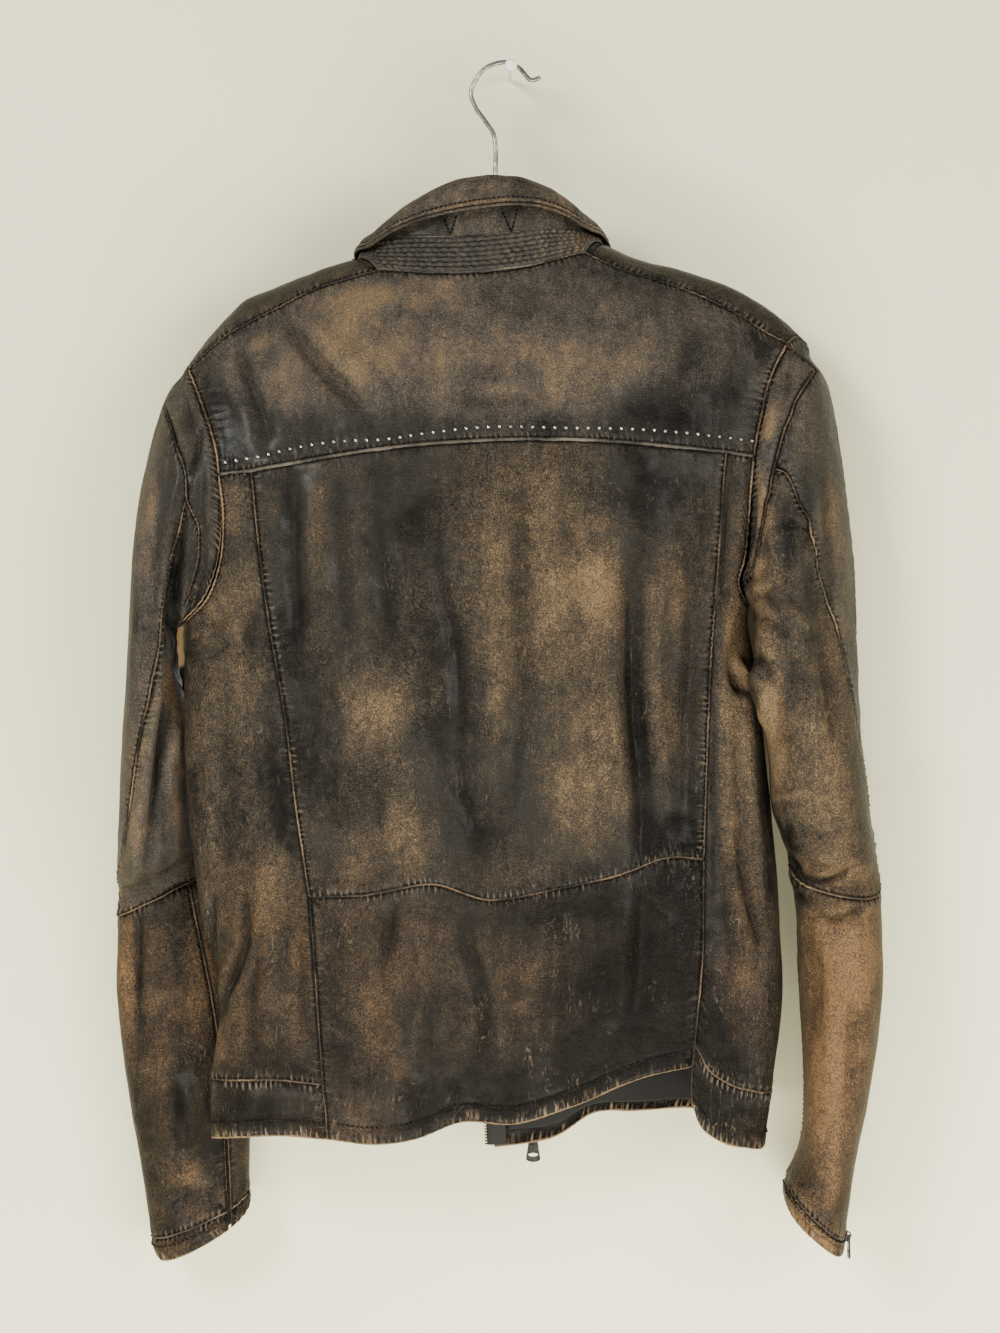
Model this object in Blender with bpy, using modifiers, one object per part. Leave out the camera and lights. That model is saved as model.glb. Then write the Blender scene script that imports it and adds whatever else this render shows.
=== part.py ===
"""Worn leather coat on a wire-hook hanger, back to the room.

Metres, +Z up. -Y is the side shown, the coat's back; +Y is the wall behind it.
The origin is under the hook's crown, where the hook rests on its pin.
Left and right are the wearer's, which are also the viewer's from behind.

Each piece that a maker cuts is an open sheet on one of three surfaces, made a wall by
Solidify: the torso, a tube round which THETA runs and up which HEIGHT runs; a sleeve,
a tube of rings; and the collar, swept round the neck.
"""

import math

import bmesh
import bpy
import numpy as np
from mathutils import Matrix, Vector
from mathutils.geometry import delaunay_2d_cdt

LEATHER = 0.0012  # wall of the leather
COLLAR_WALL = 0.0022  # two layers turned together
TAPE_WALL = 0.0010
GAP = 0.0003  # between pieces at a seam
SLEEVE_INSET = 0.0003  # a sleeve piece's edge from its seam's line
HOLE_GAP, UNDER_GAP = 0.0006, 0.0036  # a sleeve's step out from the armhole, and more below
FRONT_SEAM = 108.0  # THETA of the seam between side and front, from the centre back

# The torso. Up to CHEST its sections are level. Above it the sides of each section
# climb to the shoulder ridge, and HEIGHT counts on to the ridge at CHEST + TOP.
CHEST = -0.405
TOP = 0.250
RIDGE = CHEST + TOP
SIDE_POWER = 2.3  # how square a section is, seen from above
TOP_POWER = 2.3  # how square the shoulder is, seen from the side


def table(columns, rows):
    """A small table as {column name: values}."""
    return dict(zip(columns.split(), np.array(rows, float).T))


# Half outline at each height: where the left and right edges are, how near the viewer,
# and how far the back and the front stand off the line between them.
TORSO = table(
    "height left right left_y right_y back front",
    [
        (-0.820, -0.220, 0.186, -0.028, -0.014, 0.028, 0.048),
        (-0.760, -0.222, 0.194, -0.029, -0.013, 0.032, 0.050),
        (-0.700, -0.216, 0.201, -0.030, -0.012, 0.036, 0.052),
        (-0.640, -0.228, 0.199, -0.030, -0.010, 0.040, 0.053),
        (-0.580, -0.236, 0.196, -0.030, -0.005, 0.044, 0.054),
        (-0.520, -0.241, 0.191, -0.029, 0.001, 0.048, 0.054),
        (-0.460, -0.2425, 0.184, -0.026, 0.004, 0.052, 0.052),
        (-0.405, -0.2434, 0.1778, -0.022, 0.003, 0.055, 0.050),
        (-0.355, -0.262, 0.205, -0.017, 0.000, 0.058, 0.048),
        (-0.285, -0.276, 0.238, -0.008, 0.000, 0.060, 0.046),
        (-0.155, -0.286, 0.272, 0.000, 0.000, 0.060, 0.044),
    ],
)
# The shoulder ridge, as seen from the back. Between the collar's ends it is unseen.
SHOULDER = table(
    "x z",
    [
        (-0.290, -0.315),
        (-0.2600, -0.2530),
        (-0.2415, -0.2265),
        (-0.2175, -0.1950),
        (-0.2000, -0.1770),
        (-0.1820, -0.1690),
        (-0.1470, -0.1565),
        (-0.1140, -0.1460),
        (-0.0600, -0.1280),
        (-0.0200, -0.1200),
        (0.0250, -0.1210),
        (0.0670, -0.1340),
        (0.1005, -0.1475),
        (0.1360, -0.1575),
        (0.1680, -0.1695),
        (0.1890, -0.1805),
        (0.2105, -0.1985),
        (0.2320, -0.2240),
        (0.275, -0.3000),
    ],
)

# Sleeve rings, shoulder to cuff: the outermost and innermost points as seen from the
# back, the depth of the line between them, then how far the back and the front of the
# ring stand off the middle of that line. The armhole is ring 0, before the first row.
RING = "out_x out_z in_x in_z y back_x back_y back_z front_x front_y"
LEFT_SLEEVE = table(
    RING,
    [
        (-0.2600, -0.2530, -0.2540, -0.4280, -0.002, 0.012, -0.045, -0.006, 0.012, 0.034),
        (-0.2745, -0.3075, -0.2500, -0.4550, 0.002, 0.004, -0.049, 0.000, 0.004, 0.038),
        (-0.2798, -0.3550, -0.2465, -0.4750, 0.006, -0.003, -0.052, 0.000, 0.000, 0.039),
        (-0.2828, -0.4100, -0.2420, -0.4950, 0.010, -0.007, -0.055, 0.000, 0.000, 0.038),
        (-0.2850, -0.4650, -0.2360, -0.5200, 0.013, -0.009, -0.058, 0.000, 0.000, 0.036),
        (-0.2885, -0.5250, -0.2350, -0.5480, 0.015, -0.009, -0.058, -0.002, 0.000, 0.034),
        (-0.2915, -0.5700, -0.2350, -0.5640, 0.016, -0.007, -0.057, -0.008, 0.000, 0.033),
        (-0.2935, -0.5950, -0.2350, -0.5730, 0.018, -0.005, -0.055, -0.016, 0.000, 0.031),
        (-0.2945, -0.6080, -0.2350, -0.5800, 0.020, -0.003, -0.044, -0.012, 0.000, 0.030),
        (-0.2952, -0.6180, -0.2340, -0.5870, 0.021, 0.000, -0.030, -0.004, 0.000, 0.028),
        (-0.2957, -0.6400, -0.2300, -0.6080, 0.023, 0.000, -0.024, 0.000, 0.000, 0.027),
        (-0.2958, -0.6640, -0.2200, -0.6520, 0.024, 0.000, -0.023, 0.000, 0.000, 0.026),
        (-0.2957, -0.7000, -0.2090, -0.7000, 0.025, 0.000, -0.022, 0.000, 0.000, 0.025),
        (-0.2930, -0.7430, -0.2010, -0.7480, 0.025, 0.000, -0.022, 0.000, 0.000, 0.025),
        (-0.2875, -0.7800, -0.1990, -0.7900, 0.025, 0.000, -0.021, 0.000, 0.000, 0.024),
        (-0.2800, -0.8230, -0.1985, -0.8250, 0.025, 0.000, -0.021, -0.003, 0.000, 0.023),
        (-0.2710, -0.8800, -0.1985, -0.8480, 0.025, 0.000, -0.021, -0.007, 0.000, 0.022),
        (-0.2665, -0.8960, -0.1990, -0.8590, 0.025, 0.000, -0.021, -0.010, 0.000, 0.022),
    ],
)
RIGHT_SLEEVE = table(
    RING,
    [
        (0.2350, -0.2350, 0.1860, -0.4150, -0.002, -0.014, -0.045, 0.000, -0.010, 0.034),
        (0.2475, -0.2920, 0.1880, -0.4330, 0.000, -0.016, -0.050, 0.000, -0.008, 0.040),
        (0.2525, -0.3300, 0.1895, -0.4480, 0.000, -0.020, -0.052, 0.000, -0.006, 0.042),
        (0.2580, -0.3750, 0.1905, -0.4620, 0.000, -0.026, -0.053, 0.000, -0.004, 0.043),
        (0.2595, -0.4250, 0.1910, -0.4780, 0.000, -0.028, -0.053, 0.004, -0.002, 0.044),
        (0.2600, -0.4700, 0.1920, -0.5000, 0.000, -0.008, -0.050, 0.000, 0.000, 0.045),
        (0.2630, -0.5120, 0.1945, -0.5300, 0.000, -0.004, -0.048, 0.000, 0.000, 0.045),
        (0.2690, -0.5600, 0.1960, -0.5550, 0.000, -0.004, -0.047, -0.006, 0.000, 0.045),
        (0.2740, -0.5900, 0.2030, -0.5740, 0.001, -0.002, -0.046, -0.012, 0.000, 0.045),
        (0.2760, -0.6050, 0.2070, -0.5860, 0.003, 0.000, -0.038, -0.010, 0.000, 0.044),
        (0.2768, -0.6160, 0.2095, -0.6020, 0.003, 0.000, -0.040, -0.012, 0.000, 0.044),
        (0.2780, -0.6450, 0.2150, -0.6330, 0.002, 0.000, -0.042, -0.006, 0.000, 0.044),
        (0.2783, -0.6850, 0.2165, -0.6780, 0.002, 0.000, -0.042, 0.000, 0.000, 0.044),
        (0.2741, -0.7335, 0.2190, -0.7300, 0.002, 0.000, -0.042, 0.000, 0.000, 0.043),
        (0.2670, -0.7740, 0.2210, -0.7700, 0.002, 0.000, -0.041, 0.000, 0.000, 0.042),
        (0.2595, -0.8130, 0.2185, -0.8050, 0.002, 0.000, -0.040, -0.003, 0.000, 0.041),
        (0.2500, -0.8740, 0.2070, -0.8340, 0.002, 0.000, -0.039, -0.010, 0.000, 0.040),
        (0.2488, -0.8870, 0.2050, -0.8490, 0.002, 0.000, -0.039, -0.010, 0.000, 0.040),
    ],
)
ELBOW, CUFF, CUFF_EDGE = 11, 17, 18  # the rings that carry a seam or end the sleeve

# The collar's three lines round the neck: the top of the quilted band, the fold, and
# the edge of the fall. TURN is 0 at the centre back, 90 over a shoulder, 180 in front.
COLLAR = table(
    "turn band_x band_y band_z fold_x fold_y fold_z edge_x edge_y edge_z",
    [
        (-180, -0.017, 0.031, -0.192, -0.024, 0.037, -0.170, -0.036, 0.046, -0.208),
        (-135, -0.075, 0.028, -0.166, -0.083, 0.036, -0.152, -0.096, 0.045, -0.183),
        (-90, -0.107, 0.008, -0.139, -0.106, 0.016, -0.1330, -0.1170, 0.012, -0.1420),
        (-60, -0.096, -0.018, -0.1350, -0.0975, -0.010, -0.1255, -0.1050, -0.024, -0.1390),
        (-35, -0.072, -0.031, -0.1335, -0.0750, -0.028, -0.1090, -0.0800, -0.040, -0.1270),
        (-12, -0.040, -0.037, -0.1340, -0.0380, -0.038, -0.0915, -0.0420, -0.050, -0.1170),
        (12, -0.002, -0.037, -0.1310, 0.0000, -0.038, -0.0895, 0.0020, -0.051, -0.1120),
        (35, 0.024, -0.032, -0.1270, 0.0270, -0.030, -0.0970, 0.0300, -0.043, -0.1150),
        (60, 0.044, -0.019, -0.1270, 0.0480, -0.013, -0.1110, 0.0540, -0.028, -0.1250),
        (90, 0.062, 0.006, -0.1310, 0.0625, 0.013, -0.1230, 0.0715, 0.009, -0.1315),
        (135, 0.060, 0.026, -0.1650, 0.0680, 0.034, -0.1500, 0.0800, 0.042, -0.1800),
        (180, 0.021, 0.030, -0.1900, 0.0270, 0.036, -0.1700, 0.0400, 0.045, -0.2080),
    ],
)

# Corners where seams meet, and the seams' points between them: x and z from the back.
NECK_L, NECK_R = (-0.0985, -0.1567), (0.0535, -0.1441)
TIP_L, TIP_R = (-0.2397, -0.2300), (0.2050, -0.2110)
YOKE_ARM_L, YOKE_ARM_R = (-0.2147, -0.3098), (0.1793, -0.2955)
YOKE_L, YOKE_R = (-0.1907, -0.3075), (0.1588, -0.2925)
UNDERARM_L, UNDERARM_R = (-0.2401, -0.4180), (0.1753, -0.4040)
WAIST_L, WAIST_R = (-0.1478, -0.6197), (0.1422, -0.5935)
BAND_L, BAND_R = (-0.1385, -0.7581), (0.1357, -0.7299)
HEM_L, HEM_R = (-0.1350, -0.7990), (0.1340, -0.7466)
BAND_END_R = (0.1335, -0.7734)

NECK_BACK = [NECK_L, (-0.0554, -0.1600), (-0.0304, -0.1596), (0.0146, -0.1544), NECK_R]
SHOULDER_SEAM_L = [NECK_L, (-0.1459, -0.1716), (-0.1809, -0.1880), (-0.2107, -0.2051), TIP_L]
SHOULDER_SEAM_R = [NECK_R, (0.0825, -0.1556), (0.1175, -0.1664), (0.1525, -0.1813), TIP_R]
YOKE_SEAM = [YOKE_L, (-0.1262, -0.2961), (-0.0398, -0.2865), (0.0460, -0.2847), YOKE_R]
ARM_UPPER_L = [TIP_L, (-0.2291, -0.2558), (-0.2172, -0.2927), YOKE_ARM_L]
ARM_UPPER_R = [TIP_R, (0.1926, -0.2358), (0.1840, -0.2700), YOKE_ARM_R]
ARM_LOWER_L = [YOKE_ARM_L, (-0.2113, -0.3473), (-0.2150, -0.3800), (-0.2246, -0.4027), UNDERARM_L]
ARM_LOWER_R = [YOKE_ARM_R, (0.1766, -0.3320), (0.1735, -0.3700), (0.1690, -0.3910), UNDERARM_R]
BACK_SEAM_L = [YOKE_L, (-0.1878, -0.3379), (-0.1775, -0.4185), (-0.1665, -0.4808), (-0.1570, -0.5592), WAIST_L]
BACK_SEAM_R = [YOKE_R, (0.1540, -0.3600), (0.1480, -0.4485), (0.1440, -0.5300), WAIST_R]
LOWER_SEAM_L = [WAIST_L, (-0.1434, -0.6837), BAND_L]
LOWER_SEAM_R = [WAIST_R, (0.1412, -0.6661), BAND_R]
WAIST_SEAM = [
    WAIST_L,
    (-0.1055, -0.6182),
    (-0.0560, -0.6105),
    (-0.0200, -0.6215),
    (0.0312, -0.6145),
    (0.0905, -0.6006),
    (0.1150, -0.5915),
    WAIST_R,
]
BACK_HEM = [
    HEM_L,
    (-0.1000, -0.8030),
    (-0.0700, -0.7990),
    (-0.0369, -0.7862),
    (0.0020, -0.7880),
    (0.0453, -0.7752),
    (0.1004, -0.7532),
    HEM_R,
]
# The hem bands: their top seams and lower edges on the back, then on round to the zip.
BAND_TOP_BACK_L = [BAND_L, (-0.1667, -0.7556), (-0.2000, -0.7560)]
BAND_TOP_BACK_R = [BAND_R, (0.1461, -0.7491), (0.1623, -0.7605), (0.1800, -0.7660)]
BAND_LOW_BACK_L = [HEM_L, (-0.1652, -0.7971), (-0.2000, -0.7990)]
BAND_LOW_BACK_R = [BAND_END_R, (0.1402, -0.7912), (0.1530, -0.8020), (0.1750, -0.8085)]
BAND_TOP_FRONT_L = [(-0.2050, -0.7560), (-0.1350, -0.7480), (-0.0450, -0.7400), (0.0072, -0.7600)]
BAND_TOP_FRONT_R = [(0.1800, -0.7600), (0.1360, -0.7430), (0.0800, -0.7440), (0.0326, -0.7620), (-0.0145, -0.7700)]
BAND_LOW_FRONT_L = [(-0.2050, -0.7990), (-0.1350, -0.7900), (-0.0450, -0.7830), (0.0072, -0.8035)]
BAND_LOW_FRONT_R = [
    (0.1780, -0.8020),
    (0.1360, -0.7850),
    (0.0946, -0.7880),
    (0.0620, -0.7900),
    (0.0330, -0.8080),
    (0.0131, -0.8125),
    (-0.0125, -0.8155),
]
# The fronts' open edges, neck to hem band, and the neck and armholes in front.
EDGE_L = [(-0.0150, -0.2060), (-0.0050, -0.4500), (0.0072, -0.7600)]
EDGE_R = [(0.0210, -0.2040), (0.0030, -0.4500), (-0.0145, -0.7700)]
NECK_FRONT_L = [(-0.1080, -0.1600), (-0.0850, -0.1830), (-0.0500, -0.2000), (-0.0150, -0.2060)]
NECK_FRONT_R = [(0.0690, -0.1500), (0.0600, -0.1780), (0.0430, -0.1960), (0.0210, -0.2040)]
ARM_FRONT_L = [(-0.2200, -0.2750), (-0.2060, -0.3200), (-0.2060, -0.3650), (-0.2190, -0.4000)]
ARM_FRONT_R = [(0.1950, -0.2500), (0.1760, -0.3000), (0.1660, -0.3500), (0.1670, -0.3830)]
OVERLAP = 0.007  # how far the left front lies behind the right one where they cross
LAP_STARTS, LAP_WIDTH = -0.060, 0.040  # the x where it starts to step back, and its run
LAP_TOP, LAP_RISE = -0.200, 0.200  # the height where it starts, and its run down

# Seams on the camera side of the sleeves, x and z from the back, armhole downwards.
GUSSET_L = [(-0.2585, -0.2560), (-0.2480, -0.2850), (-0.2400, -0.3120), (-0.2388, -0.3290)]
GUSSET_LOW_L = [(-0.2388, -0.3290), (-0.2300, -0.3480), (-0.2300, -0.3650), (-0.2347, -0.3856), (-0.2385, -0.4000)]
SLEEVE_BACK_L = [(-0.2388, -0.3290), (-0.2502, -0.3686), (-0.2624, -0.4448), (-0.2754, -0.5136), (-0.2842, -0.5728)]
GUSSET_R = [(0.2270, -0.2300), (0.2115, -0.2547), (0.1989, -0.2850), (0.1940, -0.3070)]
GUSSET_LOW_R = [(0.1940, -0.3070), (0.1882, -0.3353), (0.1834, -0.3619), (0.1790, -0.3850)]
SLEEVE_BACK_R = [(0.1940, -0.3070), (0.2115, -0.3264), (0.2210, -0.3500), (0.2256, -0.3760), (0.2441, -0.4300), (0.2544, -0.4855)]

# The strip of lining that shows inside the right front, above the hem band.
LINING_LOW = [(-0.0020, -0.8020), (0.0326, -0.7980), (0.0620, -0.7830), (0.0946, -0.7810), (0.1400, -0.7790), (0.1760, -0.7900)]
LINING_HIGH = [(-0.0020, -0.6600), (0.0900, -0.6500), (0.1800, -0.6600)]

TAPE_SHOWN = 0.0055  # of a zip's tape past the leather's edge
TAPE_UNDER = 0.0090  # and under it
TAPE_GAP = 0.0008  # the room between a tape or the lining and the leather over it
VENT = 15  # the ring where a cuff's zip begins
VENT_GAP = 2.2  # degrees between the leather's edges and the middle of a cuff's zip
SLIDER = (0.0080, 0.0090, 0.0034)  # width, length and thickness of a slider's body
BRIDGE = (0.0064, 0.0036, 0.0010)  # length, height and wire of the loop that holds a pull
PULL_BAR = 0.0012  # the pull's cross bar and its thickness
PULL_AXIS = 0.0016  # from the slider's face to the bar's axis
PULL_NECK = 0.0026  # half a pull's width at its cross bar
PULL_SLOT = (0.0013, 0.0050)  # half the width of the slot under the bar, and its depth
PULL_HOLE = (0.0044, 0.0014)  # the grip hole's height above the pull's end, and its half height
PULL_SWELL = -0.006  # where the tab begins to widen
BRIDGE_DEPTH = 0.0012  # of the bridge, across its loop
BRIDGE_FOOT = -0.0006  # how far the bridge is let into the slider
SLIDER_EDGE = 0.0009  # radius of a slider's edges
SLIDER_STANDS = 0.0008  # a cuff's slider above the leather
MAIN_PULL, CUFF_PULL = (0.0250, 0.0112), (0.0165, 0.0075)  # length and width of a pull

BAND_WALL = 0.0018  # of the quilted band
BAND_RISE = 0.0011  # the band's foot above the neck seam
STAND_GAP = 0.0014  # from the band's top to the collar's stand
FOLD_OUT = (0.0015, 0.0040, 0.0030)  # how far the fall swells out at and below its fold
FOLD_AT = (0.50, 0.88, 0.12, 0.50)  # where the collar's rows lie, up the stand and down the fall

WIRE = 0.0036  # steel of the hook
HOOK = [  # from the bar up the stem, round the crown and out to the turned tip
    (-0.0118, -0.1450),
    (-0.0116, -0.0825),
    (-0.0120, -0.0577),
    (-0.0128, -0.0525),
    (-0.0188, -0.0427),
    (-0.0270, -0.0307),
    (-0.0300, -0.0213),
    (-0.0270, -0.0120),
    (-0.0210, -0.0037),
    (-0.0120, 0.0012),
    (-0.0020, 0.0021),
    (0.0060, -0.0020),
    (0.0158, -0.0112),
    (0.0225, -0.0090),
]
BAR_HALF = 0.222  # from the stem to each end of the hanger's bar
BAR_DEPTH = 0.0110
BAR_GAP = 0.0036  # from the shoulders' leather down to the bar
BAR_HEIGHT = (0.013, 0.006)  # half the bar's height at the stem, and how much less it is at the ends
BAR_CROWN = 0.026  # how far the middle of the bar lies under the ridge
BAR_ROUND = 0.8  # how round its section is
BAR_END, BAR_TIP = 0.97, 0.55  # where its ends begin to close, and how far they do


# ---- curves and surfaces -------------------------------------------------------------


def smooth(x, at, values):
    """The curve through (at, values), read at x: a cubic between each two rows."""
    at, values = np.asarray(at, float), np.asarray(values, float)
    slopes = np.gradient(values, at, axis=0)
    x = np.clip(x, at[0], at[-1])
    k = np.clip(np.searchsorted(at, x, side="right") - 1, 0, len(at) - 2)
    span = at[k + 1] - at[k]
    t = (x - at[k]) / span
    if values.ndim > 1:
        t, span = t[..., None], span[..., None]
    a, b = values[k], values[k + 1]
    rise_a, rise_b = slopes[k] * span, slopes[k + 1] * span
    square, cube = t**2, t**3
    start = 2 * cube - 3 * square + 1
    return start * a + (cube - 2 * square + t) * rise_a + (1 - start) * b + (cube - square) * rise_b


def run_of(points):
    """How far along the line through the points each of them is."""
    steps = np.linalg.norm(np.diff(points, axis=0), axis=1)
    return np.concatenate([[0], np.cumsum(steps)])


def along(points, count):
    """count + 1 points spread evenly along the smooth line through the given ones."""
    points = np.asarray(points, float)
    at = run_of(points)
    fine = smooth(np.linspace(0, at[-1], 400), at, points)
    run = run_of(fine)
    return np.stack(
        [np.interp(np.linspace(0, run[-1], count + 1), run, column) for column in fine.T], axis=1
    )


def power(x, exponent):
    """x to the exponent, with its sign kept."""
    return np.sign(x) * np.abs(x) ** exponent


def torso(theta, height):
    """Points of the torso: THETA in degrees, 0 at the centre back and 90 at the right side.

    Below CHEST the height is z. Above it the height is an angle that ends at the ridge,
    and past the ridge the point is on the other side of the shoulder.
    """
    theta, height = np.broadcast_arrays(np.radians(theta), np.asarray(height, float))
    level = RIDGE - np.abs(height - RIDGE)
    row = {name: smooth(level, TORSO["height"], TORSO[name]) for name in TORSO}
    across = power(np.sin(theta), 2 / SIDE_POWER)
    x = (row["left"] + row["right"]) / 2 + (row["right"] - row["left"]) / 2 * across
    climb = np.radians(90) * np.clip((RIDGE - height) / TOP, -1, 1)
    depth = power(np.sin(climb), 2 / TOP_POWER)
    top = smooth(x, SHOULDER["x"], SHOULDER["z"])
    z = np.where(level > CHEST, CHEST + (top - CHEST) * power(np.cos(climb), 2 / TOP_POWER), level)
    middle = row["left_y"] + (row["right_y"] - row["left_y"]) * (across + 1) / 2
    behind = (np.cos(theta) > 0) ^ (depth < 0)
    off = np.abs(depth) * np.abs(np.cos(theta)) ** (2 / SIDE_POWER)
    y = middle + off * np.where(behind, -row["back"], row["front"])
    left_front = (theta < 0) & (np.cos(theta) < 0) | (theta < -math.pi)
    lap = np.clip((x - LAP_STARTS) / LAP_WIDTH, 0, 1)
    below = np.clip((LAP_TOP - height) / LAP_RISE, 0, 1)
    y = y + np.where(left_front, OVERLAP * lap**2 * (3 - 2 * lap) * below, 0)
    return np.stack([x, y, z], axis=-1)


def locate(points, front=0):
    """THETA and height of points given by x and z, on the back, or on the left (-1) or
    right (+1) front, which may reach past the centre."""
    x, z = np.asarray(points, float).T
    rise = np.clip((z - CHEST) / (smooth(x, SHOULDER["x"], SHOULDER["z"]) - CHEST), 0, 1)
    climb = np.arccos(rise ** (TOP_POWER / 2))
    height = np.where(z > CHEST, RIDGE - TOP * climb / np.radians(90), z)
    left, right = (smooth(height, TORSO["height"], TORSO[name]) for name in ("left", "right"))
    across = np.clip((2 * x - left - right) / (right - left), -1, 1)
    theta = np.degrees(np.arcsin(power(across, SIDE_POWER / 2)))
    if front:
        theta = front * 180 - theta
    return np.stack([theta, height], axis=1)


def over_the_top(points):
    """Back points near the ridge, as the front panel that comes over the shoulder counts them."""
    theta, height = locate(points).T
    return np.stack([np.where(theta > 0, 180 - theta, -180 - theta), 2 * RIDGE - height], axis=1)


def make_sleeve(rings, armhole):
    """The sleeve's surface, a function of TURN (degrees, 0 outermost, 90 at the back, 180
    innermost) and of the ring's number. armhole gives ring 0 for a turn."""
    side = np.sign(rings["out_x"][0])
    outer, inner = (
        np.stack([rings[k + "_x"], rings["y"], rings[k + "_z"]], axis=1) for k in ("out", "in")
    )
    back = np.stack([rings["back_x"], rings["back_y"], rings["back_z"]], axis=1)
    front = np.stack([rings["front_x"], rings["front_y"], 0 * rings["y"]], axis=1)

    def surface(turn, ring):
        turn, ring = np.broadcast_arrays(np.asarray(turn, float), np.asarray(ring, float))
        shape, turn, ring = turn.shape, turn.ravel(), ring.ravel()
        angle = np.radians(turn)[:, None, None]
        out = power(np.cos(angle), 2 / SIDE_POWER)
        off = np.abs(np.sin(angle)) ** (2 / SIDE_POWER)
        loops = (outer + inner) / 2 + (outer - inner) / 2 * out
        loops = loops + off * np.where(np.sin(angle) >= 0, back, front)
        start = armhole(turn)
        low = (1 - np.cos(np.radians(turn))) / 2
        start[:, 0] += side * (HOLE_GAP + UNDER_GAP * low**3)
        loops = np.concatenate([start[:, None], loops], axis=1)
        at = np.arange(loops.shape[1], dtype=float)
        slopes = np.gradient(loops, at, axis=1)
        k = np.clip(ring.astype(int), 0, len(at) - 2)
        t = (ring - k)[:, None]
        row = np.arange(len(k))
        a, b, rise_a, rise_b = loops[row, k], loops[row, k + 1], slopes[row, k], slopes[row, k + 1]
        start = 2 * t**3 - 3 * t**2 + 1
        found = start * a + (t**3 - 2 * t**2 + t) * rise_a + (1 - start) * b + (t**3 - t**2) * rise_b
        return found.reshape(shape + (3,))

    return surface


def locate_on_sleeve(surface, points):
    """TURN and ring of points given by x and z, on the side of the sleeve shown."""
    turn, ring = np.meshgrid(np.linspace(-4, 184, 189), np.linspace(0, CUFF_EDGE, 361))
    seen = surface(turn, ring)
    found = []
    for x, z in points:
        near = np.argmin((seen[..., 0] - x) ** 2 + (seen[..., 2] - z) ** 2)
        found.append((turn.flat[near], ring.flat[near]))
    return np.array(found)


# ---- sheets --------------------------------------------------------------------------


def joined(*lines):
    """Lines end to end as one loop, each shared corner once."""
    return np.concatenate([line[:-1] for line in lines])


def normals(surface, at, outwards):
    step = np.array([[0.5, 0.0], [0.0, 0.002 if outwards.torso else 0.02]])
    one, two = ((surface(*(at + s).T) - surface(*(at - s).T)) for s in step)
    cross = np.cross(one, two) * outwards.sign
    return cross / np.maximum(np.linalg.norm(cross, axis=1, keepdims=True), 1e-12)


class Facing:
    """Which way a surface's outer side is, for its two parameters in order."""

    def __init__(self, sign, is_torso, cell):
        self.sign = sign
        self.torso = is_torso
        self.cell = np.array(cell)


TORSO_FACING = Facing(1.0, True, (9.5, 0.038))
LEFT_FACING = Facing(-1.0, False, (24.0, 1.0))
RIGHT_FACING = Facing(1.0, False, (24.0, 1.0))


def inside(points, loop):
    """Which points lie inside the loop."""
    x, y = points.T
    found = np.zeros(len(points), bool)
    for (ax, ay), (bx, by) in zip(loop, np.roll(loop, -1, axis=0)):
        crosses = (ay > y) != (by > y)
        at = ax + (y - ay) * (bx - ax) / np.where(by == ay, 1e-12, by - ay)
        found ^= crosses & (x < at)
    return found


def clear_of(points, loop):
    """How far each point is from the loop."""
    best = np.full(len(points), np.inf)
    for a, b in zip(loop, np.roll(loop, -1, axis=0)):
        run = b - a
        t = np.clip((points - a) @ run / max(run @ run, 1e-12), 0, 1)
        best = np.minimum(best, np.linalg.norm(points - a - t[:, None] * run, axis=1))
    return best


def inset(points, ways_out, signed, by):
    """The loop drawn in by the given distances, square to its edges and in its surface."""
    ahead = np.roll(points, -1, axis=0) - points
    ahead /= np.linalg.norm(ahead, axis=1, keepdims=True)
    behind = np.roll(ahead, 1, axis=0)
    side_a, side_b = (np.cross(ways_out, way) * signed for way in (behind, ahead))
    miter = side_a + side_b
    length = np.maximum(1 + np.sum(side_a * side_b, axis=1, keepdims=True), 0.35)
    return points + miter / length * np.asarray(by)[..., None]


def sheet(name, surface, facing, loop, material, wall=LEATHER, lift=0.0, by=GAP / 2, within=()):
    """A cut piece: the part of the surface inside the loop, drawn in by half a seam gap.

    The loop's points are in the surface's two parameters, as are the points within, which
    the sheet also passes through. lift moves the whole sheet out along the surface's
    normals. Solidify gives it its wall.
    """
    flat = loop / facing.cell
    area = np.sum(flat[:, 0] * np.roll(flat[:, 1], -1) - flat[:, 1] * np.roll(flat[:, 0], -1))
    low, high = np.floor(flat.min(axis=0)), np.ceil(flat.max(axis=0))
    grid = np.stack(np.meshgrid(*(np.arange(a, b) + 0.5 for a, b in zip(low, high))), axis=-1)
    grid = grid.reshape(-1, 2)
    grid = grid[inside(grid, flat)]
    grid = grid[clear_of(grid, flat) > 0.42]
    if len(within):
        extra = np.asarray(within) / facing.cell
        extra = extra[inside(extra, flat) & (clear_of(extra, flat) > 0.05)]
        near = np.linalg.norm(grid[:, None] - extra[None], axis=2).min(axis=1)
        grid = np.concatenate([grid[near > 0.42], extra])
    count = len(flat)
    edges = [(i, (i + 1) % count) for i in range(count)]
    points, _, faces, origin, *_ = delaunay_2d_cdt(
        [tuple(p) for p in np.concatenate([flat, grid])], edges, [], 1, 1e-6
    )
    at = np.array([tuple(p) for p in points]) * facing.cell
    placed = surface(*at.T)
    ways = normals(surface, at, facing)
    rim = {old[0]: new for new, old in enumerate(origin) if old and old[0] < count}
    order = np.array([rim[i] for i in range(count)])
    placed[order] = inset(placed[order], ways[order], np.sign(area) * facing.sign, np.broadcast_to(by, count))
    placed = placed + ways * lift
    mesh = bpy.data.meshes.new(name)
    turned = facing.sign > 0
    mesh.from_pydata(placed.tolist(), [], [tuple(f) if turned else tuple(f[::-1]) for f in faces])
    return thickened(name, mesh, material, wall)


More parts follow.
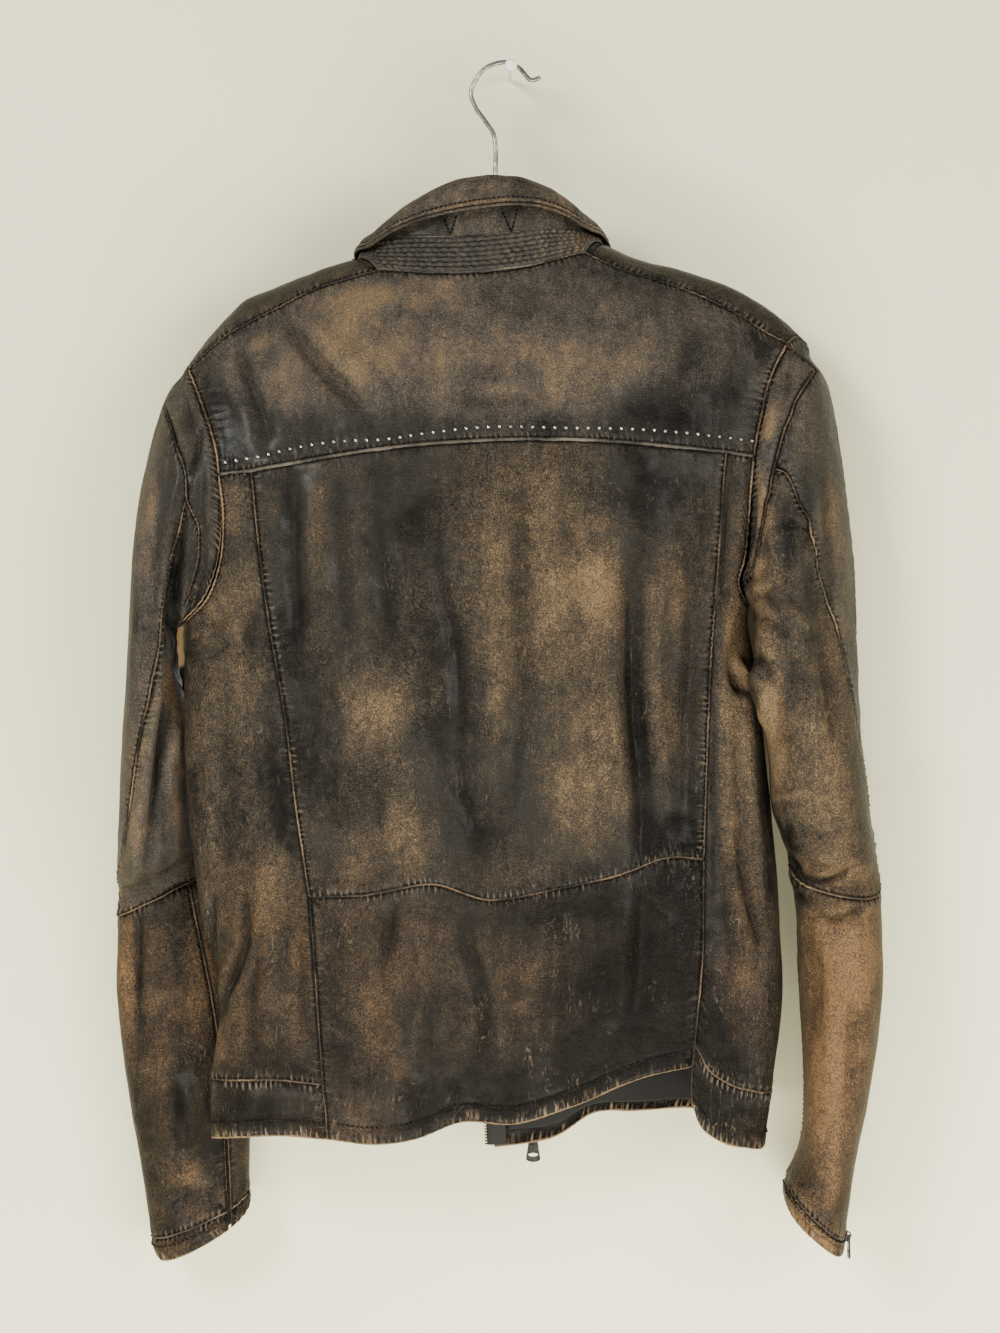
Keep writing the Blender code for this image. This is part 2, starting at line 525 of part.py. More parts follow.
def thickened(name, mesh, material, wall):
    mesh.shade_smooth()
    mesh.materials.append(material)
    piece = bpy.data.objects.new(name, mesh)
    coat.objects.link(piece)
    solidify = piece.modifiers.new("wall", "SOLIDIFY")
    solidify.thickness = wall
    solidify.offset = 0.0
    solidify.use_even_offset = True
    return piece


def strip(name, rows, material, wall, closed=False):
    """A sheet through rows of points, all of one length, as a grid of faces."""
    rows = np.asarray(rows)
    high, wide = rows.shape[:2]
    number = np.arange(high * wide).reshape(high, wide)
    if closed:
        number = np.concatenate([number, number[:, :1]], axis=1)
    corners = (number[:-1, :-1], number[:-1, 1:], number[1:, 1:], number[1:, :-1])
    mesh = bpy.data.meshes.new(name)
    mesh.from_pydata(rows.reshape(-1, 3).tolist(), [], np.stack(corners, -1).reshape(-1, 4).tolist())
    return thickened(name, mesh, material, wall)


# ---- materials -----------------------------------------------------------------------


def finish(name, colour, roughness, metallic=0.0):
    material = bpy.data.materials.new(name)
    material.use_nodes = True
    shader = material.node_tree.nodes["Principled BSDF"]
    shader.inputs["Base Color"].default_value = (*colour, 1.0)
    shader.inputs["Roughness"].default_value = roughness
    shader.inputs["Metallic"].default_value = metallic
    material.diffuse_color = (*colour, 1.0)
    return material


# ---- the pieces ----------------------------------------------------------------------


def seam(points, count):
    return locate(along(points, count))


def build_torso(leather, worn):
    """The back's panels, the hem bands and the fronts. Returns the neck and armhole lines."""
    neck = seam(NECK_BACK, 10)
    yoke = seam(YOKE_SEAM, 12)
    waist = seam(WAIST_SEAM, 12)
    lower = {"L": seam(LOWER_SEAM_L, 5), "R": seam(LOWER_SEAM_R, 5)}
    shoulder = {"L": seam(SHOULDER_SEAM_L, 7), "R": seam(SHOULDER_SEAM_R, 7)}
    upper = {"L": seam(ARM_UPPER_L, 4), "R": seam(ARM_UPPER_R, 4)}
    arm = {"L": seam(ARM_LOWER_L, 6), "R": seam(ARM_LOWER_R, 6)}
    back = {"L": seam(BACK_SEAM_L, 10), "R": seam(BACK_SEAM_R, 10)}
    stub = {
        "L": seam([YOKE_ARM_L, YOKE_L], 1),
        "R": seam([YOKE_ARM_R, YOKE_R], 1),
    }
    short_r = seam([BAND_R, HEM_R], 1)
    band_l = seam([BAND_L, HEM_L], 2)
    sheet(
        "back_yoke", torso, TORSO_FACING,
        joined(stub["L"], yoke, stub["R"][::-1], upper["R"][::-1], shoulder["R"][::-1], neck[::-1],
               shoulder["L"], upper["L"]),
        leather,
    )
    sheet(
        "back_centre", torso, TORSO_FACING,
        joined(back["L"][::-1], yoke, back["R"], waist[::-1])[::-1],
        leather,
    )
    sheet(
        "back_lower", torso, TORSO_FACING,
        joined(seam(BACK_HEM, 14), short_r[::-1], lower["R"][::-1], waist[::-1], lower["L"], band_l),
        leather,
    )
    armholes = {}
    necks = {}
    shapes = {
        "L": dict(
            sign=-1, arm_front=ARM_FRONT_L, top_back=BAND_TOP_BACK_L, low_back=BAND_LOW_BACK_L,
            top_front=BAND_TOP_FRONT_L, low_front=BAND_LOW_FRONT_L, edge=EDGE_L, neck=NECK_FRONT_L,
            inner_edge=band_l, corner=NECK_L, ridge_x=-0.1125,
        ),
        "R": dict(
            sign=1, arm_front=ARM_FRONT_R, top_back=BAND_TOP_BACK_R, low_back=BAND_LOW_BACK_R,
            top_front=BAND_TOP_FRONT_R, low_front=BAND_LOW_FRONT_R, edge=EDGE_R, neck=NECK_FRONT_R,
            inner_edge=seam([BAND_R, HEM_R, BAND_END_R], 3), corner=NECK_R, ridge_x=0.0665,
        ),
    }
    for side, shape in shapes.items():
        sign = shape["sign"]
        name = {"L": "left", "R": "right"}[side]
        # The armhole in front, from the shoulder down to the side seam, then to the underarm.
        down = locate(shape["arm_front"], sign)
        turn = arm[side][-1]
        start = over_the_top([(TIP_L, TIP_R)[sign > 0]])
        foot = np.array([[sign * FRONT_SEAM, turn[1] + 0.006]])
        arm_front = along_parameters(np.concatenate([start, down, foot]), 8)
        under = along_parameters(np.stack([foot[0], turn]), 2)
        # The band's top seam, from the back seam round the side to the front edge.
        top_back = locate(shape["top_back"])
        top_front = locate(shape["top_front"], sign)
        corner = np.array([sign * FRONT_SEAM, (top_back[-1, 1] + top_front[0, 1]) / 2])
        band_side = along_parameters(np.concatenate([top_back, corner[None]]), 6)
        band_front = along_parameters(np.concatenate([corner[None], top_front]), 8)
        side_seam = along_parameters(np.stack([foot[0], corner]), 11)
        loop = joined(stub[side], back[side], lower[side], band_side, side_seam[::-1], under, arm[side][::-1])
        sheet("back_side_" + name, torso, TORSO_FACING, loop, leather)
        # The front comes over the shoulder to the seam set back behind the ridge.
        seam_over = over_the_top(along(SHOULDER_SEAM_L if sign < 0 else SHOULDER_SEAM_R, 7))
        ridge = (shape["ridge_x"], smooth(shape["ridge_x"], SHOULDER["x"], SHOULDER["z"]))
        neck_front = np.concatenate([seam_over[:1], locate([ridge, *shape["neck"]], sign)])
        neck_front = along_parameters(neck_front, 9)
        edge = locate(along(shape["edge"], 16), sign)
        neck_front[-1] = edge[0]
        band_front[-1] = edge[-1]
        loop = joined(seam_over, arm_front, side_seam, band_front, edge[::-1], neck_front[::-1])
        tape = along(shape["edge"], 16) + (sign * TAPE_UNDER, 0.0)
        within = np.concatenate([locate(tape, sign), locate(tape[::2] + (sign * 0.02, 0.0), sign)])
        sheet("front_" + name, torso, TORSO_FACING, loop, leather, within=within)
        low = np.concatenate([locate(shape["low_back"]), locate(shape["low_front"], sign)])
        low = along_parameters(low, 14)
        end = along_parameters(np.stack([edge[-1], low[-1]]), 2)
        loop = joined(band_side, band_front, end, low[::-1], shape["inner_edge"][::-1])
        sheet("hem_band_" + name, torso, TORSO_FACING, loop, worn)
        armholes[side] = (upper[side], arm[side], arm_front, under)
        necks[side] = neck_front
    return neck, necks, armholes


def along_parameters(points, count):
    """Points spread evenly along a line in the torso's parameters, with its ends kept."""
    scale = TORSO_FACING.cell
    return along(np.asarray(points) / scale, count) * scale


def armhole_ring(upper, lower, front, under):
    """The armhole as a function of TURN, the shoulder's tip at 0 and the underarm at 180,
    and the turns at which the torso's own edge has its points."""
    back = torso(*np.concatenate([upper, lower[1:]]).T)
    fore = torso(*np.concatenate([front, under[1:]]).T)

    back_at, fore_at = (180 * run_of(p) / run_of(p)[-1] for p in (back, fore))

    def ring(turn):
        turn = np.mod(turn, 360)
        first = smooth(turn, back_at, back)
        second = smooth(360 - turn, fore_at, fore)
        return np.where((turn <= 180)[:, None], first, second)

    return ring, np.concatenate([back_at, 360 - fore_at[-2::-1]])


def build_sleeve(name, sign, rings, armhole, shapes, leather, worn):
    """The gusset, the sleeve's two halves to the elbow, the forearm's two and the cuff."""
    hole_line, stops = armhole_ring(*armhole)
    surface = make_sleeve(rings, hole_line)
    facing = LEFT_FACING if sign < 0 else RIGHT_FACING
    gusset = locate_on_sleeve(surface, along(shapes["gusset"], 4))
    gusset_low = locate_on_sleeve(surface, along(shapes["gusset_low"], 5))
    back = locate_on_sleeve(surface, along(shapes["back"], 9))
    back = np.concatenate([back, shapes["back_end"]])
    fore, foot = (stops[np.argmin(np.abs(stops - shapes[k]))] for k in ("front_turn", "tip_turn"))

    def hole(first, last):
        """The armhole's points between two turns, at the torso's own points."""
        turns = np.unique(np.concatenate([stops - 360, stops]).round(6))
        turns = turns[(turns > min(first, last) - 1e-5) & (turns < max(first, last) + 1e-5)]
        return np.stack([turns if last > first else turns[::-1], 0 * turns], axis=1)

    def line(a, b, count):
        return np.linspace(a, b, count + 1)

    def cut(part, loop, material):
        by = np.where(np.abs(loop[:, 1] - ELBOW) < 1e-6, shapes["elbow_inset"], SLEEVE_INSET)
        by = np.where(np.abs(loop[:, 1] - CUFF) < 1e-6, 2 * SLEEVE_INSET, by)
        sheet(part + "_" + name, surface, facing, loop, material, by=by)

    def vented(turn, gap):
        """An edge from the elbow to the cuff that stands back by gap below the vent."""
        upper = line((turn, ELBOW), (turn, VENT - 0.1), 5)
        return np.concatenate([upper, line((turn + gap, VENT), (turn + gap, CUFF), 2)])

    top = line((0.0, 0.0), gusset[0], 1)
    tip = line((foot, 0.0), gusset_low[-1], 1)
    loop = joined(hole(0.0, foot), tip, gusset_low[::-1], gusset[::-1], top[::-1])
    cut("sleeve_gusset", loop, leather)
    hole_front = hole(0.0, fore - 360)
    seam_front = line((fore - 360, 0.0), (fore - 360, ELBOW), 11)
    elbow = line((fore - 360, ELBOW), back[-1], 8)
    loop = joined(hole_front, seam_front, elbow, back[::-1], gusset[::-1], top[::-1])
    cut("sleeve_top", loop, leather)
    hole_under = hole(foot, fore)
    seam_under = line((fore, 0.0), (fore, ELBOW), 11)
    elbow_under = line((fore, ELBOW), back[-1], 7)
    loop = joined(hole_under, seam_under, elbow_under, back[::-1], gusset_low, tip[::-1])
    cut("sleeve_under", loop, leather)
    vent, fold = shapes["vent_turn"], shapes["fold_turn"]
    for half, first, last in (("outer", fold - 360, vent), ("inner", vent, fold)):
        count = max(5, round((last - first) / 24))
        first_gap, last_gap = (VENT_GAP if at == vent else 0.0 for at in (first, last))
        loop = joined(
            line((first, ELBOW), (last, ELBOW), count),
            vented(last, -last_gap),
            line((last - last_gap, CUFF), (first + first_gap, CUFF), count),
            vented(first, first_gap)[::-1],
        )
        cut("forearm_" + half, loop, worn)
    first, last = vent - 360 + VENT_GAP, vent - VENT_GAP
    loop = joined(
        line((first, CUFF), (last, CUFF), 16),
        line((last, CUFF), (last, CUFF_EDGE), 1),
        line((last, CUFF_EDGE), (first, CUFF_EDGE), 16),
        line((first, CUFF_EDGE), (first, CUFF), 1),
    )
    cut("cuff", loop, worn)
    return surface


def build_zip_front(name, sign, edge, low, tape_cloth, end):
    """The tape of one side of the front zip, sewn under the front's open edge."""
    line = np.concatenate([np.array(edge[:-1]), np.array(edge[-1:]), np.array([low[-1]])])
    line = along(line, 18)
    line[0, 1] -= 0.004
    line[-1, 1] += end
    out = line + (-sign * TAPE_SHOWN, 0.0)
    under = line + (sign * TAPE_UNDER, 0.0)
    ends = [locate(along([a, b], 1), sign) for a, b in ((under[0], out[0]), (out[-1], under[-1]))]
    loop = joined(ends[0], locate(out, sign), ends[1], locate(under[::-1], sign))
    lift = -(LEATHER / 2 + TAPE_GAP + TAPE_WALL / 2)
    sheet(name, torso, TORSO_FACING, loop, tape_cloth, TAPE_WALL, lift)
    return out[-1]


def build_zip_cuff(name, surface, facing, vent, tape_cloth, last):
    """The tape under a cuff's vent."""
    wide = 9.0
    loop = joined(
        np.linspace((vent - wide, VENT - 0.3), (vent + wide, VENT - 0.3), 3),
        np.linspace((vent + wide, VENT - 0.3), (vent + wide, last), 7),
        np.linspace((vent + wide, last), (vent - wide, last), 3),
        np.linspace((vent - wide, last), (vent - wide, VENT - 0.3), 7),
    )
    sheet(name, surface, facing, loop, tape_cloth, TAPE_WALL, -(LEATHER / 2 + TAPE_GAP + TAPE_WALL / 2))


def basis(outward):
    """Columns: a slider's hinge side, up and out, for a slider that faces outward."""
    out = Vector(outward).normalized()
    up = Vector((0.0, 0.0, 1.0))
    return Matrix((up.cross(out), up, out)).transposed().to_4x4()


def plate(name, outlines, thickness, material):
    """A flat outline, with the outlines inside it as its holes, made solid both ways."""
    curve = bpy.data.curves.new(name, "CURVE")
    curve.dimensions = "2D"
    curve.fill_mode = "BOTH"
    curve.extrude = thickness / 2
    for outline in outlines:
        spline = curve.splines.new("POLY")
        spline.points.add(len(outline) - 1)
        for place, (x, y) in zip(spline.points, outline):
            place.co = (x, y, 0.0, 1.0)
        spline.use_cyclic_u = True
    curve.materials.append(material)
    return bpy.data.objects.new(name, curve)


def as_mesh(source):
    """The mesh of a curve object, with its caps welded on; the curve goes."""
    coat.objects.link(source)
    bpy.context.view_layer.update()
    graph = bpy.context.evaluated_depsgraph_get()
    mesh = bpy.data.meshes.new_from_object(source.evaluated_get(graph))
    ready = bmesh.new()
    ready.from_mesh(mesh)
    bmesh.ops.remove_doubles(ready, verts=ready.verts, dist=1e-6)
    ready.to_mesh(mesh)
    ready.free()
    name = source.name
    bpy.data.objects.remove(source, do_unlink=True)
    return bpy.data.objects.new(name, mesh)


def build_slider(name, centre, outward, metal):
    """A slider's body with the bridge that its pull hangs from. Returns the pull's axis."""
    frame = Matrix.Translation(centre) @ basis(outward)
    wide, long, thick = SLIDER
    bpy.ops.mesh.primitive_cube_add(size=1.0)
    body = bpy.context.object
    body.name = name
    body.data.name = name
    body.data.transform(Matrix.Diagonal((wide, long, thick, 1.0)))
    for other in list(body.users_collection):
        other.objects.unlink(body)
    coat.objects.link(body)
    body.data.materials.append(metal)
    body.matrix_world = frame
    bevel = body.modifiers.new("soft edges", "BEVEL")
    bevel.width = SLIDER_EDGE
    bevel.segments = 2
    span, height, wire = BRIDGE
    angle = np.linspace(0, math.pi, 9)
    outer = np.stack([span / 2 * np.cos(angle), height * np.sin(angle) ** 0.7], axis=1)
    inner = np.stack([(span / 2 - wire) * np.cos(angle), (height - wire) * np.sin(angle) ** 0.7], axis=1)
    foot = [(-span / 2, BRIDGE_FOOT), (-span / 2 + wire, BRIDGE_FOOT)]
    other_foot = [(span / 2 - wire, BRIDGE_FOOT), (span / 2, BRIDGE_FOOT)]
    outline = [*outer.tolist(), *foot, *inner[::-1].tolist(), *other_foot]
    bridge = as_mesh(plate(name + "_bridge", [outline], BRIDGE_DEPTH, metal))
    stand = Matrix(((0, 0, 1, 0), (1, 0, 0, 0), (0, 1, 0, thick / 2), (0, 0, 0, 1)))
    bridge.matrix_world = frame @ stand
    guides.objects.link(bridge)
    bridge.hide_render = True
    bridge.display_type = "WIRE"
    union = body.modifiers.new("bridge", "BOOLEAN")
    union.operation = "UNION"
    union.object = bridge
    return frame @ Vector((0.0, 0.0, thick / 2 + PULL_AXIS))


def build_pull(name, axis, outward, size, metal):
    """A pull tab on its slider's bridge, its origin on the axis that it swings about."""
    length, wide = size
    foot = wide / 2
    bar = PULL_BAR / 2
    turn = np.linspace(math.radians(200), math.radians(340), 9)
    low = [(foot * 1.06 * math.cos(a), -length + 0.0020 + 0.0032 * math.sin(a)) for a in turn]
    shoulder = PULL_NECK * 1.05
    outline = [(PULL_NECK, bar), (-PULL_NECK, bar), (-shoulder, PULL_SWELL), *low, (shoulder, PULL_SWELL)]
    across, deep = PULL_SLOT
    slot = [(across, -bar), (-across, -bar), (-across, -deep), (across, -deep)]
    angle = np.linspace(0, 2 * math.pi, 14, endpoint=False)
    above, high = PULL_HOLE
    hole = [(foot * 0.66 * math.cos(a), -length + above + high * math.sin(a)) for a in angle]
    pull = plate(name, [outline, slot, hole], PULL_BAR, metal)
    pull = as_mesh(pull)
    coat.objects.link(pull)
    pull.matrix_world = Matrix.Translation(axis) @ basis(outward)
    return pull


def build_collar(neck, necks, leather, quilted):
    """The quilted band on the neck seam, then the stand and fall in one folded piece."""
    line = np.concatenate([necks["L"][::-1][:-1], neck[:-1], necks["R"]])
    base = torso(*line.T)
    run = run_of(base)
    ridge_l = run[np.argmin(np.abs(line[: len(necks["L"]), 1] - RIDGE))]
    ridge_r = run[len(line) - len(necks["R"]) + np.argmin(np.abs(necks["R"][:, 1] - RIDGE))]
    turn = np.interp(run, [0, ridge_l, (ridge_l + ridge_r) / 2, ridge_r, run[-1]], [-180, -90, 0, 90, 180])
    lines = {
        part: smooth(turn, COLLAR["turn"], np.stack([COLLAR[f"{part}_{axis}"] for axis in "xyz"], axis=1))
        for part in ("band", "fold", "edge")
    }
    base = base + np.array([0, 0, BAND_RISE])
    rise = [base + (lines["band"] - base) * t for t in (0.0, 0.5, 1.0)]
    strip("collar_band", rise, quilted, BAND_WALL)
    band, fold, edge = lines["band"], lines["fold"], lines["edge"]
    start = band + (fold - band) / np.linalg.norm(fold - band, axis=1, keepdims=True) * STAND_GAP
    out = edge - band
    out[:, 2] = 0
    out /= np.linalg.norm(out, axis=1, keepdims=True)
    rows = [
        start,
        start + (fold - start) * FOLD_AT[0],
        start + (fold - start) * FOLD_AT[1],
        fold + out * FOLD_OUT[0],
        fold + (edge - fold) * FOLD_AT[2] + out * FOLD_OUT[1],
        fold + (edge - fold) * FOLD_AT[3] + out * FOLD_OUT[2],
        edge,
    ]
    strip("collar_leaf", rows, leather, COLLAR_WALL)


def build_hanger(steel, wood):
    """A wooden bar shaped to the shoulders, and the wire hook that screws into it."""
    curve = bpy.data.curves.new("hanger_hook", "CURVE")
    curve.dimensions = "3D"
    curve.bevel_depth = WIRE / 2
    curve.bevel_resolution = 2
    curve.use_fill_caps = True
    points = along(HOOK, 44)
    spline = curve.splines.new("POLY")
    spline.points.add(len(points) - 1)
    for place, (x, z) in zip(spline.points, points):
        place.co = (x, 0.0, z, 1.0)
    curve.materials.append(steel)
    hook = bpy.data.objects.new("hanger_hook", curve)
    coat.objects.link(hook)
    stem = HOOK[0][0]
    rows = []
    for t in np.linspace(-1, 1, 25):
        x = stem + BAR_HALF * t
        half = BAR_HEIGHT[0] - BAR_HEIGHT[1] * abs(t)
        top = smooth(x, SHOULDER["x"], SHOULDER["z"]) - LEATHER / 2 - BAR_GAP
        top = min(top, smooth(stem, SHOULDER["x"], SHOULDER["z"]) - BAR_CROWN)
        angle = np.linspace(0, 2 * math.pi, 12, endpoint=False)
        end = 1.0 if abs(t) < BAR_END else BAR_TIP
        y = BAR_DEPTH / 2 * end * power(np.cos(angle), BAR_ROUND)
        z = top - half + half * end * power(np.sin(angle), BAR_ROUND)
        rows.append(np.stack([np.full_like(angle, x), y, z], axis=1))
    loft("hanger_bar", rows, wood)


def loft(name, rings, material):
    """A closed solid through rings of points, with both ends capped."""
    rings = np.asarray(rings)
    high, wide = rings.shape[:2]
    number = np.arange(high * wide).reshape(high, wide)
    number = np.concatenate([number, number[:, :1]], axis=1)
    corners = (number[:-1, :-1], number[:-1, 1:], number[1:, 1:], number[1:, :-1])
    faces = np.stack(corners, -1).reshape(-1, 4).tolist()
    faces += [number[0, :wide][::-1].tolist(), number[-1, :wide].tolist()]
    mesh = bpy.data.meshes.new(name)
    mesh.from_pydata(rings.reshape(-1, 3).tolist(), [], faces)
    ready = bmesh.new()
    ready.from_mesh(mesh)
    bmesh.ops.recalc_face_normals(ready, faces=ready.faces)
    ready.to_mesh(mesh)
    ready.free()
    mesh.shade_smooth()
    mesh.materials.append(material)
    piece = bpy.data.objects.new(name, mesh)
    coat.objects.link(piece)
    return piece


for old in list(bpy.data.objects):
    bpy.data.objects.remove(old, do_unlink=True)
coat = bpy.data.collections.new("worn_leather_coat")
guides = bpy.data.collections.new("joined_pieces")
for collection in (coat, guides):
    bpy.context.scene.collection.children.link(collection)

charcoal = finish("charcoal leather", (0.045, 0.034, 0.026), 0.5)
tan = finish("tan worn leather", (0.14, 0.085, 0.05), 0.55)
quilted = finish("quilted leather", (0.06, 0.04, 0.03), 0.5)
steel = finish("hook steel", (0.6, 0.58, 0.52), 0.3, 1.0)
wood = finish("hanger wood", (0.45, 0.30, 0.17), 0.5)

tape_cloth = finish("zip tape", (0.02, 0.02, 0.02), 0.8)
satin = finish("lining satin", (0.012, 0.012, 0.014), 0.4)
dark_metal = finish("zip metal", (0.06, 0.055, 0.05), 0.4, 1.0)

neck_line, front_necks, armholes = build_torso(charcoal, tan)
left = build_sleeve(
    "left", -1, LEFT_SLEEVE, armholes["L"],
    dict(gusset=GUSSET_L, gusset_low=GUSSET_LOW_L, back=SLEEVE_BACK_L,
         back_end=[(28.0, 9.0), (26.0, 10.0), (25.0, ELBOW)],
         front_turn=235.0, tip_turn=165.0, vent_turn=126.0, fold_turn=290.0, elbow_inset=0.0004),
    charcoal, tan,
)
right = build_sleeve(
    "right", 1, RIGHT_SLEEVE, armholes["R"],
    dict(gusset=GUSSET_R, gusset_low=GUSSET_LOW_R, back=SLEEVE_BACK_R,
         back_end=[(4.0, 7.5), (-4.0, 9.0), (-8.0, ELBOW)],
         front_turn=235.0, tip_turn=165.0, vent_turn=-14.0, fold_turn=200.0, elbow_inset=0.0010),
    charcoal, tan,
)
build_collar(neck_line, front_necks, charcoal, quilted)
build_hanger(steel, wood)

lining = joined(
    locate(along(LINING_LOW, 9), 1),
    locate([LINING_LOW[-1], LINING_HIGH[-1]], 1),
    locate(along(LINING_HIGH[::-1], 9), 1),
    locate([LINING_HIGH[0], LINING_LOW[0]], 1),
)
sheet("lining_right", torso, TORSO_FACING, lining, satin, TAPE_WALL, -(LEATHER / 2 + TAPE_GAP + TAPE_WALL / 2))

tape_end = build_zip_front("zip_tape_left", -1, EDGE_L, BAND_LOW_FRONT_L, tape_cloth, -0.002)
build_zip_front("zip_tape_right", 1, EDGE_R, BAND_LOW_FRONT_R, tape_cloth, 0.002)
seat = torso(*locate([tape_end], -1)[0])
seat = Vector((seat[0] + SLIDER[0] / 2 + GAP, seat[1] - LEATHER / 2 - GAP, seat[2] + 0.0035))
axis = build_slider("zip_slider", seat, (0, 1, 0), dark_metal)
build_pull("zip_pull", axis, (0, 1, 0), MAIN_PULL, dark_metal)

for name, surface, facing, vent, ring in (
    ("left", left, LEFT_FACING, 126.0, VENT - 0.1),
    ("right", right, RIGHT_FACING, -14.0, CUFF_EDGE - 0.75),
):
    build_zip_cuff("cuff_tape_" + name, surface, facing, vent, tape_cloth, CUFF_EDGE - 0.2)
    outward = Vector(normals(surface, np.array([[vent, ring]]), facing)[0].tolist())
    outward.z = 0.0
    outward.normalize()
    seat = Vector(surface(vent, ring).tolist()) + outward * (LEATHER / 2 + SLIDER[2] / 2 + SLIDER_STANDS)
    axis = build_slider("cuff_slider_" + name, seat, outward, dark_metal)
    build_pull("cuff_pull_" + name, axis, outward, CUFF_PULL, dark_metal)
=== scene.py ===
import math

import bpy
import numpy as np
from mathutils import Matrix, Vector


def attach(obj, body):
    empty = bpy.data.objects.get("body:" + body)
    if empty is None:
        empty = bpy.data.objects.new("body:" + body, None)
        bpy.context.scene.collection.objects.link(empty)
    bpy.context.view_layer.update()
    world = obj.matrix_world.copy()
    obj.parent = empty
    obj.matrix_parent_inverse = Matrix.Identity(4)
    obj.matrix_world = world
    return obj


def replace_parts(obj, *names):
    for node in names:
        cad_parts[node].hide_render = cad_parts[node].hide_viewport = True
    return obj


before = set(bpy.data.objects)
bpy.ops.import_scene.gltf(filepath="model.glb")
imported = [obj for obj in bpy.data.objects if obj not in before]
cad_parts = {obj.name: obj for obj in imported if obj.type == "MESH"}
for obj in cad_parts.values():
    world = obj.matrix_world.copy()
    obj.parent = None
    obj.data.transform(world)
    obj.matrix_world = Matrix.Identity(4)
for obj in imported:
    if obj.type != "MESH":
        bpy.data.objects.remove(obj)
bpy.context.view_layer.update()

# ---- measures of the coat, in metres ---------------------------------------------------

LEATHER = 0.0012  # wall of the leather
COLLAR_WALL = 0.0022  # two layers turned together
BAND_WALL = 0.0018  # of the quilted band
SATIN = 0.001  # wall of a tape or of the lining
GAP = 0.0003  # between pieces at a seam
HOLE_GAP, UNDER_GAP = 0.0006, 0.0036  # a sleeve's step out from the armhole, and more below
FRONT_SEAM = 108.0  # turn of the seam between side and front, from the centre back

# The torso. Up to CHEST its sections are level. Above it the sides of each section
# climb to the shoulder ridge, and HEIGHT counts on to the ridge at CHEST + TOP.
CHEST = -0.405
TOP = 0.25
RIDGE = CHEST + TOP
SIDE_POWER = 2.3  # how square a section is, seen from above
TOP_POWER = 2.3  # how square the shoulder is, seen from the side


def table(columns, rows):
    """A small table in millimetres, and a turn in degrees, as {column name: values in metres}."""
    named = zip(columns.split(), np.array(rows, float).T)
    return {name: values if name == "turn" else values / 1000 for name, values in named}


# Half outline at each height: where the left and right edges are, how near the viewer,
# and how far the back and the front stand off the line between them.
TORSO = table(
    "height left right left_y right_y back front",
    [
        (-820, -220, 186, -28, -14, 28, 48), (-760, -222, 194, -29, -13, 32, 50),
        (-700, -216, 201, -30, -12, 36, 52), (-640, -228, 199, -30, -10, 40, 53),
        (-580, -236, 196, -30, -5, 44, 54), (-520, -241, 191, -29, 1, 48, 54),
        (-460, -242.5, 184, -26, 4, 52, 52), (-405, -243.4, 177.8, -22, 3, 55, 50),
        (-355, -262, 205, -17, 0, 58, 48), (-285, -276, 238, -8, 0, 60, 46), (-155, -286, 272, 0, 0, 60, 44),
    ],
)
# The shoulder ridge, as seen from the back. Between the collar's ends it is unseen.
SHOULDER = table(
    "x z",
    [
        (-290, -315), (-260, -253), (-241.5, -226.5), (-217.5, -195), (-200, -177), (-182, -169),
        (-147, -156.5), (-114, -146), (-60, -128), (-20, -120), (25, -121), (67, -134), (100.5, -147.5),
        (136, -157.5), (168, -169.5), (189, -180.5), (210.5, -198.5), (232, -224), (275, -300),
    ],
)

# Sleeve rings, shoulder to cuff: the outermost and innermost points as seen from the
# back, the depth of the line between them, then how far the back and the front of the
# ring stand off the middle of that line. The armhole is ring 0, before the first row.
RING = "out_x out_z in_x in_z y back_x back_y back_z front_x front_y"
LEFT_SLEEVE = table(
    RING,
    [
        (-260, -253, -254, -428, -2, 12, -45, -6, 12, 34), (-274.5, -307.5, -250, -455, 2, 4, -49, 0, 4, 38),
        (-279.8, -355, -246.5, -475, 6, -3, -52, 0, 0, 39),
        (-282.8, -410, -242, -495, 10, -7, -55, 0, 0, 38), (-285, -465, -236, -520, 13, -9, -58, 0, 0, 36),
        (-288.5, -525, -235, -548, 15, -9, -58, -2, 0, 34),
        (-291.5, -570, -235, -564, 16, -7, -57, -8, 0, 33),
        (-293.5, -595, -235, -573, 18, -5, -55, -16, 0, 31),
        (-294.5, -608, -235, -580, 20, -3, -44, -12, 0, 30),
        (-295.2, -618, -234, -587, 21, 0, -30, -4, 0, 28), (-295.7, -640, -230, -608, 23, 0, -24, 0, 0, 27),
        (-295.8, -664, -220, -652, 24, 0, -23, 0, 0, 26), (-295.7, -700, -209, -700, 25, 0, -22, 0, 0, 25),
        (-293, -743, -201, -748, 25, 0, -22, 0, 0, 25), (-287.5, -780, -199, -790, 25, 0, -21, 0, 0, 24),
        (-280, -823, -198.5, -825, 25, 0, -21, -3, 0, 23), (-271, -880, -198.5, -848, 25, 0, -21, -7, 0, 22),
        (-266.5, -896, -199, -859, 25, 0, -21, -10, 0, 22),
    ],
)
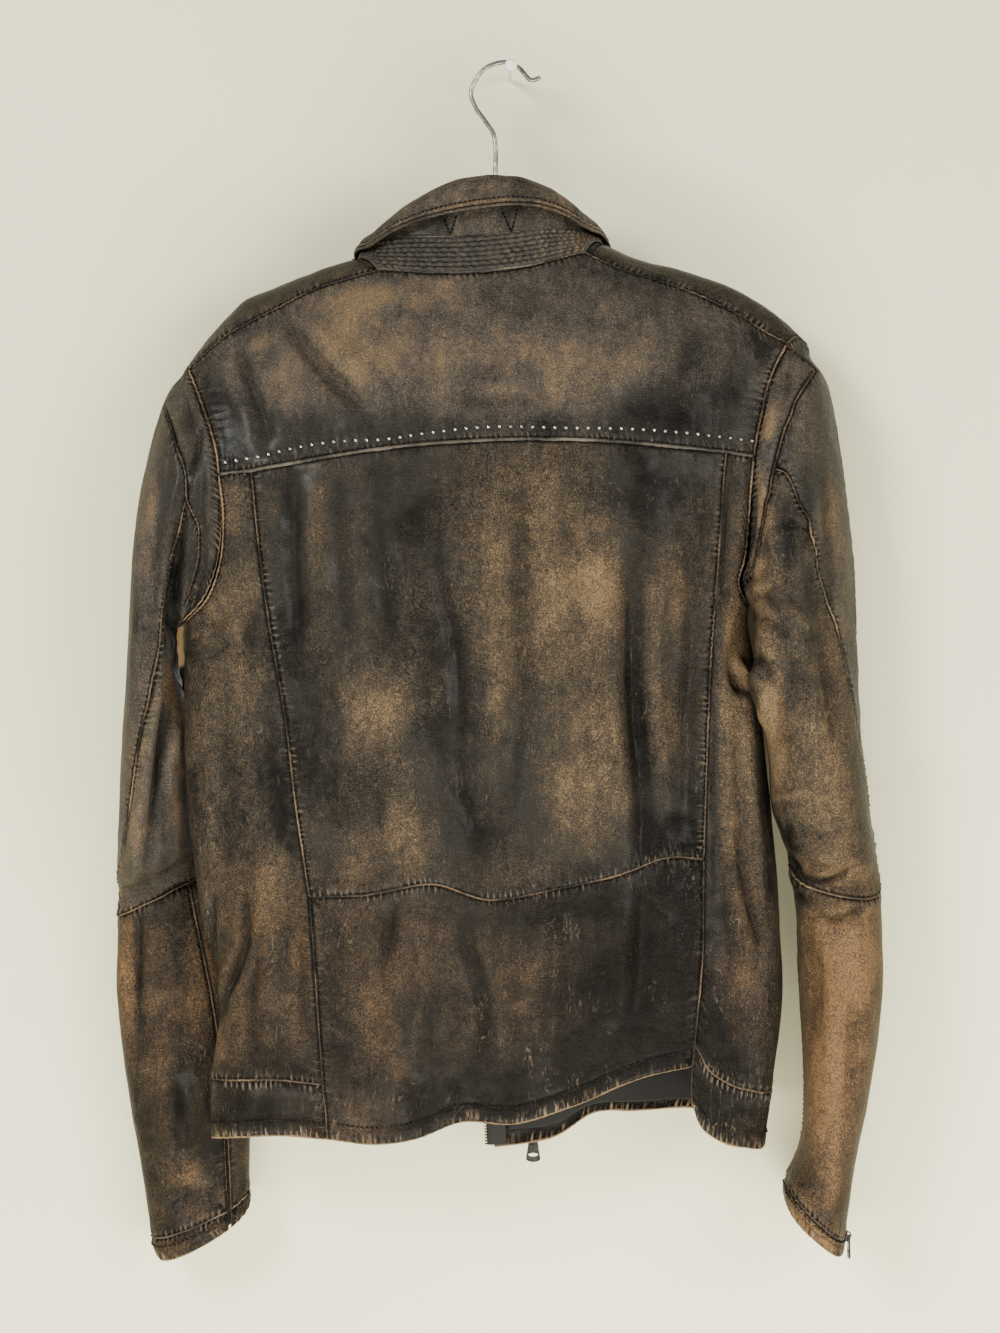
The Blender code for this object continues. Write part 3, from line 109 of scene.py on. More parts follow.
RIGHT_SLEEVE = table(
    RING,
    [
        (235, -235, 186, -415, -2, -14, -45, 0, -10, 34), (247.5, -292, 188, -433, 0, -16, -50, 0, -8, 40),
        (252.5, -330, 189.5, -448, 0, -20, -52, 0, -6, 42), (258, -375, 190.5, -462, 0, -26, -53, 0, -4, 43),
        (259.5, -425, 191, -478, 0, -28, -53, 4, -2, 44), (260, -470, 192, -500, 0, -8, -50, 0, 0, 45),
        (263, -512, 194.5, -530, 0, -4, -48, 0, 0, 45), (269, -560, 196, -555, 0, -4, -47, -6, 0, 45),
        (274, -590, 203, -574, 1, -2, -46, -12, 0, 45), (276, -605, 207, -586, 3, 0, -38, -10, 0, 44),
        (276.8, -616, 209.5, -602, 3, 0, -40, -12, 0, 44), (278, -645, 215, -633, 2, 0, -42, -6, 0, 44),
        (278.3, -685, 216.5, -678, 2, 0, -42, 0, 0, 44), (274.1, -733.5, 219, -730, 2, 0, -42, 0, 0, 43),
        (267, -774, 221, -770, 2, 0, -41, 0, 0, 42), (259.5, -813, 218.5, -805, 2, 0, -40, -3, 0, 41),
        (250, -874, 207, -834, 2, 0, -39, -10, 0, 40), (248.8, -887, 205, -849, 2, 0, -39, -10, 0, 40),
    ],
)
ELBOW, CUFF, CUFF_EDGE = 11, 17, 18  # the rings that carry a seam or end the sleeve

# The collar's three lines round the neck: the top of the quilted band, the fold, and
# the edge of the fall. TURN is 0 at the centre back, 90 over a shoulder, 180 in front.
COLLAR = table(
    "turn band_x band_y band_z fold_x fold_y fold_z edge_x edge_y edge_z",
    [
        (-180, -17, 31, -192, -24, 37, -170, -36, 46, -208),
        (-135, -75, 28, -166, -83, 36, -152, -96, 45, -183),
        (-90, -107, 8, -139, -106, 16, -133, -117, 12, -142),
        (-60, -96, -18, -135, -97.5, -10, -125.5, -105, -24, -139),
        (-35, -72, -31, -133.5, -75, -28, -109, -80, -40, -127),
        (-12, -40, -37, -134, -38, -38, -91.5, -42, -50, -117),
        (12, -2, -37, -131, 0, -38, -89.5, 2, -51, -112), (35, 24, -32, -127, 27, -30, -97, 30, -43, -115),
        (60, 44, -19, -127, 48, -13, -111, 54, -28, -125),
        (90, 62, 6, -131, 62.5, 13, -123, 71.5, 9, -131.5), (135, 60, 26, -165, 68, 34, -150, 80, 42, -180),
        (180, 21, 30, -190, 27, 36, -170, 40, 45, -208),
    ],
)

# Corners where seams meet, and the seams' points between them: x and z from the back.
NECK_L, NECK_R = (-0.0985, -0.1567), (0.0535, -0.1441)
TIP_L, TIP_R = (-0.2397, -0.23), (0.205, -0.211)
YOKE_ARM_L, YOKE_ARM_R = (-0.2147, -0.3098), (0.1793, -0.2955)
YOKE_L, YOKE_R = (-0.1907, -0.3075), (0.1588, -0.2925)
UNDERARM_L, UNDERARM_R = (-0.2401, -0.418), (0.1753, -0.404)
WAIST_L, WAIST_R = (-0.1478, -0.6197), (0.1422, -0.5935)
BAND_L, BAND_R = (-0.1385, -0.7581), (0.1357, -0.7299)
HEM_L, HEM_R = (-0.135, -0.799), (0.134, -0.7466)
BAND_END_R = (0.1335, -0.7734)

NECK_BACK = [NECK_L, (-0.0554, -0.16), (-0.0304, -0.1596), (0.0146, -0.1544), NECK_R]
YOKE_SEAM = [YOKE_L, (-0.1262, -0.2961), (-0.0398, -0.2865), (0.046, -0.2847), YOKE_R]
WAIST_SEAM = [
    WAIST_L, (-0.1055, -0.6182), (-0.056, -0.6105), (-0.02, -0.6215), (0.0312, -0.6145), (0.0905, -0.6006),
    (0.115, -0.5915), WAIST_R,
]
BACK_HEM = [
    HEM_L, (-0.1, -0.803), (-0.07, -0.799), (-0.0369, -0.7862), (0.002, -0.788), (0.0453, -0.7752),
    (0.1004, -0.7532), HEM_R,
]
# The seams and edges of each side of the body, on the back and then on round to the zip.
SIDE_LINES = {
    "left": dict(
        sign=-1, ridge_x=-0.1125, tip=TIP_L, stub=[YOKE_ARM_L, YOKE_L], inner=[HEM_L, BAND_L],
        lower=[WAIST_L, (-0.1434, -0.6837), BAND_L],
        shoulder=[NECK_L, (-0.1459, -0.1716), (-0.1809, -0.188), (-0.2107, -0.2051), TIP_L],
        upper=[TIP_L, (-0.2291, -0.2558), (-0.2172, -0.2927), YOKE_ARM_L],
        arm=[YOKE_ARM_L, (-0.2113, -0.3473), (-0.215, -0.38), (-0.2246, -0.4027), UNDERARM_L],
        back=[
            YOKE_L, (-0.1878, -0.3379), (-0.1775, -0.4185), (-0.1665, -0.4808), (-0.157, -0.5592),
            WAIST_L,
        ],
        arm_front=[(-0.22, -0.275), (-0.206, -0.32), (-0.206, -0.365), (-0.219, -0.4)],
        top_back=[BAND_L, (-0.1667, -0.7556), (-0.2, -0.756)],
        low_back=[HEM_L, (-0.1652, -0.7971), (-0.2, -0.799)],
        top_front=[(-0.205, -0.756), (-0.135, -0.748), (-0.045, -0.74), (0.0072, -0.76)],
        low_front=[(-0.205, -0.799), (-0.135, -0.79), (-0.045, -0.783), (0.0072, -0.8035)],
        edge=[(-0.015, -0.206), (-0.005, -0.45), (0.0072, -0.76)],
        neck=[(-0.108, -0.16), (-0.085, -0.183), (-0.05, -0.2), (-0.015, -0.206)],
    ),
    "right": dict(
        sign=1, ridge_x=0.0665, tip=TIP_R, stub=[YOKE_ARM_R, YOKE_R], inner=[BAND_END_R, HEM_R, BAND_R],
        lower=[WAIST_R, (0.1412, -0.6661), BAND_R],
        shoulder=[NECK_R, (0.0825, -0.1556), (0.1175, -0.1664), (0.1525, -0.1813), TIP_R],
        upper=[TIP_R, (0.1926, -0.2358), (0.184, -0.27), YOKE_ARM_R],
        arm=[YOKE_ARM_R, (0.1766, -0.332), (0.1735, -0.37), (0.169, -0.391), UNDERARM_R],
        back=[YOKE_R, (0.154, -0.36), (0.148, -0.4485), (0.144, -0.53), WAIST_R],
        arm_front=[(0.195, -0.25), (0.176, -0.3), (0.166, -0.35), (0.167, -0.383)],
        top_back=[BAND_R, (0.1461, -0.7491), (0.1623, -0.7605), (0.18, -0.766)],
        low_back=[BAND_END_R, (0.1402, -0.7912), (0.153, -0.802), (0.175, -0.8085)],
        top_front=[(0.18, -0.76), (0.136, -0.743), (0.08, -0.744), (0.0326, -0.762), (-0.0145, -0.77)],
        low_front=[
            (0.178, -0.802), (0.136, -0.785), (0.0946, -0.788), (0.062, -0.79), (0.033, -0.808),
            (0.0131, -0.8125), (-0.0125, -0.8155),
        ],
        edge=[(0.021, -0.204), (0.003, -0.45), (-0.0145, -0.77)],
        neck=[(0.069, -0.15), (0.06, -0.178), (0.043, -0.196), (0.021, -0.204)],
    ),
}
OVERLAP = 0.007  # how far the left front lies behind the right one where they cross
LAP_STARTS, LAP_WIDTH = -0.06, 0.04  # the x where it starts to step back, and its run
LAP_TOP, LAP_RISE = -0.2, 0.2  # the height where it starts, and its run down

# Seams of the sleeves that show from the back, x and z, armhole downwards.
GUSSET_L = [(-0.2585, -0.256), (-0.248, -0.285), (-0.24, -0.312), (-0.2388, -0.329)]
GUSSET_LOW_L = [(-0.2388, -0.329), (-0.23, -0.348), (-0.23, -0.365), (-0.2347, -0.3856), (-0.2385, -0.4)]
SLEEVE_BACK_L = [
    (-0.2388, -0.329), (-0.2502, -0.3686), (-0.2624, -0.4448), (-0.2754, -0.5136), (-0.2842, -0.5728),
]
GUSSET_R = [(0.227, -0.23), (0.2115, -0.2547), (0.1989, -0.285), (0.194, -0.307)]
GUSSET_LOW_R = [(0.194, -0.307), (0.1882, -0.3353), (0.1834, -0.3619), (0.179, -0.385)]
SLEEVE_BACK_R = [
    (0.194, -0.307), (0.2115, -0.3264), (0.221, -0.35), (0.2256, -0.376), (0.2441, -0.43),
    (0.2544, -0.4855),
]

# The strip of lining that shows inside the right front, above the hem band.
LINING_LOW = [
    (-0.002, -0.802), (0.0326, -0.798), (0.062, -0.783), (0.0946, -0.781), (0.14, -0.779), (0.176, -0.79),
]
LINING_HIGH = [(-0.002, -0.66), (0.09, -0.65), (0.18, -0.66)]

TAPE_SHOWN = 0.0055  # of a zip's tape past the leather's edge
TAPE_UNDER = 0.009  # and under it
TAPE_GAP = 0.0008  # the room between a tape or the lining and the leather over it
VENT = 15  # the ring where a cuff's zip begins
VENT_GAP = 2.2  # degrees between the leather's edges and the middle of a cuff's zip

BAND_RISE = 0.0011  # the band's foot above the neck seam
STAND_GAP = 0.0014  # from the band's top to the collar's stand
FOLD_OUT = (0.0015, 0.004, 0.003)  # how far the fall swells out at and below its fold
FOLD_AT = (0.5, 0.88, 0.12, 0.5)  # where the collar's rows lie, up the stand and down the fall

WIRE = 0.0036  # steel of the hook
# From the bar up the stem, round the crown and out to the turned tip.
HOOK = [
    (-0.0118, -0.145), (-0.0116, -0.0825), (-0.012, -0.0577), (-0.0128, -0.0525), (-0.0188, -0.0427),
    (-0.027, -0.0307), (-0.03, -0.0213), (-0.027, -0.012), (-0.021, -0.0037), (-0.012, 0.0012),
    (-0.002, 0.0021), (0.006, -0.002), (0.0158, -0.0112), (0.0225, -0.009),
]


def smooth(x, at, values):
    """The curve through (at, values), read at x: a cubic between each two rows."""
    at, values = np.asarray(at, float), np.asarray(values, float)
    slopes = np.gradient(values, at, axis=0)
    x = np.clip(x, at[0], at[-1])
    k = np.clip(np.searchsorted(at, x, side="right") - 1, 0, len(at) - 2)
    span = at[k + 1] - at[k]
    t = (x - at[k]) / span
    if values.ndim > 1:
        t, span = t[..., None], span[..., None]
    a, b = values[k], values[k + 1]
    rise_a, rise_b = slopes[k] * span, slopes[k + 1] * span
    square, cube = t**2, t**3
    start = 2 * cube - 3 * square + 1
    return start * a + (cube - 2 * square + t) * rise_a + (1 - start) * b + (cube - square) * rise_b


def run_of(points):
    """How far along the line through the points each of them is."""
    steps = np.linalg.norm(np.diff(points, axis=0), axis=1)
    return np.concatenate([[0], np.cumsum(steps)])


def along(points, count):
    """count + 1 points spread evenly along the smooth line through the given ones."""
    points = np.asarray(points, float)
    at = run_of(points)
    fine = smooth(np.linspace(0, at[-1], 400), at, points)
    run = run_of(fine)
    return np.stack(
        [np.interp(np.linspace(0, run[-1], count + 1), run, column) for column in fine.T], axis=1
    )


def power(x, exponent):
    """x to the exponent, with its sign kept."""
    return np.sign(x) * np.abs(x) ** exponent


def torso(theta, height):
    """Points of the torso: THETA in degrees, 0 at the centre back and 90 at the right side.

    Below CHEST the height is z. Above it the height is an angle that ends at the ridge,
    and past the ridge the point is on the other side of the shoulder.
    """
    theta, height = np.broadcast_arrays(np.radians(theta), np.asarray(height, float))
    level = RIDGE - np.abs(height - RIDGE)
    row = {name: smooth(level, TORSO["height"], TORSO[name]) for name in TORSO}
    across = power(np.sin(theta), 2 / SIDE_POWER)
    x = (row["left"] + row["right"]) / 2 + (row["right"] - row["left"]) / 2 * across
    climb = np.radians(90) * np.clip((RIDGE - height) / TOP, -1, 1)
    depth = power(np.sin(climb), 2 / TOP_POWER)
    top = smooth(x, SHOULDER["x"], SHOULDER["z"])
    z = np.where(level > CHEST, CHEST + (top - CHEST) * power(np.cos(climb), 2 / TOP_POWER), level)
    middle = row["left_y"] + (row["right_y"] - row["left_y"]) * (across + 1) / 2
    behind = (np.cos(theta) > 0) ^ (depth < 0)
    off = np.abs(depth) * np.abs(np.cos(theta)) ** (2 / SIDE_POWER)
    y = middle + off * np.where(behind, -row["back"], row["front"])
    left_front = (theta < 0) & (np.cos(theta) < 0) | (theta < -math.pi)
    lap = np.clip((x - LAP_STARTS) / LAP_WIDTH, 0, 1)
    below = np.clip((LAP_TOP - height) / LAP_RISE, 0, 1)
    y = y + np.where(left_front, OVERLAP * lap**2 * (3 - 2 * lap) * below, 0)
    return np.stack([x, y, z], axis=-1)


def locate(points, front=0):
    """THETA and height of points given by x and z, on the back, or on the left (-1) or
    right (+1) front, which may reach past the centre."""
    x, z = np.asarray(points, float).T
    rise = np.clip((z - CHEST) / (smooth(x, SHOULDER["x"], SHOULDER["z"]) - CHEST), 0, 1)
    climb = np.arccos(rise ** (TOP_POWER / 2))
    height = np.where(z > CHEST, RIDGE - TOP * climb / np.radians(90), z)
    left, right = (smooth(height, TORSO["height"], TORSO[name]) for name in ("left", "right"))
    across = np.clip((2 * x - left - right) / (right - left), -1, 1)
    theta = np.degrees(np.arcsin(power(across, SIDE_POWER / 2)))
    if front:
        theta = front * 180 - theta
    return np.stack([theta, height], axis=1)


def over_the_top(points):
    """Back points near the ridge, as the front panel that comes over the shoulder counts them."""
    theta, height = locate(points).T
    return np.stack([np.where(theta > 0, 180 - theta, -180 - theta), 2 * RIDGE - height], axis=1)


def make_sleeve(rings, armhole):
    """The sleeve's surface, a function of TURN (degrees, 0 outermost, 90 at the back, 180
    innermost) and of the ring's number. armhole gives ring 0 for a turn."""
    side = np.sign(rings["out_x"][0])
    outer, inner = (
        np.stack([rings[k + "_x"], rings["y"], rings[k + "_z"]], axis=1) for k in ("out", "in")
    )
    back = np.stack([rings["back_x"], rings["back_y"], rings["back_z"]], axis=1)
    front = np.stack([rings["front_x"], rings["front_y"], 0 * rings["y"]], axis=1)

    def surface(turn, ring):
        turn, ring = np.broadcast_arrays(np.asarray(turn, float), np.asarray(ring, float))
        shape, turn, ring = turn.shape, turn.ravel(), ring.ravel()
        angle = np.radians(turn)[:, None, None]
        out = power(np.cos(angle), 2 / SIDE_POWER)
        off = np.abs(np.sin(angle)) ** (2 / SIDE_POWER)
        loops = (outer + inner) / 2 + (outer - inner) / 2 * out
        loops = loops + off * np.where(np.sin(angle) >= 0, back, front)
        start = armhole(turn)
        low = (1 - np.cos(np.radians(turn))) / 2
        start[:, 0] += side * (HOLE_GAP + UNDER_GAP * low**3)
        loops = np.concatenate([start[:, None], loops], axis=1)
        at = np.arange(loops.shape[1], dtype=float)
        slopes = np.gradient(loops, at, axis=1)
        k = np.clip(ring.astype(int), 0, len(at) - 2)
        t = (ring - k)[:, None]
        row = np.arange(len(k))
        a, b, rise_a, rise_b = loops[row, k], loops[row, k + 1], slopes[row, k], slopes[row, k + 1]
        start = 2 * t**3 - 3 * t**2 + 1
        found = start * a + (t**3 - 2 * t**2 + t) * rise_a + (1 - start) * b + (t**3 - t**2) * rise_b
        return found.reshape(shape + (3,))

    return surface


def locate_on_sleeve(surface, points):
    """TURN and ring of points given by x and z, on the side of the sleeve shown."""
    turn, ring = np.meshgrid(np.linspace(-4, 184, 189), np.linspace(0, CUFF_EDGE, 361))
    seen = surface(turn, ring)
    found = []
    for x, z in points:
        near = np.argmin((seen[..., 0] - x) ** 2 + (seen[..., 2] - z) ** 2)
        found.append((turn.flat[near], ring.flat[near]))
    return np.array(found)


# ---- cut pieces as grids ---------------------------------------------------------------


def waves(points, size, seed, count=12):
    """Soft unevenness, about -1 to 1: a sum of sines that run in seeded directions, each
    about size from crest to crest. size is one length, or one for each axis."""
    random = np.random.default_rng(seed)
    ways = random.normal(size=(count, 3))
    ways /= np.linalg.norm(ways, axis=1, keepdims=True)
    ways *= 2 * math.pi / random.uniform(0.7, 1.5, (count, 1))
    turn = random.uniform(0, 2 * math.pi, count)
    return np.sin((points / size) @ ways.T + turn).sum(axis=-1) * math.sqrt(0.5 / count)


def step(x, low, high):
    """0 below low, 1 above high, and smooth between them."""
    t = np.clip((x - low) / (high - low), 0, 1)
    return t * t * (3 - 2 * t)


def graded(length, spacing, fine=0.0011, reach=0.007):
    """Places from 0 to 1 along a length, fine near both ends and spacing apart between."""
    s = np.linspace(0, length, 2000)
    near = np.minimum(s, length - s)
    size = fine + (spacing - fine) * np.clip(near / reach, 0, 1)
    count = np.concatenate([[0], np.cumsum(np.diff(s) / ((size[1:] + size[:-1]) / 2))])
    rows = max(4, round(count[-1]))
    return np.interp(np.linspace(0, count[-1], rows + 1), count, s) / length


def even(line, at, scale):
    """The line read at fractions of its own length, which scale measures."""
    run = run_of(line / scale)
    return np.stack([np.interp(at * run[-1], run, column) for column in line.T], axis=1)


def lengths(points, axis):
    """How far along its own row or column each point of a grid is, and the whole of each."""
    run = np.cumsum(np.linalg.norm(np.diff(points, axis=axis), axis=2), axis=axis)
    first = np.zeros_like(run.take([0], axis=axis))
    run = np.concatenate([first, run], axis=axis)
    return run, run.take([-1], axis=axis)


SIDES = ("low", "high", "first", "last")


class Panel:
    """A cut piece as a grid on its surface, between four border lines.

    A point is (1 - v) low(u) + v high(u) + (1 - u) first(v) + u last(v), less the same
    blend of the four corners, all in the surface's own two parameters.
    """

    def __init__(self, name, surface, cell, sign, low, high, first, last, spacing, bend=None):
        self.name = name
        borders = [np.asarray(side, float) for side in (low, high, first, last)]
        wide, tall = (
            np.mean([run_of(surface(*side.T))[-1] for side in pair])
            for pair in (borders[:2], borders[2:])
        )
        middle = [even(side, np.array([0.5]), cell) for side in borders]
        south, north, west, east = (surface(*at.T)[0] for at in middle)
        wide = max(wide, np.linalg.norm(east - west))
        tall = max(tall, np.linalg.norm(north - south))
        u, v = graded(wide, spacing), graded(tall, spacing)
        places = dict(zip(SIDES, (u, u, v, v)))
        if bend is not None:
            places[bend[0]] = np.interp(v, *bend[1:])
        low, high, first, last = (
            even(side, places[key], cell) for side, key in zip(borders, SIDES)
        )
        u, v = u[None, :, None], v[:, None, None]
        corners = (1 - v) * ((1 - u) * low[0] + u * low[-1]) + v * ((1 - u) * high[0] + u * high[-1])
        sides = (1 - u) * first[:, None] + u * last[:, None]
        self.at = (1 - v) * low[None] + v * high[None] + sides - corners
        self.base = surface(self.at[..., 0], self.at[..., 1])
        self.out = ways_out(surface, self.at, cell, sign)
        across, whole = lengths(self.base, 1)
        up, height = lengths(self.base, 0)
        self.gap = {"first": across, "last": whole - across, "low": up, "high": height - up}
        self.run = {"first": up, "last": up, "low": across, "high": across}
        self.flat = (float(whole.max()), float(height.max()))
        self.area = float(areas(self.base).sum())
        self.points = self.base.copy()

    def line(self, side, inset=0.0, lift=0.0):
        """Points and ways out along a side, inset from it and lifted off the leather."""
        points, out, gap = self.points, self.out, self.gap[side]
        if side in ("low", "high"):
            points, out, gap = points.swapaxes(0, 1), out.swapaxes(0, 1), gap.T
        if side in ("high", "last"):
            points, out, gap = points[:, ::-1], out[:, ::-1], gap[:, ::-1]
        row = np.arange(len(gap))
        k = np.clip((gap < max(inset, 1e-9)).sum(axis=1), 1, gap.shape[1] - 1)
        t = (inset - gap[row, k - 1]) / np.maximum(gap[row, k] - gap[row, k - 1], 1e-9)
        t = t[:, None]
        where = points[row, k - 1] * (1 - t) + points[row, k] * t
        way = out[row, k - 1] * (1 - t) + out[row, k] * t
        way /= np.linalg.norm(way, axis=1, keepdims=True)
        return where + way * (LEATHER / 2 + lift), way


def ways_out(surface, at, cell, sign):
    """The surface's outward normals, from steps of a hundredth of a cell."""
    one, two = (np.array(cell) * d for d in ((0.01, 0), (0, 0.01)))
    across = surface(*np.moveaxis(at + one, -1, 0)) - surface(*np.moveaxis(at - one, -1, 0))
    up = surface(*np.moveaxis(at + two, -1, 0)) - surface(*np.moveaxis(at - two, -1, 0))
    out = np.cross(across, up) * sign
    return out / np.maximum(np.linalg.norm(out, axis=-1, keepdims=True), 1e-12)


def areas(points):
    """The area of each square of a grid, as half the product of its diagonals."""
    one = points[1:, 1:] - points[:-1, :-1]
    two = points[1:, :-1] - points[:-1, 1:]
    return np.linalg.norm(np.cross(one, two), axis=-1) / 2


def reach(x, z, path):
    """How far each x, z is from a path, and how far along it, from 0 to 1, the nearest place is."""
    path = along(np.reshape(path, (-1, 2)) / 1000, 24)
    best = np.full(x.shape, np.inf)
    where = np.zeros(x.shape)
    for i, (a, b) in enumerate(zip(path[:-1], path[1:])):
        run = b - a
        t = np.clip(((x - a[0]) * run[0] + (z - a[1]) * run[1]) / max(run @ run, 1e-12), 0, 1)
        far = np.hypot(x - a[0] - t * run[0], z - a[1] - t * run[1])
        nearer = far < best
        best = np.where(nearer, far, best)
        where = np.where(nearer, (i + t) / (len(path) - 1), where)
    return best, where


FOLD_DEPTH = 1.45


def folded(x, z, folds):
    """Listed creases: each sinks by its depth along its path, width across, with a
    rise on either side of it, and dies out towards its ends. A negative depth is a ridge."""
    total = np.zeros(x.shape)
    for wide, deep, *path in folds:
        far, t = reach(x, z, path)
        wide, deep = wide / 1000, deep / 1000
        fade = np.sin(math.pi * np.clip(t, 0.02, 0.98)) ** 0.6
        near = np.exp(-((far / wide) ** 2))
        flank = np.exp(-(((far - 1.9 * wide) / wide) ** 2))
        total += deep * fade * (0.32 * flank - near)
    return FOLD_DEPTH * total


def patched(x, z, patches):
    """Listed patches of wear, or of char and painted shade: each is strongest in its middle and soft at its
    rim.
    """
    total = np.zeros(x.shape)
    for at_x, at_z, wide, tall, amount, *tilt in patches:
        turn = math.radians(sum(tilt))
        dx, dz = x - at_x / 1000, z - at_z / 1000
        one = (dx * math.cos(turn) + dz * math.sin(turn)) / (wide / 1000)
        two = (dz * math.cos(turn) - dx * math.sin(turn)) / (tall / 1000)
        total += amount / 100 * np.exp(-((one**2 + two**2) ** 1.3))
    return total


def dip(gap, deep, wide):
    """A soft groove's depth at a gap from its middle."""
    return deep * np.exp(-((gap / wide) ** 2))


def seam_roll(gap):
    """A seamed edge: it dips into the seam, then swells over the turned allowance."""
    return -dip(gap, 0.0007, 0.0013) + dip(gap - 0.0055, 0.0005, 0.0035)


def hem_roll(gap, stitch=0.013):
    """A free edge: it turns in, stands thick up to its topstitch and is drawn down there."""
    thick = 0.0006 * (1 - step(gap, stitch - 0.002, stitch + 0.002))
    return thick - dip(gap, 0.0009, 0.0012) - dip(gap - stitch, 0.0006, 0.0013)


def puckers(run, gap, seed, size=0.0075, deep=0.00085, far=0.010):
    """Short gathers square to a seam: a wave along it whose size and pitch wander."""
    place = np.stack([run, 0.15 * gap, 0 * gap], axis=-1)
    sway = waves(place, 0.05, seed)
    swell = 0.6 + 0.5 * waves(place, 0.035, seed + 1)
    return deep * swell * np.sin(2 * math.pi * run / size + 2.2 * sway) * np.exp(-((gap / far) ** 1.5))


# How gathered the leather is along each kind of side.
GATHERED = {"seam": 1.0, "tight": 0.25, "hem": 0.7, "edge": 0.0}


def dress(panel, side_kinds, hold, group, seed, wrinkle=0.0006):
    """Gives a panel its folds, wrinkles, seam rolls and puckers, its wear, and its char with painted shade.
    A side not in side_kinds is a plain seam, and the folds die out towards the sides in hold."""
    x, y, z = np.moveaxis(panel.base, -1, 0)
    shown = step(-panel.out[..., 1], -0.25, 0.30)
    free = np.ones(x.shape)
    for side in hold.split():
        free *= step(panel.gap[side], 0.0, 0.014)
    shape, wear, char = (
        shown * work(x, z, looks[group + "_back"]) + (1 - shown) * work(x, z, looks[group + "_front"])
        for work, looks in ((folded, FOLDS), (patched, WEAR), (patched, CHAR_AND_SHADE))
    )
    soft = waves(panel.base, np.array([0.075, 0.09, 0.21]), 11) * 1.5
    soft = soft + 0.6 * waves(panel.base, np.array([0.030, 0.035, 0.070]), 12)
    fine = waves(panel.base, np.array([0.012, 0.014, 0.022]), 13)
    relief = shape + wrinkle * (soft + 0.30 * fine)
    # crease: how deep each point lies in a fold or how high on a ridge; the finishes paint shade into the
    # folds from it.
    panel.crease = np.clip(relief / 0.0034, -1, 1)
    relief = relief * free
    edge = np.full(x.shape, np.inf)
    run = np.zeros(x.shape)
    kind, gather = np.zeros(x.shape), np.zeros(x.shape)
    for number, side in enumerate(SIDES):
        what, gap, along_it = side_kinds.get(side, "seam"), panel.gap[side], panel.run[side]
        if what in ("seam", "tight"):
            drawn = 0.4 if what == "tight" else 1.0
            relief += seam_roll(gap) + drawn * puckers(along_it, gap, seed + number)
        elif what == "hem":
            relief += hem_roll(gap) + puckers(along_it, gap, seed + number, 0.0070, 0.00060, 0.011)
        elif what == "edge":
            relief += -dip(gap, 0.0008, 0.0014)
        nearer = gap < edge
        edge = np.where(nearer, gap, edge)
        run = np.where(nearer, along_it + number * 1.7 + seed * 0.37, run)
        kind = np.where(nearer, 1.0 if what == "hem" else 0.0, kind)
        gather = np.where(nearer, GATHERED[what], gather)
    panel.points = panel.base + panel.out * relief[..., None]
    for side, here, next_in in (
        ("low", np.s_[0], np.s_[1]), ("high", np.s_[-1], np.s_[-2]),
        ("first", np.s_[:, 0], np.s_[:, 1]), ("last", np.s_[:, -1], np.s_[:, -2]),
    ):
        way = panel.points[next_in] - panel.points[here]
        size = np.linalg.norm(way, axis=-1, keepdims=True)
        panel.points[here] += way / np.maximum(size, 1e-6) * np.minimum(GAP / 2, size / 3)
    panel.look = {
        "wear": wear, "char": char, "crease": panel.crease,
        "edge": np.minimum(edge, 0.05), "run": run, "hem": kind, "gather": gather,
    }
    return panel


def grid_mesh(name, points):
    """A mesh through a grid of points, rows by columns."""
    number = np.arange(points[..., 0].size).reshape(points.shape[:2])
    faces = np.stack([number[:-1, :-1], number[:-1, 1:], number[1:, 1:], number[1:, :-1]], axis=-1)
    return mesh_of(name, points.reshape(-1, 3), faces.reshape(-1, 4))


def mesh_of(name, points, faces):
    """A mesh from arrays of points and of faces that all have the same number of corners."""
    mesh = bpy.data.meshes.new(name)
    mesh.vertices.add(len(points))
    mesh.vertices.foreach_set("co", np.asarray(points, np.float32).ravel())
    mesh.loops.add(faces.size)
    mesh.loops.foreach_set("vertex_index", faces.ravel().astype(np.int32))
    mesh.polygons.add(len(faces))
    mesh.polygons.foreach_set("loop_start", np.arange(len(faces), dtype=np.int32) * faces.shape[1])
    mesh.update(calc_edges=True)
    mesh.validate()
    mesh.shade_smooth()
    return mesh


def keep_value(mesh, name, values):
    """A value at each point of the mesh, for its material."""
    values = np.asarray(values, np.float32).ravel()
    mesh.attributes.new(name, "FLOAT", "POINT").data.foreach_set("value", values)


def piece_of(name, mesh, materials, body="coat", slot=None):
    for material in materials:
        mesh.materials.append(material)
    piece = bpy.data.objects.new(name, mesh)
    bpy.context.scene.collection.objects.link(piece)
    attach(piece, body)
    return piece


def thicken(piece, wall, inner=0):
    """Solidify gives the sheet its wall, half to each side; inner is the lining's material."""
    solidify = piece.modifiers.new("wall", "SOLIDIFY")
    solidify.thickness = wall
    solidify.offset = 0.0
    solidify.material_offset = inner


def sew(panel, material, slot, node=None, wall=LEATHER, lining=None, rests_on="hanger_bar"):
    """The panel as a piece of the coat that stands for its node."""
    rows = panel.points
    ahead = np.cross(rows[1:-1, 2:] - rows[1:-1, :-2], rows[2:, 1:-1] - rows[:-2, 1:-1])
    order = 1 if (ahead * panel.out[1:-1, 1:-1]).sum() >= 0 else -1
    mesh = grid_mesh(panel.name + "_grid", rows[:, ::order])
    for key, values in panel.look.items():
        keep_value(mesh, key, values[:, ::order])
    name = panel.name if node else panel.name + "_leather"
    piece = piece_of(name, mesh, [material, lining or material], slot=slot)
    thicken(piece, wall, 1)
    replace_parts(piece, node or panel.name)
    wide, tall = panel.flat
    area = min(panel.area, wide * tall)
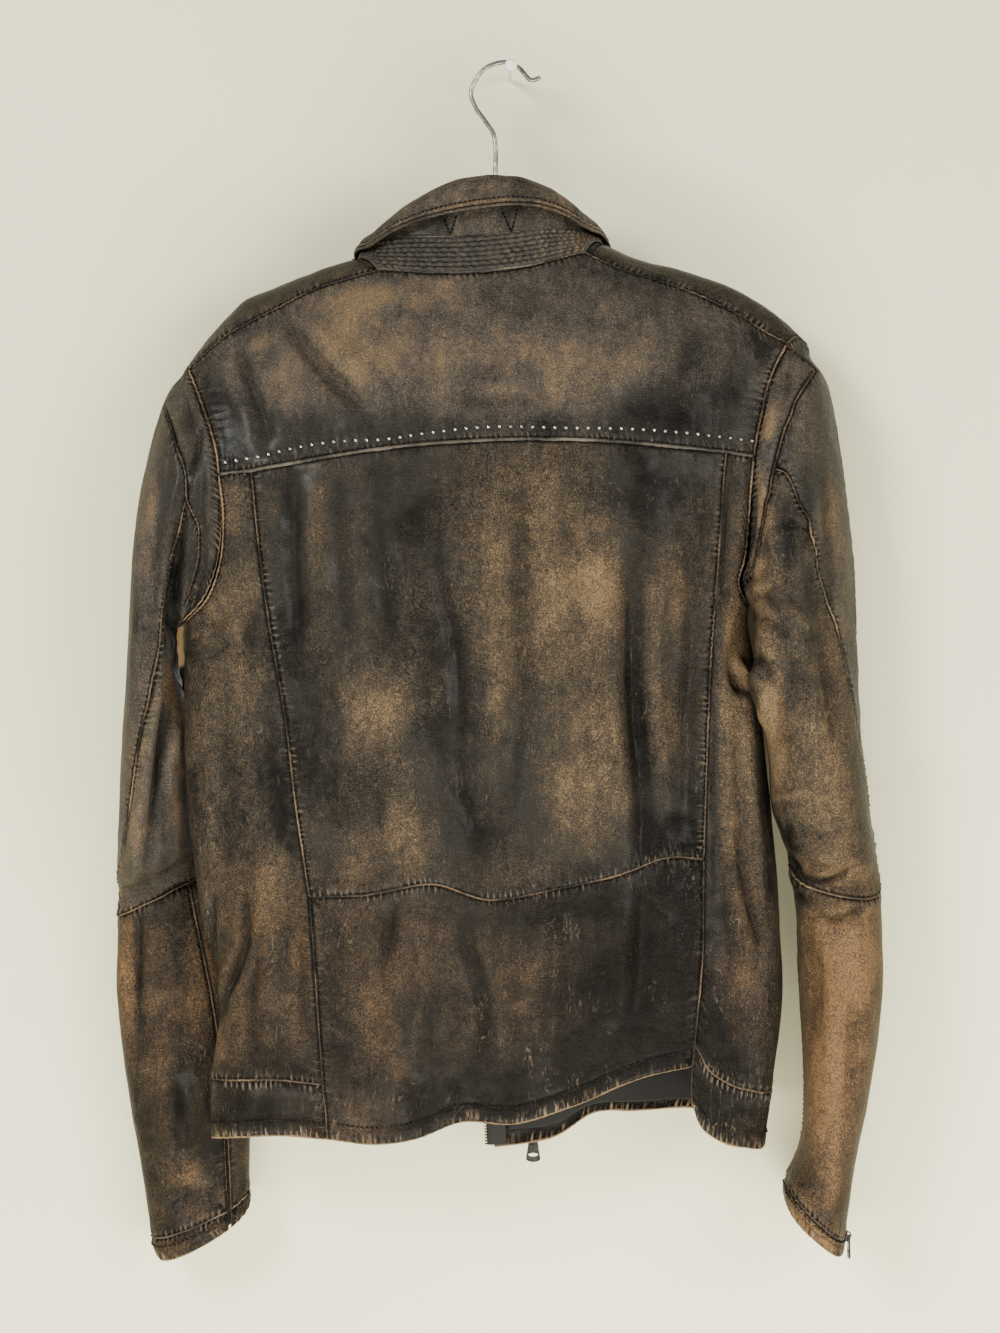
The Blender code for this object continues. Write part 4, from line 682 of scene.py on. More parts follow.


# ---- folds, wear, char and painted shade, in millimetres from the hook -----------------

# A fold is (width, depth, then x and z of each point of its path). A patch of wear, or of
# char where the finish stays black or painted shade where shade falls in hollows, is (x, z,
# half width, half height, amount in hundredths, and its tilt in degrees if it has one). Each
# group of panels has a back, which is shown, and a front.
FOLDS, WEAR, CHAR_AND_SHADE = {}, {}, {}
FOLDS["body_back"] = [
    (8, 2.8, -168, -192, -150, -216, -124, -246, -102, -268),
    (6, 2.6, -204, -212, -194, -240, -184, -264, -178, -290), (9, -1.2, -152, -196, -130, -218, -100, -240),
    (9, -1.8, 120, -180, 98, -214, 78, -240, 58, -268), (9, 1.8, 150, -188, 130, -224, 116, -262),
    (5, -1.4, 171, -194, 178, -222, 180, -246), (2, -0.8, 151, -252, 152, -270, 150, -290),
    (6, 1.2, -60, -250, -20, -256, 40, -250), (9, -2.4, -134, -296, -143, -330, -143, -384, -138, -430),
    (6, 2.2, -163, -300, -160, -360, -157, -430, -154, -480), (7, 1.4, -124, -330, -120, -400, -118, -450),
    (8, 1.8, -96, -318, -94, -370, -88, -420, -84, -450), (4, -1, -76, -360, -79, -390, -80, -430),
    (7, 2.4, -53, -350, -50, -395, -40, -430, -37, -480, -35, -520),
    (4, 2.2, -38, -508, -33, -545, -22, -582), (9, -1.4, -12, -300, -14, -380, -10, -450, -14, -530),
    (8, 1.5, 8, -310, 4, -380, 8, -460, 5, -560, 9, -606), (8, -1.6, 24, -330, 32, -390, 30, -430),
    (7, 1.2, 22, -440, 20, -500, 24, -560),
    (8, 4.6, 86, -374, 89, -420, 90, -470, 93, -510, 97, -550, 97, -604),
    (9, -2.4, 74, -370, 76, -430, 76, -490, 82, -540), (8, -1.4, 112, -360, 108, -450, 112, -540),
    (7, 1.6, 132, -340, 134, -420, 132, -520, 128, -580), (7, 1.3, -99, -486, -96, -540, -100, -602),
    (6, -1.2, -112, -540, -106, -580, -112, -608), (6, 3, -86, -618, -91, -650, -95, -680),
    (7, -1.2, -104, -622, -116, -650, -122, -690),
    (7, 3.2, -34, -624, -33, -650, -26, -676, -20, -704, -26, -744),
    (8, 2.4, 101, -602, 98, -640, 97, -680, 94, -712), (9, -1.8, 80, -620, 78, -670, 76, -720),
    (8, 1.8, -74, -730, -70, -760, -68, -792), (5, 1.2, 54, -618, 50, -640, 52, -662),
    (9, -1.5, 10, -640, 16, -700, 20, -760), (8, -1.2, -56, -640, -52, -690, -50, -740),
    (3.4, 3.4, -196, -620, -195, -650, -203, -676, -211, -694, -217, -716),
    (4.5, -2.2, -204, -622, -203, -652, -211, -680, -218, -700),
    (3.6, 2.6, -219, -616, -221, -648, -219, -676, -214, -698),
    (2.4, -0.9, -163, -596, -161, -650, -153, -694), (4, 1.4, -150, -620, -156, -660, -150, -720),
    (5, -1.6, -240, -428, -216, -432, -192, -404), (6, 1.8, -196, -394, -192, -420, -194, -452),
    (6, -1.3, -236, -446, -214, -450, -196, -470), (7, 1.4, -214, -470, -206, -540, -210, -590),
    (7, -1.5, -190, -560, -180, -620, -178, -700), (5, 1.2, -184, -640, -192, -700, -190, -744),
    (4, -1.2, -197, -318, -199, -340, -206, -362), (4, 2.6, 165, -572, 172, -606, 180, -640, 186, -660),
    (6, -2, 158, -500, 160, -560, 168, -616, 176, -656), (5, 2, 151, -470, 153, -530, 158, -590),
    (6, -2.2, 176, -470, 177, -530, 184, -590, 190, -640), (3, 1.4, 162, -626, 164, -660, 160, -700),
    (4, -2.6, 165, -418, 157, -436, 156, -462, 162, -490), (3.5, 3.6, 163, -452, 168, -466, 180, -472),
    (4, -3, 166, -446, 172, -455, 180, -460), (4, 1.4, 163, -300, 160, -350, 158, -400),
    (7, 1.2, 176, -690, 170, -730, 172, -760),
]
WEAR["body_back"] = [
    (-68, -172, 40, 12, 34, 4), (-130, -200, 34, 22, 40, 24), (-112, -178, 22, 10, 36, 10),
    (-186, -211, 18, 9, 38, 22), (-172, -236, 16, 18, 12), (-166, -184, 34, 14, 26, 22),
    (-60, -205, 90, 34, 34), (-20, -232, 120, 22, 30), (-150, -240, 50, 30, 34, 10),
    (100, -205, 34, 34, 22, -10), (-20, -160, 50, 14, 26), (-30, -256, 70, 12, 30), (40, -256, 40, 14, 16),
    (24, -215, 40, 22, 16), (-118, -165, 26, 12, 24, 30), (190, -236, 14, 24, 20, 10),
    (60, -180, 40, 18, 16, -10), (60, -240, 50, 20, 20), (150, -200, 26, 20, 12, -10),
    (-110, -182, 30, 12, 30, 20), (60, -398, 24, 36, 62), (62, -392, 12, 20, 22), (118, -398, 17, 36, 34),
    (52, -520, 34, 52, 44), (68, -545, 16, 22, 16), (34, -545, 12, 24, 16), (45, -450, 26, 26, 32),
    (124, -520, 16, 44, 20), (108, -470, 12, 40, 16), (-96, -478, 27, 22, 50), (-104, -500, 20, 26, 22),
    (-74, -574, 24, 32, 46, -8), (-88, -520, 16, 30, 22), (-143, -352, 7, 56, 34), (-116, -594, 12, 22, 22),
    (-6, -604, 24, 14, 22), (-12, -490, 6, 44, 16), (-12, -340, 8, 40, 10), (24, -330, 22, 32, 16),
    (30, -398, 8, 30, 16), (-62, -400, 9, 44, 10), (-115, -350, 16, 40, 6), (-58, -480, 8, 30, 10),
    (56, -350, 20, 14, 16), (10, -350, 56, 70, 28), (4, -400, 30, 60, 20), (0, -440, 26, 40, 20),
    (-114, -420, 14, 60, 24), (134, -410, 12, 50, 26), (176, -430, 16, 40, 90), (-208, -226, 12, 30, 30, 12),
    (-130, -640, 24, 30, 26), (172, -412, 16, 50, 42), (-98, -700, 17, 34, 36), (-86, -742, 14, 15, 30),
    (-74, -670, 20, 14, 22, -20), (-36, -674, 10, 10, 22), (-110, -780, 24, 14, 18), (8, -702, 5, 8, 40),
    (-20, -650, 26, 10, 8), (18, -672, 24, 10, 10, 20), (84, -684, 12, 4, 12), (-62, -646, 20, 8, 12),
    (130, -700, 8, 30, 10), (-214, -408, 22, 24, 30), (-212, -490, 30, 60, 30), (-206, -330, 12, 20, 50),
    (-196, -400, 20, 30, 26), (-190, -460, 16, 40, 16), (-172, -606, 14, 34, 46, 4),
    (-214, -604, 18, 34, 32), (-190, -640, 22, 30, 16), (-158, -660, 5, 34, 28, -8),
    (-192, -706, 14, 32, 24), (-214, -728, 6, 24, 34), (-166, -720, 10, 26, 10), (-205, -560, 24, 24, 10),
    (168, -520, 16, 56, 46), (168, -330, 8, 50, 28), (172, -640, 14, 60, 16), (160, -470, 8, 30, 20),
    (166, -680, 20, 28, 42), (176, -610, 8, 44, 24, 8), (160, -600, 8, 40, 20), (168, -722, 14, 12, 18),
    (164, -430, 5, 14, 30), (158, -340, 6, 30, 6), (170, -360, 5, 30, 10), (172, -448, 8, 8, 22),
    (150, -420, 5, 24, 8),
]
CHAR_AND_SHADE["body_back"] = [
    (-214, -262, 18, 46, 65, 10), (-150, -284, 60, 16, 60, 6), (-60, -280, 70, 10, 45, 6),
    (40, -276, 40, 10, 45), (110, -274, 40, 24, 85), (150, -268, 34, 20, 60), (176, -236, 16, 40, 60, -12),
    (-200, -212, 8, 20, 40, 20), (88, -258, 26, 14, 50), (-84, -340, 30, 60, 75), (98, -318, 34, 30, 85),
    (-160, -410, 18, 100, 60, -4), (-140, -500, 20, 60, 60), (0, -340, 20, 30, 30), (-62, -390, 10, 40, 30),
    (20, -560, 12, 40, 40), (130, -600, 14, 50, 50), (-178, -540, 26, 60, 65, -6), (-48, -470, 22, 60, 60),
    (-48, -560, 22, 60, 75, 10), (-8, -550, 26, 40, 45), (104, -330, 26, 24, 25), (140, -330, 6, 60, 20),
    (92, -470, 7, 100, 45), (106, -572, 26, 26, 110), (100, -520, 6, 60, 30), (60, -790, 100, 16, 80, 8),
    (-60, -730, 80, 60, 22), (-216, -600, 10, 60, 20), (84, -596, 40, 10, 45, 14), (-104, -420, 24, 30, 40),
    (138, -560, 8, 60, 50), (100, -694, 62, 60, 150), (104, -706, 40, 44, 60), (74, -756, 90, 34, 140, 12),
    (-20, -776, 60, 26, 120), (60, -622, 70, 20, 80, 10), (124, -620, 14, 60, 60), (-130, -680, 12, 60, 35),
    (-124, -740, 12, 30, 40), (30, -700, 30, 30, 20), (-30, -700, 14, 40, 25), (120, -620, 20, 24, 40),
    (-56, -700, 8, 40, 30), (-184, -424, 12, 24, 50), (-168, -560, 10, 34, 60), (-192, -574, 12, 12, 30),
    (-176, -748, 40, 14, 35), (-190, -780, 50, 18, 80), (-204, -300, 16, 14, 60), (168, -750, 30, 18, 50),
    (158, -784, 30, 26, 90), (168, -320, 10, 50, 30), (146, -740, 10, 60, 30), (190, -600, 5, 60, 30),
]
FOLDS["body_front"] = [
    (10, 2.6, -150, -220, -120, -270, -90, -300), (9, 2, -80, -210, -70, -260, -76, -330),
    (10, 2.4, -200, -420, -150, -460, -110, -520), (9, -1.8, -180, -520, -150, -600, -150, -700),
    (10, 2.6, -110, -560, -100, -640, -108, -720), (9, 1.8, -60, -480, -56, -580, -60, -700),
    (8, -1.6, -36, -300, -34, -400, -38, -520), (10, 2.6, 120, -220, 96, -270, 70, -300),
    (9, 2, 56, -214, 58, -280, 64, -350), (10, 2.6, 160, -430, 120, -470, 90, -530),
    (9, -1.8, 140, -540, 124, -620, 126, -700), (10, 2.4, 84, -560, 90, -640, 84, -720),
    (8, 1.6, 40, -420, 44, -540, 40, -680), (9, -1.8, -210, -560, -204, -640, -208, -720),
    (9, 1.6, 180, -560, 182, -640, 176, -720),
]
WEAR["body_front"] = [
    (-110, -250, 50, 50, 24), (-60, -400, 40, 60, 40), (-150, -520, 50, 60, 40), (-90, -650, 60, 50, 34),
    (-30, -560, 16, 120, 30), (-200, -640, 24, 60, 36), (90, -250, 50, 50, 24), (60, -420, 34, 60, 44),
    (140, -500, 44, 50, 34), (90, -640, 50, 60, 38), (30, -600, 16, 100, 30), (176, -620, 20, 60, 36),
    (40, -300, 20, 40, 26), (-50, -280, 20, 40, 26),
]
CHAR_AND_SHADE["body_front"] = [
    (-150, -340, 60, 40, 60), (-60, -520, 30, 50, 50), (-150, -720, 60, 40, 60), (120, -340, 50, 40, 60),
    (60, -530, 30, 40, 50), (130, -720, 50, 40, 60), (-100, -780, 120, 24, 80), (110, -780, 90, 30, 80),
    (0, -700, 30, 60, 40), (-160, -180, 60, 20, 50, 20), (120, -175, 60, 20, 50, -20),
]
FOLDS["left_back"] = [
    (4.2, 6.5, -240, -322, -246, -366, -252, -420, -255, -480, -261, -522, -267, -562, -273, -612),
    (6, -3, -252, -372, -259, -430, -263, -490, -270, -550, -280, -610),
    (6, -2.4, -238, -372, -243, -430, -246, -490, -252, -550),
    (3, 3.4, -226, -268, -231, -290, -237, -312, -240, -330),
    (4.5, -1.8, -252, -256, -243, -284, -238, -300), (3.5, 2, -243, -246, -236, -268, -231, -284),
    (3.6, 5, -213, -320, -212, -350, -216, -380, -226, -404), (4, -2, -222, -296, -221, -340, -224, -372),
    (7, -1.6, -262, -300, -271, -350, -274, -420, -277, -500), (6, 1.4, -256, -300, -262, -340, -266, -400),
    (2.5, 1.2, -262, -368, -252, -372, -246, -378), (3, 1.2, -250, -520, -246, -540, -252, -560),
    (3, -1, -246, -470, -243, -500, -246, -530), (5, 2.4, -280, -634, -281, -672, -283, -712),
    (6, -1.6, -290, -640, -290, -700, -284, -760), (8, 2, -250, -756, -243, -786, -238, -812),
    (8, -1.8, -262, -740, -258, -790, -252, -830), (5, -1.4, -268, -846, -252, -836, -236, -824),
    (5, 1.4, -266, -862, -248, -850, -230, -842), (5, 1.2, -244, -696, -256, -706, -272, -700),
    (3, 1.4, -262, -622, -250, -616, -238, -614), (4, 1.6, -204, -826, -202, -842, -204, -856),
]
WEAR["left_back"] = [
    (-268, -350, 8, 60, 50), (-274, -480, 8, 60, 16), (-258, -275, 10, 24, 22), (-276, -560, 11, 66, 60, 6),
    (-248, -462, 10, 26, 80), (-248, -540, 8, 50, 60), (-266, -500, 8, 44, 42), (-234, -690, 12, 60, 34),
    (-236, -270, 14, 34, 34, 10), (-242, -440, 4, 30, 16), (-241, -425, 4, 12, 90), (-288, -680, 7, 66, 56),
    (-248, -614, 12, 14, 30), (-240, -790, 8, 24, 40), (-262, -704, 22, 9, 34), (-262, -660, 18, 20, 14),
    (-266, -750, 14, 26, 34), (-244, -832, 22, 9, 42, -18), (-262, -864, 12, 14, 14),
    (-256, -886, 16, 8, 34), (-222, -846, 16, 10, 18, -30), (-214, -850, 4, 10, 50), (-270, -800, 8, 20, 16),
    (-228, -868, 20, 6, 30, -28),
]
# Along the gusset seams, near x -226 to -246 and z -300 to -390, these patches are painted shade in the
# gusset's hollow.
CHAR_AND_SHADE["left_back"] = [
    (-270, -760, 22, 70, 30), (-262, -830, 24, 30, 35), (-264, -534, 14, 50, 24), (-246, -330, 10, 60, 45),
    (-236, -370, 8, 50, 50), (-226, -350, 6, 60, 40), (-246, -390, 5, 60, 40), (-230, -300, 14, 60, 35),
    (-282, -740, 10, 60, 35), (-276, -430, 8, 40, 30), (-268, -594, 10, 26, 50), (-228, -752, 10, 40, 70),
    (-224, -812, 10, 30, 90), (-218, -846, 14, 24, 90), (-246, -780, 10, 30, 60), (-272, -640, 14, 18, 30),
    (-256, -870, 22, 10, 30, -20),
]
FOLDS["left_front"] = [
    (7, 3, -275, -430, -255, -450, -240, -460), (7, -2, -285, -500, -262, -520, -244, -540),
    (7, 3, -290, -560, -266, -580, -240, -590), (7, -2, -290, -600, -266, -616, -238, -620),
    (7, 2.6, -288, -660, -262, -670, -232, -664), (8, 2, -262, -700, -250, -760, -246, -820),
    (8, -1.8, -262, -320, -268, -400, -266, -450),
]
WEAR["left_front"] = [
    (-266, -380, 16, 60, 30), (-270, -540, 20, 50, 40), (-264, -680, 20, 60, 50), (-250, -800, 24, 50, 40),
    (-240, -870, 24, 10, 40, 20),
]
CHAR_AND_SHADE["left_front"] = [(-250, -450, 20, 50, 50), (-250, -620, 30, 30, 50), (-230, -760, 16, 60, 60)]
FOLDS["right_back"] = [
    (4, -2.6, 200, -250, 192, -268, 187, -282, 186, -300),
    (3, 4, 190, -244, 186, -264, 181, -286, 180, -310), (3, 4.2, 181, -310, 180, -340, 176, -370, 173, -392),
    (4, 1.6, 204, -226, 206, -240, 202, -256), (3, -1, 212, -222, 214, -232, 208, -244),
    (2.2, -1.8, 194, -318, 191, -344, 194, -372, 196, -386), (5, 2.4, 200, -330, 204, -352, 204, -380),
    (3.4, 2.6, 188, -350, 200, -346, 214, -348, 224, -356), (4, -1.8, 208, -362, 216, -366, 224, -370),
    (3.4, -2.2, 176, -398, 184, -392, 194, -384), (3.4, 2.4, 182, -394, 190, -402, 202, -414),
    (4, -2, 196, -402, 206, -410, 218, -420), (4, 2.2, 178, -412, 190, -418, 206, -430),
    (4, -2, 176, -428, 186, -434, 198, -446), (4, 3.2, 168, -448, 178, -444, 186, -450, 190, -468),
    (4.5, -2.6, 172, -456, 184, -462, 188, -484, 187, -510), (6, 1.8, 198, -462, 200, -500, 206, -536),
    (7, -1.6, 216, -440, 222, -480, 224, -520), (5, 1.4, 228, -430, 234, -470, 240, -510),
    (2, -1, 193, -550, 210, -545, 226, -540), (3, 1.3, 192, -555, 210, -551, 224, -547),
    (5, 1.4, 210, -566, 226, -576, 240, -574), (4.5, 5, 204, -588, 209, -598, 216, -606),
    (2.6, 2.2, 214, -606, 230, -609, 246, -603, 256, -597), (2.6, -1.4, 216, -601, 232, -604, 246, -598),
    (2.6, 1.8, 212, -618, 220, -626), (3.4, 1.8, 220, -628, 234, -637, 252, -632, 266, -624),
    (5, -1.2, 222, -640, 238, -648, 258, -644), (6, 2, 216, -650, 226, -668, 228, -700, 224, -736),
    (7, -1.4, 234, -660, 238, -710, 236, -760), (7, 1.4, 250, -690, 250, -740, 246, -790),
    (5, 1.6, 224, -810, 220, -826, 214, -838), (5, -1.2, 240, -826, 234, -844, 228, -858),
    (7, 1.4, 228, -290, 236, -340, 240, -400), (6, -1.6, 242, -320, 246, -380, 248, -440),
]
WEAR["right_back"] = [
    (236, -330, 11, 46, 36, -12), (216, -272, 14, 26, 22), (206, -232, 10, 10, 24), (190, -272, 8, 14, 75),
    (202, -360, 20, 40, 20), (185, -322, 5, 34, 62, 8), (183, -378, 4, 18, 50, 8), (205, -430, 22, 20, 14),
    (242, -352, 14, 34, 40, -10), (222, -500, 26, 60, 34), (192, -500, 9, 50, 74), (186, -338, 6, 14, 70),
    (194, -490, 8, 40, 40), (184, -420, 8, 40, 50), (198, -520, 8, 40, 30), (238, -450, 12, 90, 34),
    (268, -640, 10, 40, 40), (232, -866, 24, 24, 34), (206, -250, 22, 34, 22), (246, -560, 14, 50, 40),
    (216, -560, 20, 30, 24), (240, -600, 26, 10, 26), (248, -420, 8, 40, 20), (240, -690, 30, 70, 80),
    (256, -670, 14, 44, 26), (234, -780, 26, 56, 66), (246, -740, 14, 50, 16), (232, -876, 20, 9, 62, -26),
    (240, -832, 12, 20, 30), (228, -640, 20, 12, 10), (212, -862, 8, 20, 50, -20), (194, -306, 4, 14, 20),
]
CHAR_AND_SHADE["right_back"] = [
    (205, -350, 9, 26, 60), (226, -380, 8, 50, 45, -10), (216, -318, 8, 26, 40), (240, -270, 12, 20, 25),
    (228, -622, 30, 12, 50, -6), (202, -582, 12, 22, 130), (217, -700, 5, 70, 30), (222, -838, 10, 12, 35),
    (236, -858, 14, 9, 50, -30), (214, -470, 12, 40, 15), (252, -300, 10, 40, 30),
]
FOLDS["right_front"] = [
    (7, 3, 262, -430, 240, -455, 210, -470), (7, -2, 264, -480, 240, -506, 212, -520),
    (7, 3, 272, -560, 246, -584, 214, -594), (7, -2, 274, -610, 248, -622, 220, -626),
    (7, 2.6, 276, -660, 250, -672, 224, -664), (8, 2, 250, -700, 244, -760, 236, -820),
    (8, -1.8, 236, -320, 244, -400, 244, -450),
]
WEAR["right_front"] = [
    (240, -380, 16, 60, 34), (240, -540, 24, 50, 40), (246, -700, 24, 80, 80), (232, -820, 24, 50, 70),
    (226, -870, 24, 10, 50, -20),
]
CHAR_AND_SHADE["right_front"] = [(226, -450, 20, 50, 40), (240, -615, 30, 14, 50), (220, -300, 20, 40, 40)]


# ---- finishes --------------------------------------------------------------------------


class Nodes:
    """Writes a node tree in few words. Values and sockets may stand for each other."""

    def __init__(self, tree):
        self.tree = tree
        tree.nodes.clear()

    def add(self, kind, inputs=None, **settings):
        prefix = "Node" if kind in ("GroupInput", "GroupOutput") else "ShaderNode"
        node = self.tree.nodes.new(prefix + kind)
        for key, value in settings.items():
            setattr(node, key, value)
        for key, value in (inputs or {}).items():
            socket = node.inputs[key]
            if isinstance(value, bpy.types.NodeSocket):
                self.tree.links.new(value, socket)
            else:
                socket.default_value = value
        return node

    def math(self, operation, *values, clamp=False):
        """One Math node over its values."""
        node = self.add("Math", dict(enumerate(values)), operation=operation, use_clamp=clamp)
        return node.outputs[0]

    def chain(self, operation, values, clamp):
        """The operation over its values one after another. Only the last node clamps."""
        total = values[0]
        for value in values[1:-1]:
            total = self.math(operation, total, value)
        return self.math(operation, total, values[-1], clamp=clamp)

    def plus(self, *values, clamp=False):
        return self.chain("ADD", values, clamp)

    def less(self, *values, clamp=False):
        return self.chain("SUBTRACT", values, clamp)

    def times(self, *values, clamp=False):
        return self.chain("MULTIPLY", values, clamp)

    def about(self, value, amount):
        """A value around a half as one around 0, as strong as amount."""
        return self.times(self.less(value, 0.5), amount)

    def fit(self, value, low, high, to_low=0.0, to_high=1.0, soft=True):
        """value from low..high to to_low..to_high, softly and held at the ends."""
        keys = {"Value": value, "From Min": low, "From Max": high, "To Min": to_low, "To Max": to_high}
        kind = "SMOOTHSTEP" if soft else "LINEAR"
        return self.add("MapRange", keys, interpolation_type=kind).outputs[0]

    def noise(self, where, scale, detail=3.0, rough=0.55, twist=0.0):
        keys = {"Vector": where, "Scale": scale, "Detail": detail, "Roughness": rough, "Distortion": twist}
        return self.add("TexNoise", keys).outputs["Fac"]

    def stretched(self, where, scale, turn=(0.0, 0.0, 0.0)):
        """Coordinates turned, then scaled by a different amount each way."""
        keys = {"Vector": where, "Scale": scale, "Rotation": turn}
        return self.add("Mapping", keys).outputs[0]

    def mix(self, amount, one, two):
        return self.add("Mix", {0: amount, 6: one, 7: two}, data_type="RGBA").outputs[2]

    def tint(self, colour, by):
        """colour times the colour by."""
        inputs = {0: 1.0, 6: colour, 7: by}
        return self.add("Mix", inputs, data_type="RGBA", blend_type="MULTIPLY").outputs[2]

    def value(self, name):
        return self.add("Attribute", attribute_name=name).outputs["Fac"]

    def place(self):
        return self.add("TexCoord").outputs["Object"]

    def give(self, **values):
        """Ends a node group: its outputs take these values. Returns its tree."""
        for key, value in values.items():
            self.tree.links.new(value, self.end.inputs[key])
        return self.tree


def group(name, inputs, outputs):
    """A node group of named values: the writer of its nodes, and what it is given."""
    tree = bpy.data.node_groups.new(name, "ShaderNodeTree")
    for label, value in inputs.items():
        socket = tree.interface.new_socket(label, in_out="INPUT", socket_type="NodeSocketFloat")
        socket.default_value = value
    for label in outputs.split():
        tree.interface.new_socket(label, in_out="OUTPUT", socket_type="NodeSocketFloat")
    nodes = Nodes(tree)
    given = nodes.add("GroupInput").outputs
    nodes.end = nodes.add("GroupOutput")
    return nodes, given


def leather_grain():
    """Pebbled grain, pores and fine wrinkles: their height, and the hollows between pebbles."""
    n, given = group("leather grain", {"Pebble": 480.0, "Wrinkle": 1.0}, "Height Hollow")
    where = n.place()
    bent = n.add("VectorMath", {0: where, 1: (0.0, 0.0, 0.0)}, operation="ADD")
    sway = n.add("TexNoise", {"Vector": where, "Scale": 200.0, "Detail": 2.0}).outputs["Color"]
    small = n.add("VectorMath", {0: sway, "Scale": 0.0040}, operation="SCALE").outputs[0]
    n.tree.links.new(small, bent.inputs[1])
    cells = n.add(
        "TexVoronoi", {"Vector": bent.outputs[0], "Scale": given["Pebble"], "Randomness": 1.0},
        feature="DISTANCE_TO_EDGE",
    ).outputs["Distance"]
    pebble = n.fit(cells, 0.0, 0.32)
    lines = n.noise(n.stretched(where, (150.0, 150.0, 60.0), (0.2, 0.3, 0.4)), 1.0, 4.0, 0.62, 0.6)
    more = n.noise(n.stretched(where, (70.0, 70.0, 140.0), (0.4, 0.0, -0.5)), 1.0, 4.0, 0.62, 0.6)
    creased = n.times(n.plus(lines, more), 1.9, given["Wrinkle"])
    fine = n.noise(where, 900.0, 2.0)
    height = n.plus(n.times(pebble, 0.42), n.plus(creased, n.times(fine, 0.30)))
    return n.give(Height=height, Hollow=n.less(1.0, pebble, clamp=True))


def rubbed_wear():
    """How far the finish is rubbed through, from 0, black, to 1, tan: listed wear, less
    the listed dark, partly charcoal finish and partly painted shade, plus ridges, with troughs darker as
    painted shade, clouds, mottling, streaks and a sandy grain."""
    inputs = {"Wear": 0.0, "Dark": 0.0, "Crease": 0.0, "Clouds": 0.4, "Sand": 0.5}
    n, given = group("rubbed wear", inputs, "Rubbed Cloud")
    where = n.place()
    cloud = n.noise(where, 15.0, 5.0, 0.60, 0.6)
    mottle = n.noise(where, 62.0, 5.0, 0.68, 0.5)
    streak = n.noise(n.stretched(where, (95.0, 95.0, 11.0), (0.0, 0.05, 0.0)), 1.0, 4.0, 0.62)
    sand = n.noise(where, 1000.0, 2.0, 0.80)
    speck = n.noise(where, 300.0, 3.0, 0.70)
    ragged = n.noise(n.stretched(where, (1.0, 1.0, 0.55)), 46.0, 6.0, 0.74, 0.9)
    patches = n.times(given["Wear"], n.fit(ragged, 0.30, 0.70, 0.72, 1.28, soft=False))
    # blots: the dark patches, partly charcoal finish and partly painted shade in hollows.
    blots = n.times(given["Dark"], n.fit(ragged, 0.30, 0.70, 1.25, 0.70, soft=False))
    # Crease raises the wear on ridges and lowers it in troughs, where the lowering is painted shade.
    rubbed = n.plus(
        n.less(patches, blots), n.times(given["Crease"], 0.12), n.about(cloud, given["Clouds"]),
        n.plus(n.about(mottle, 0.66), n.about(streak, 0.48)),
    )
    rubbed = n.fit(rubbed, -0.10, 1.25, 0.0, 0.90, soft=False)
    coarse = n.fit(rubbed, 0.0, 0.6, 0.42, 1.00)
    scuff = n.noise(n.stretched(where, (1.0, 1.0, 0.7), (0.3, 0.5, 0.2)), 170.0, 6.0, 0.80, 1.2)
    grit = n.plus(n.about(sand, 2.8), n.plus(n.about(speck, 0.45), n.about(scuff, 1.3)))
    grit = n.times(grit, coarse, given["Sand"])
    return n.give(Rubbed=n.plus(rubbed, grit), Cloud=cloud)


PUCKER_PITCH = 0.0046


def seam_wear():
    """Wear, painted highlight and painted shade that follow a seam or edge: a rubbed line at the
    edge, light ticks, partly wear and partly painted highlight, and puckers square to it where
    the leather is gathered, and a dark line of painted shade in the groove where it is stitched down and
    between the ticks."""
    inputs = {"Edge": 0.05, "Run": 0.0, "Hem": 0.0, "Gather": 1.0, "Amount": 1.0}
    n, given = group("seam wear", inputs, "Rubbed Ticks Dark Pucker")
    where = n.place()
    patchy = n.noise(where, 34.0, 3.0, 0.6)
    ragged = n.noise(where, 420.0, 2.0)
    along_it = n.add("CombineXYZ", {0: given["Run"], 1: n.times(given["Edge"], 0.16)}).outputs[0]
    tick = n.noise(along_it, 330.0, 2.0, 0.6)
    broad = n.noise(along_it, 120.0, 2.0)
    wide = n.plus(0.0004, n.times(given["Hem"], 0.0005))
    limit = n.times(wide, n.fit(patchy, 0.3, 0.7, 0.5, 1.7))
    rim = n.less(1.0, n.fit(n.math("DIVIDE", given["Edge"], limit), 0.5, 1.3))
    rim = n.times(rim, n.fit(ragged, 0.30, 0.55, 0.55, 1.0))
    reach = n.plus(0.0060, n.times(broad, 0.0090))
    fade = n.less(1.0, n.fit(n.math("DIVIDE", given["Edge"], reach), 0.1, 1.0))
    some = n.fit(patchy, 0.42, 0.60, 0.10, 1.0)
    ticks = n.times(n.fit(tick, 0.53, 0.68), fade, some, given["Amount"])
    # Painted shade: darker between the ticks, and in the groove where the seam is stitched down.
    low = n.times(n.fit(tick, 0.50, 0.34), fade)
    ditch = n.less(1.0, n.fit(given["Edge"], 0.0014, 0.0034))
    ditch = n.times(ditch, n.less(1.0, given["Hem"]))
    low = n.math("MAXIMUM", n.times(low, 0.5), ditch)
    sway = n.about(n.noise(along_it, 24.0, 2.0), 26.0)
    turns = n.plus(n.times(given["Run"], 2 * math.pi / PUCKER_PITCH), sway)
    grouped = n.fit(n.noise(along_it, 31.0, 2.0, 0.6), 0.36, 0.62, 0.10, 1.0)
    spread_out = n.plus(0.0045, n.times(broad, 0.0110))
    near = n.less(1.0, n.fit(n.math("DIVIDE", given["Edge"], spread_out), 0.15, 1.0))
    grouped = n.times(grouped, near)
    pucker = n.times(n.math("SINE", turns), grouped, given["Gather"], given["Amount"])
    rim = n.times(rim, given["Amount"], clamp=True)
    return n.give(Rubbed=rim, Ticks=ticks, Dark=low, Pucker=pucker)


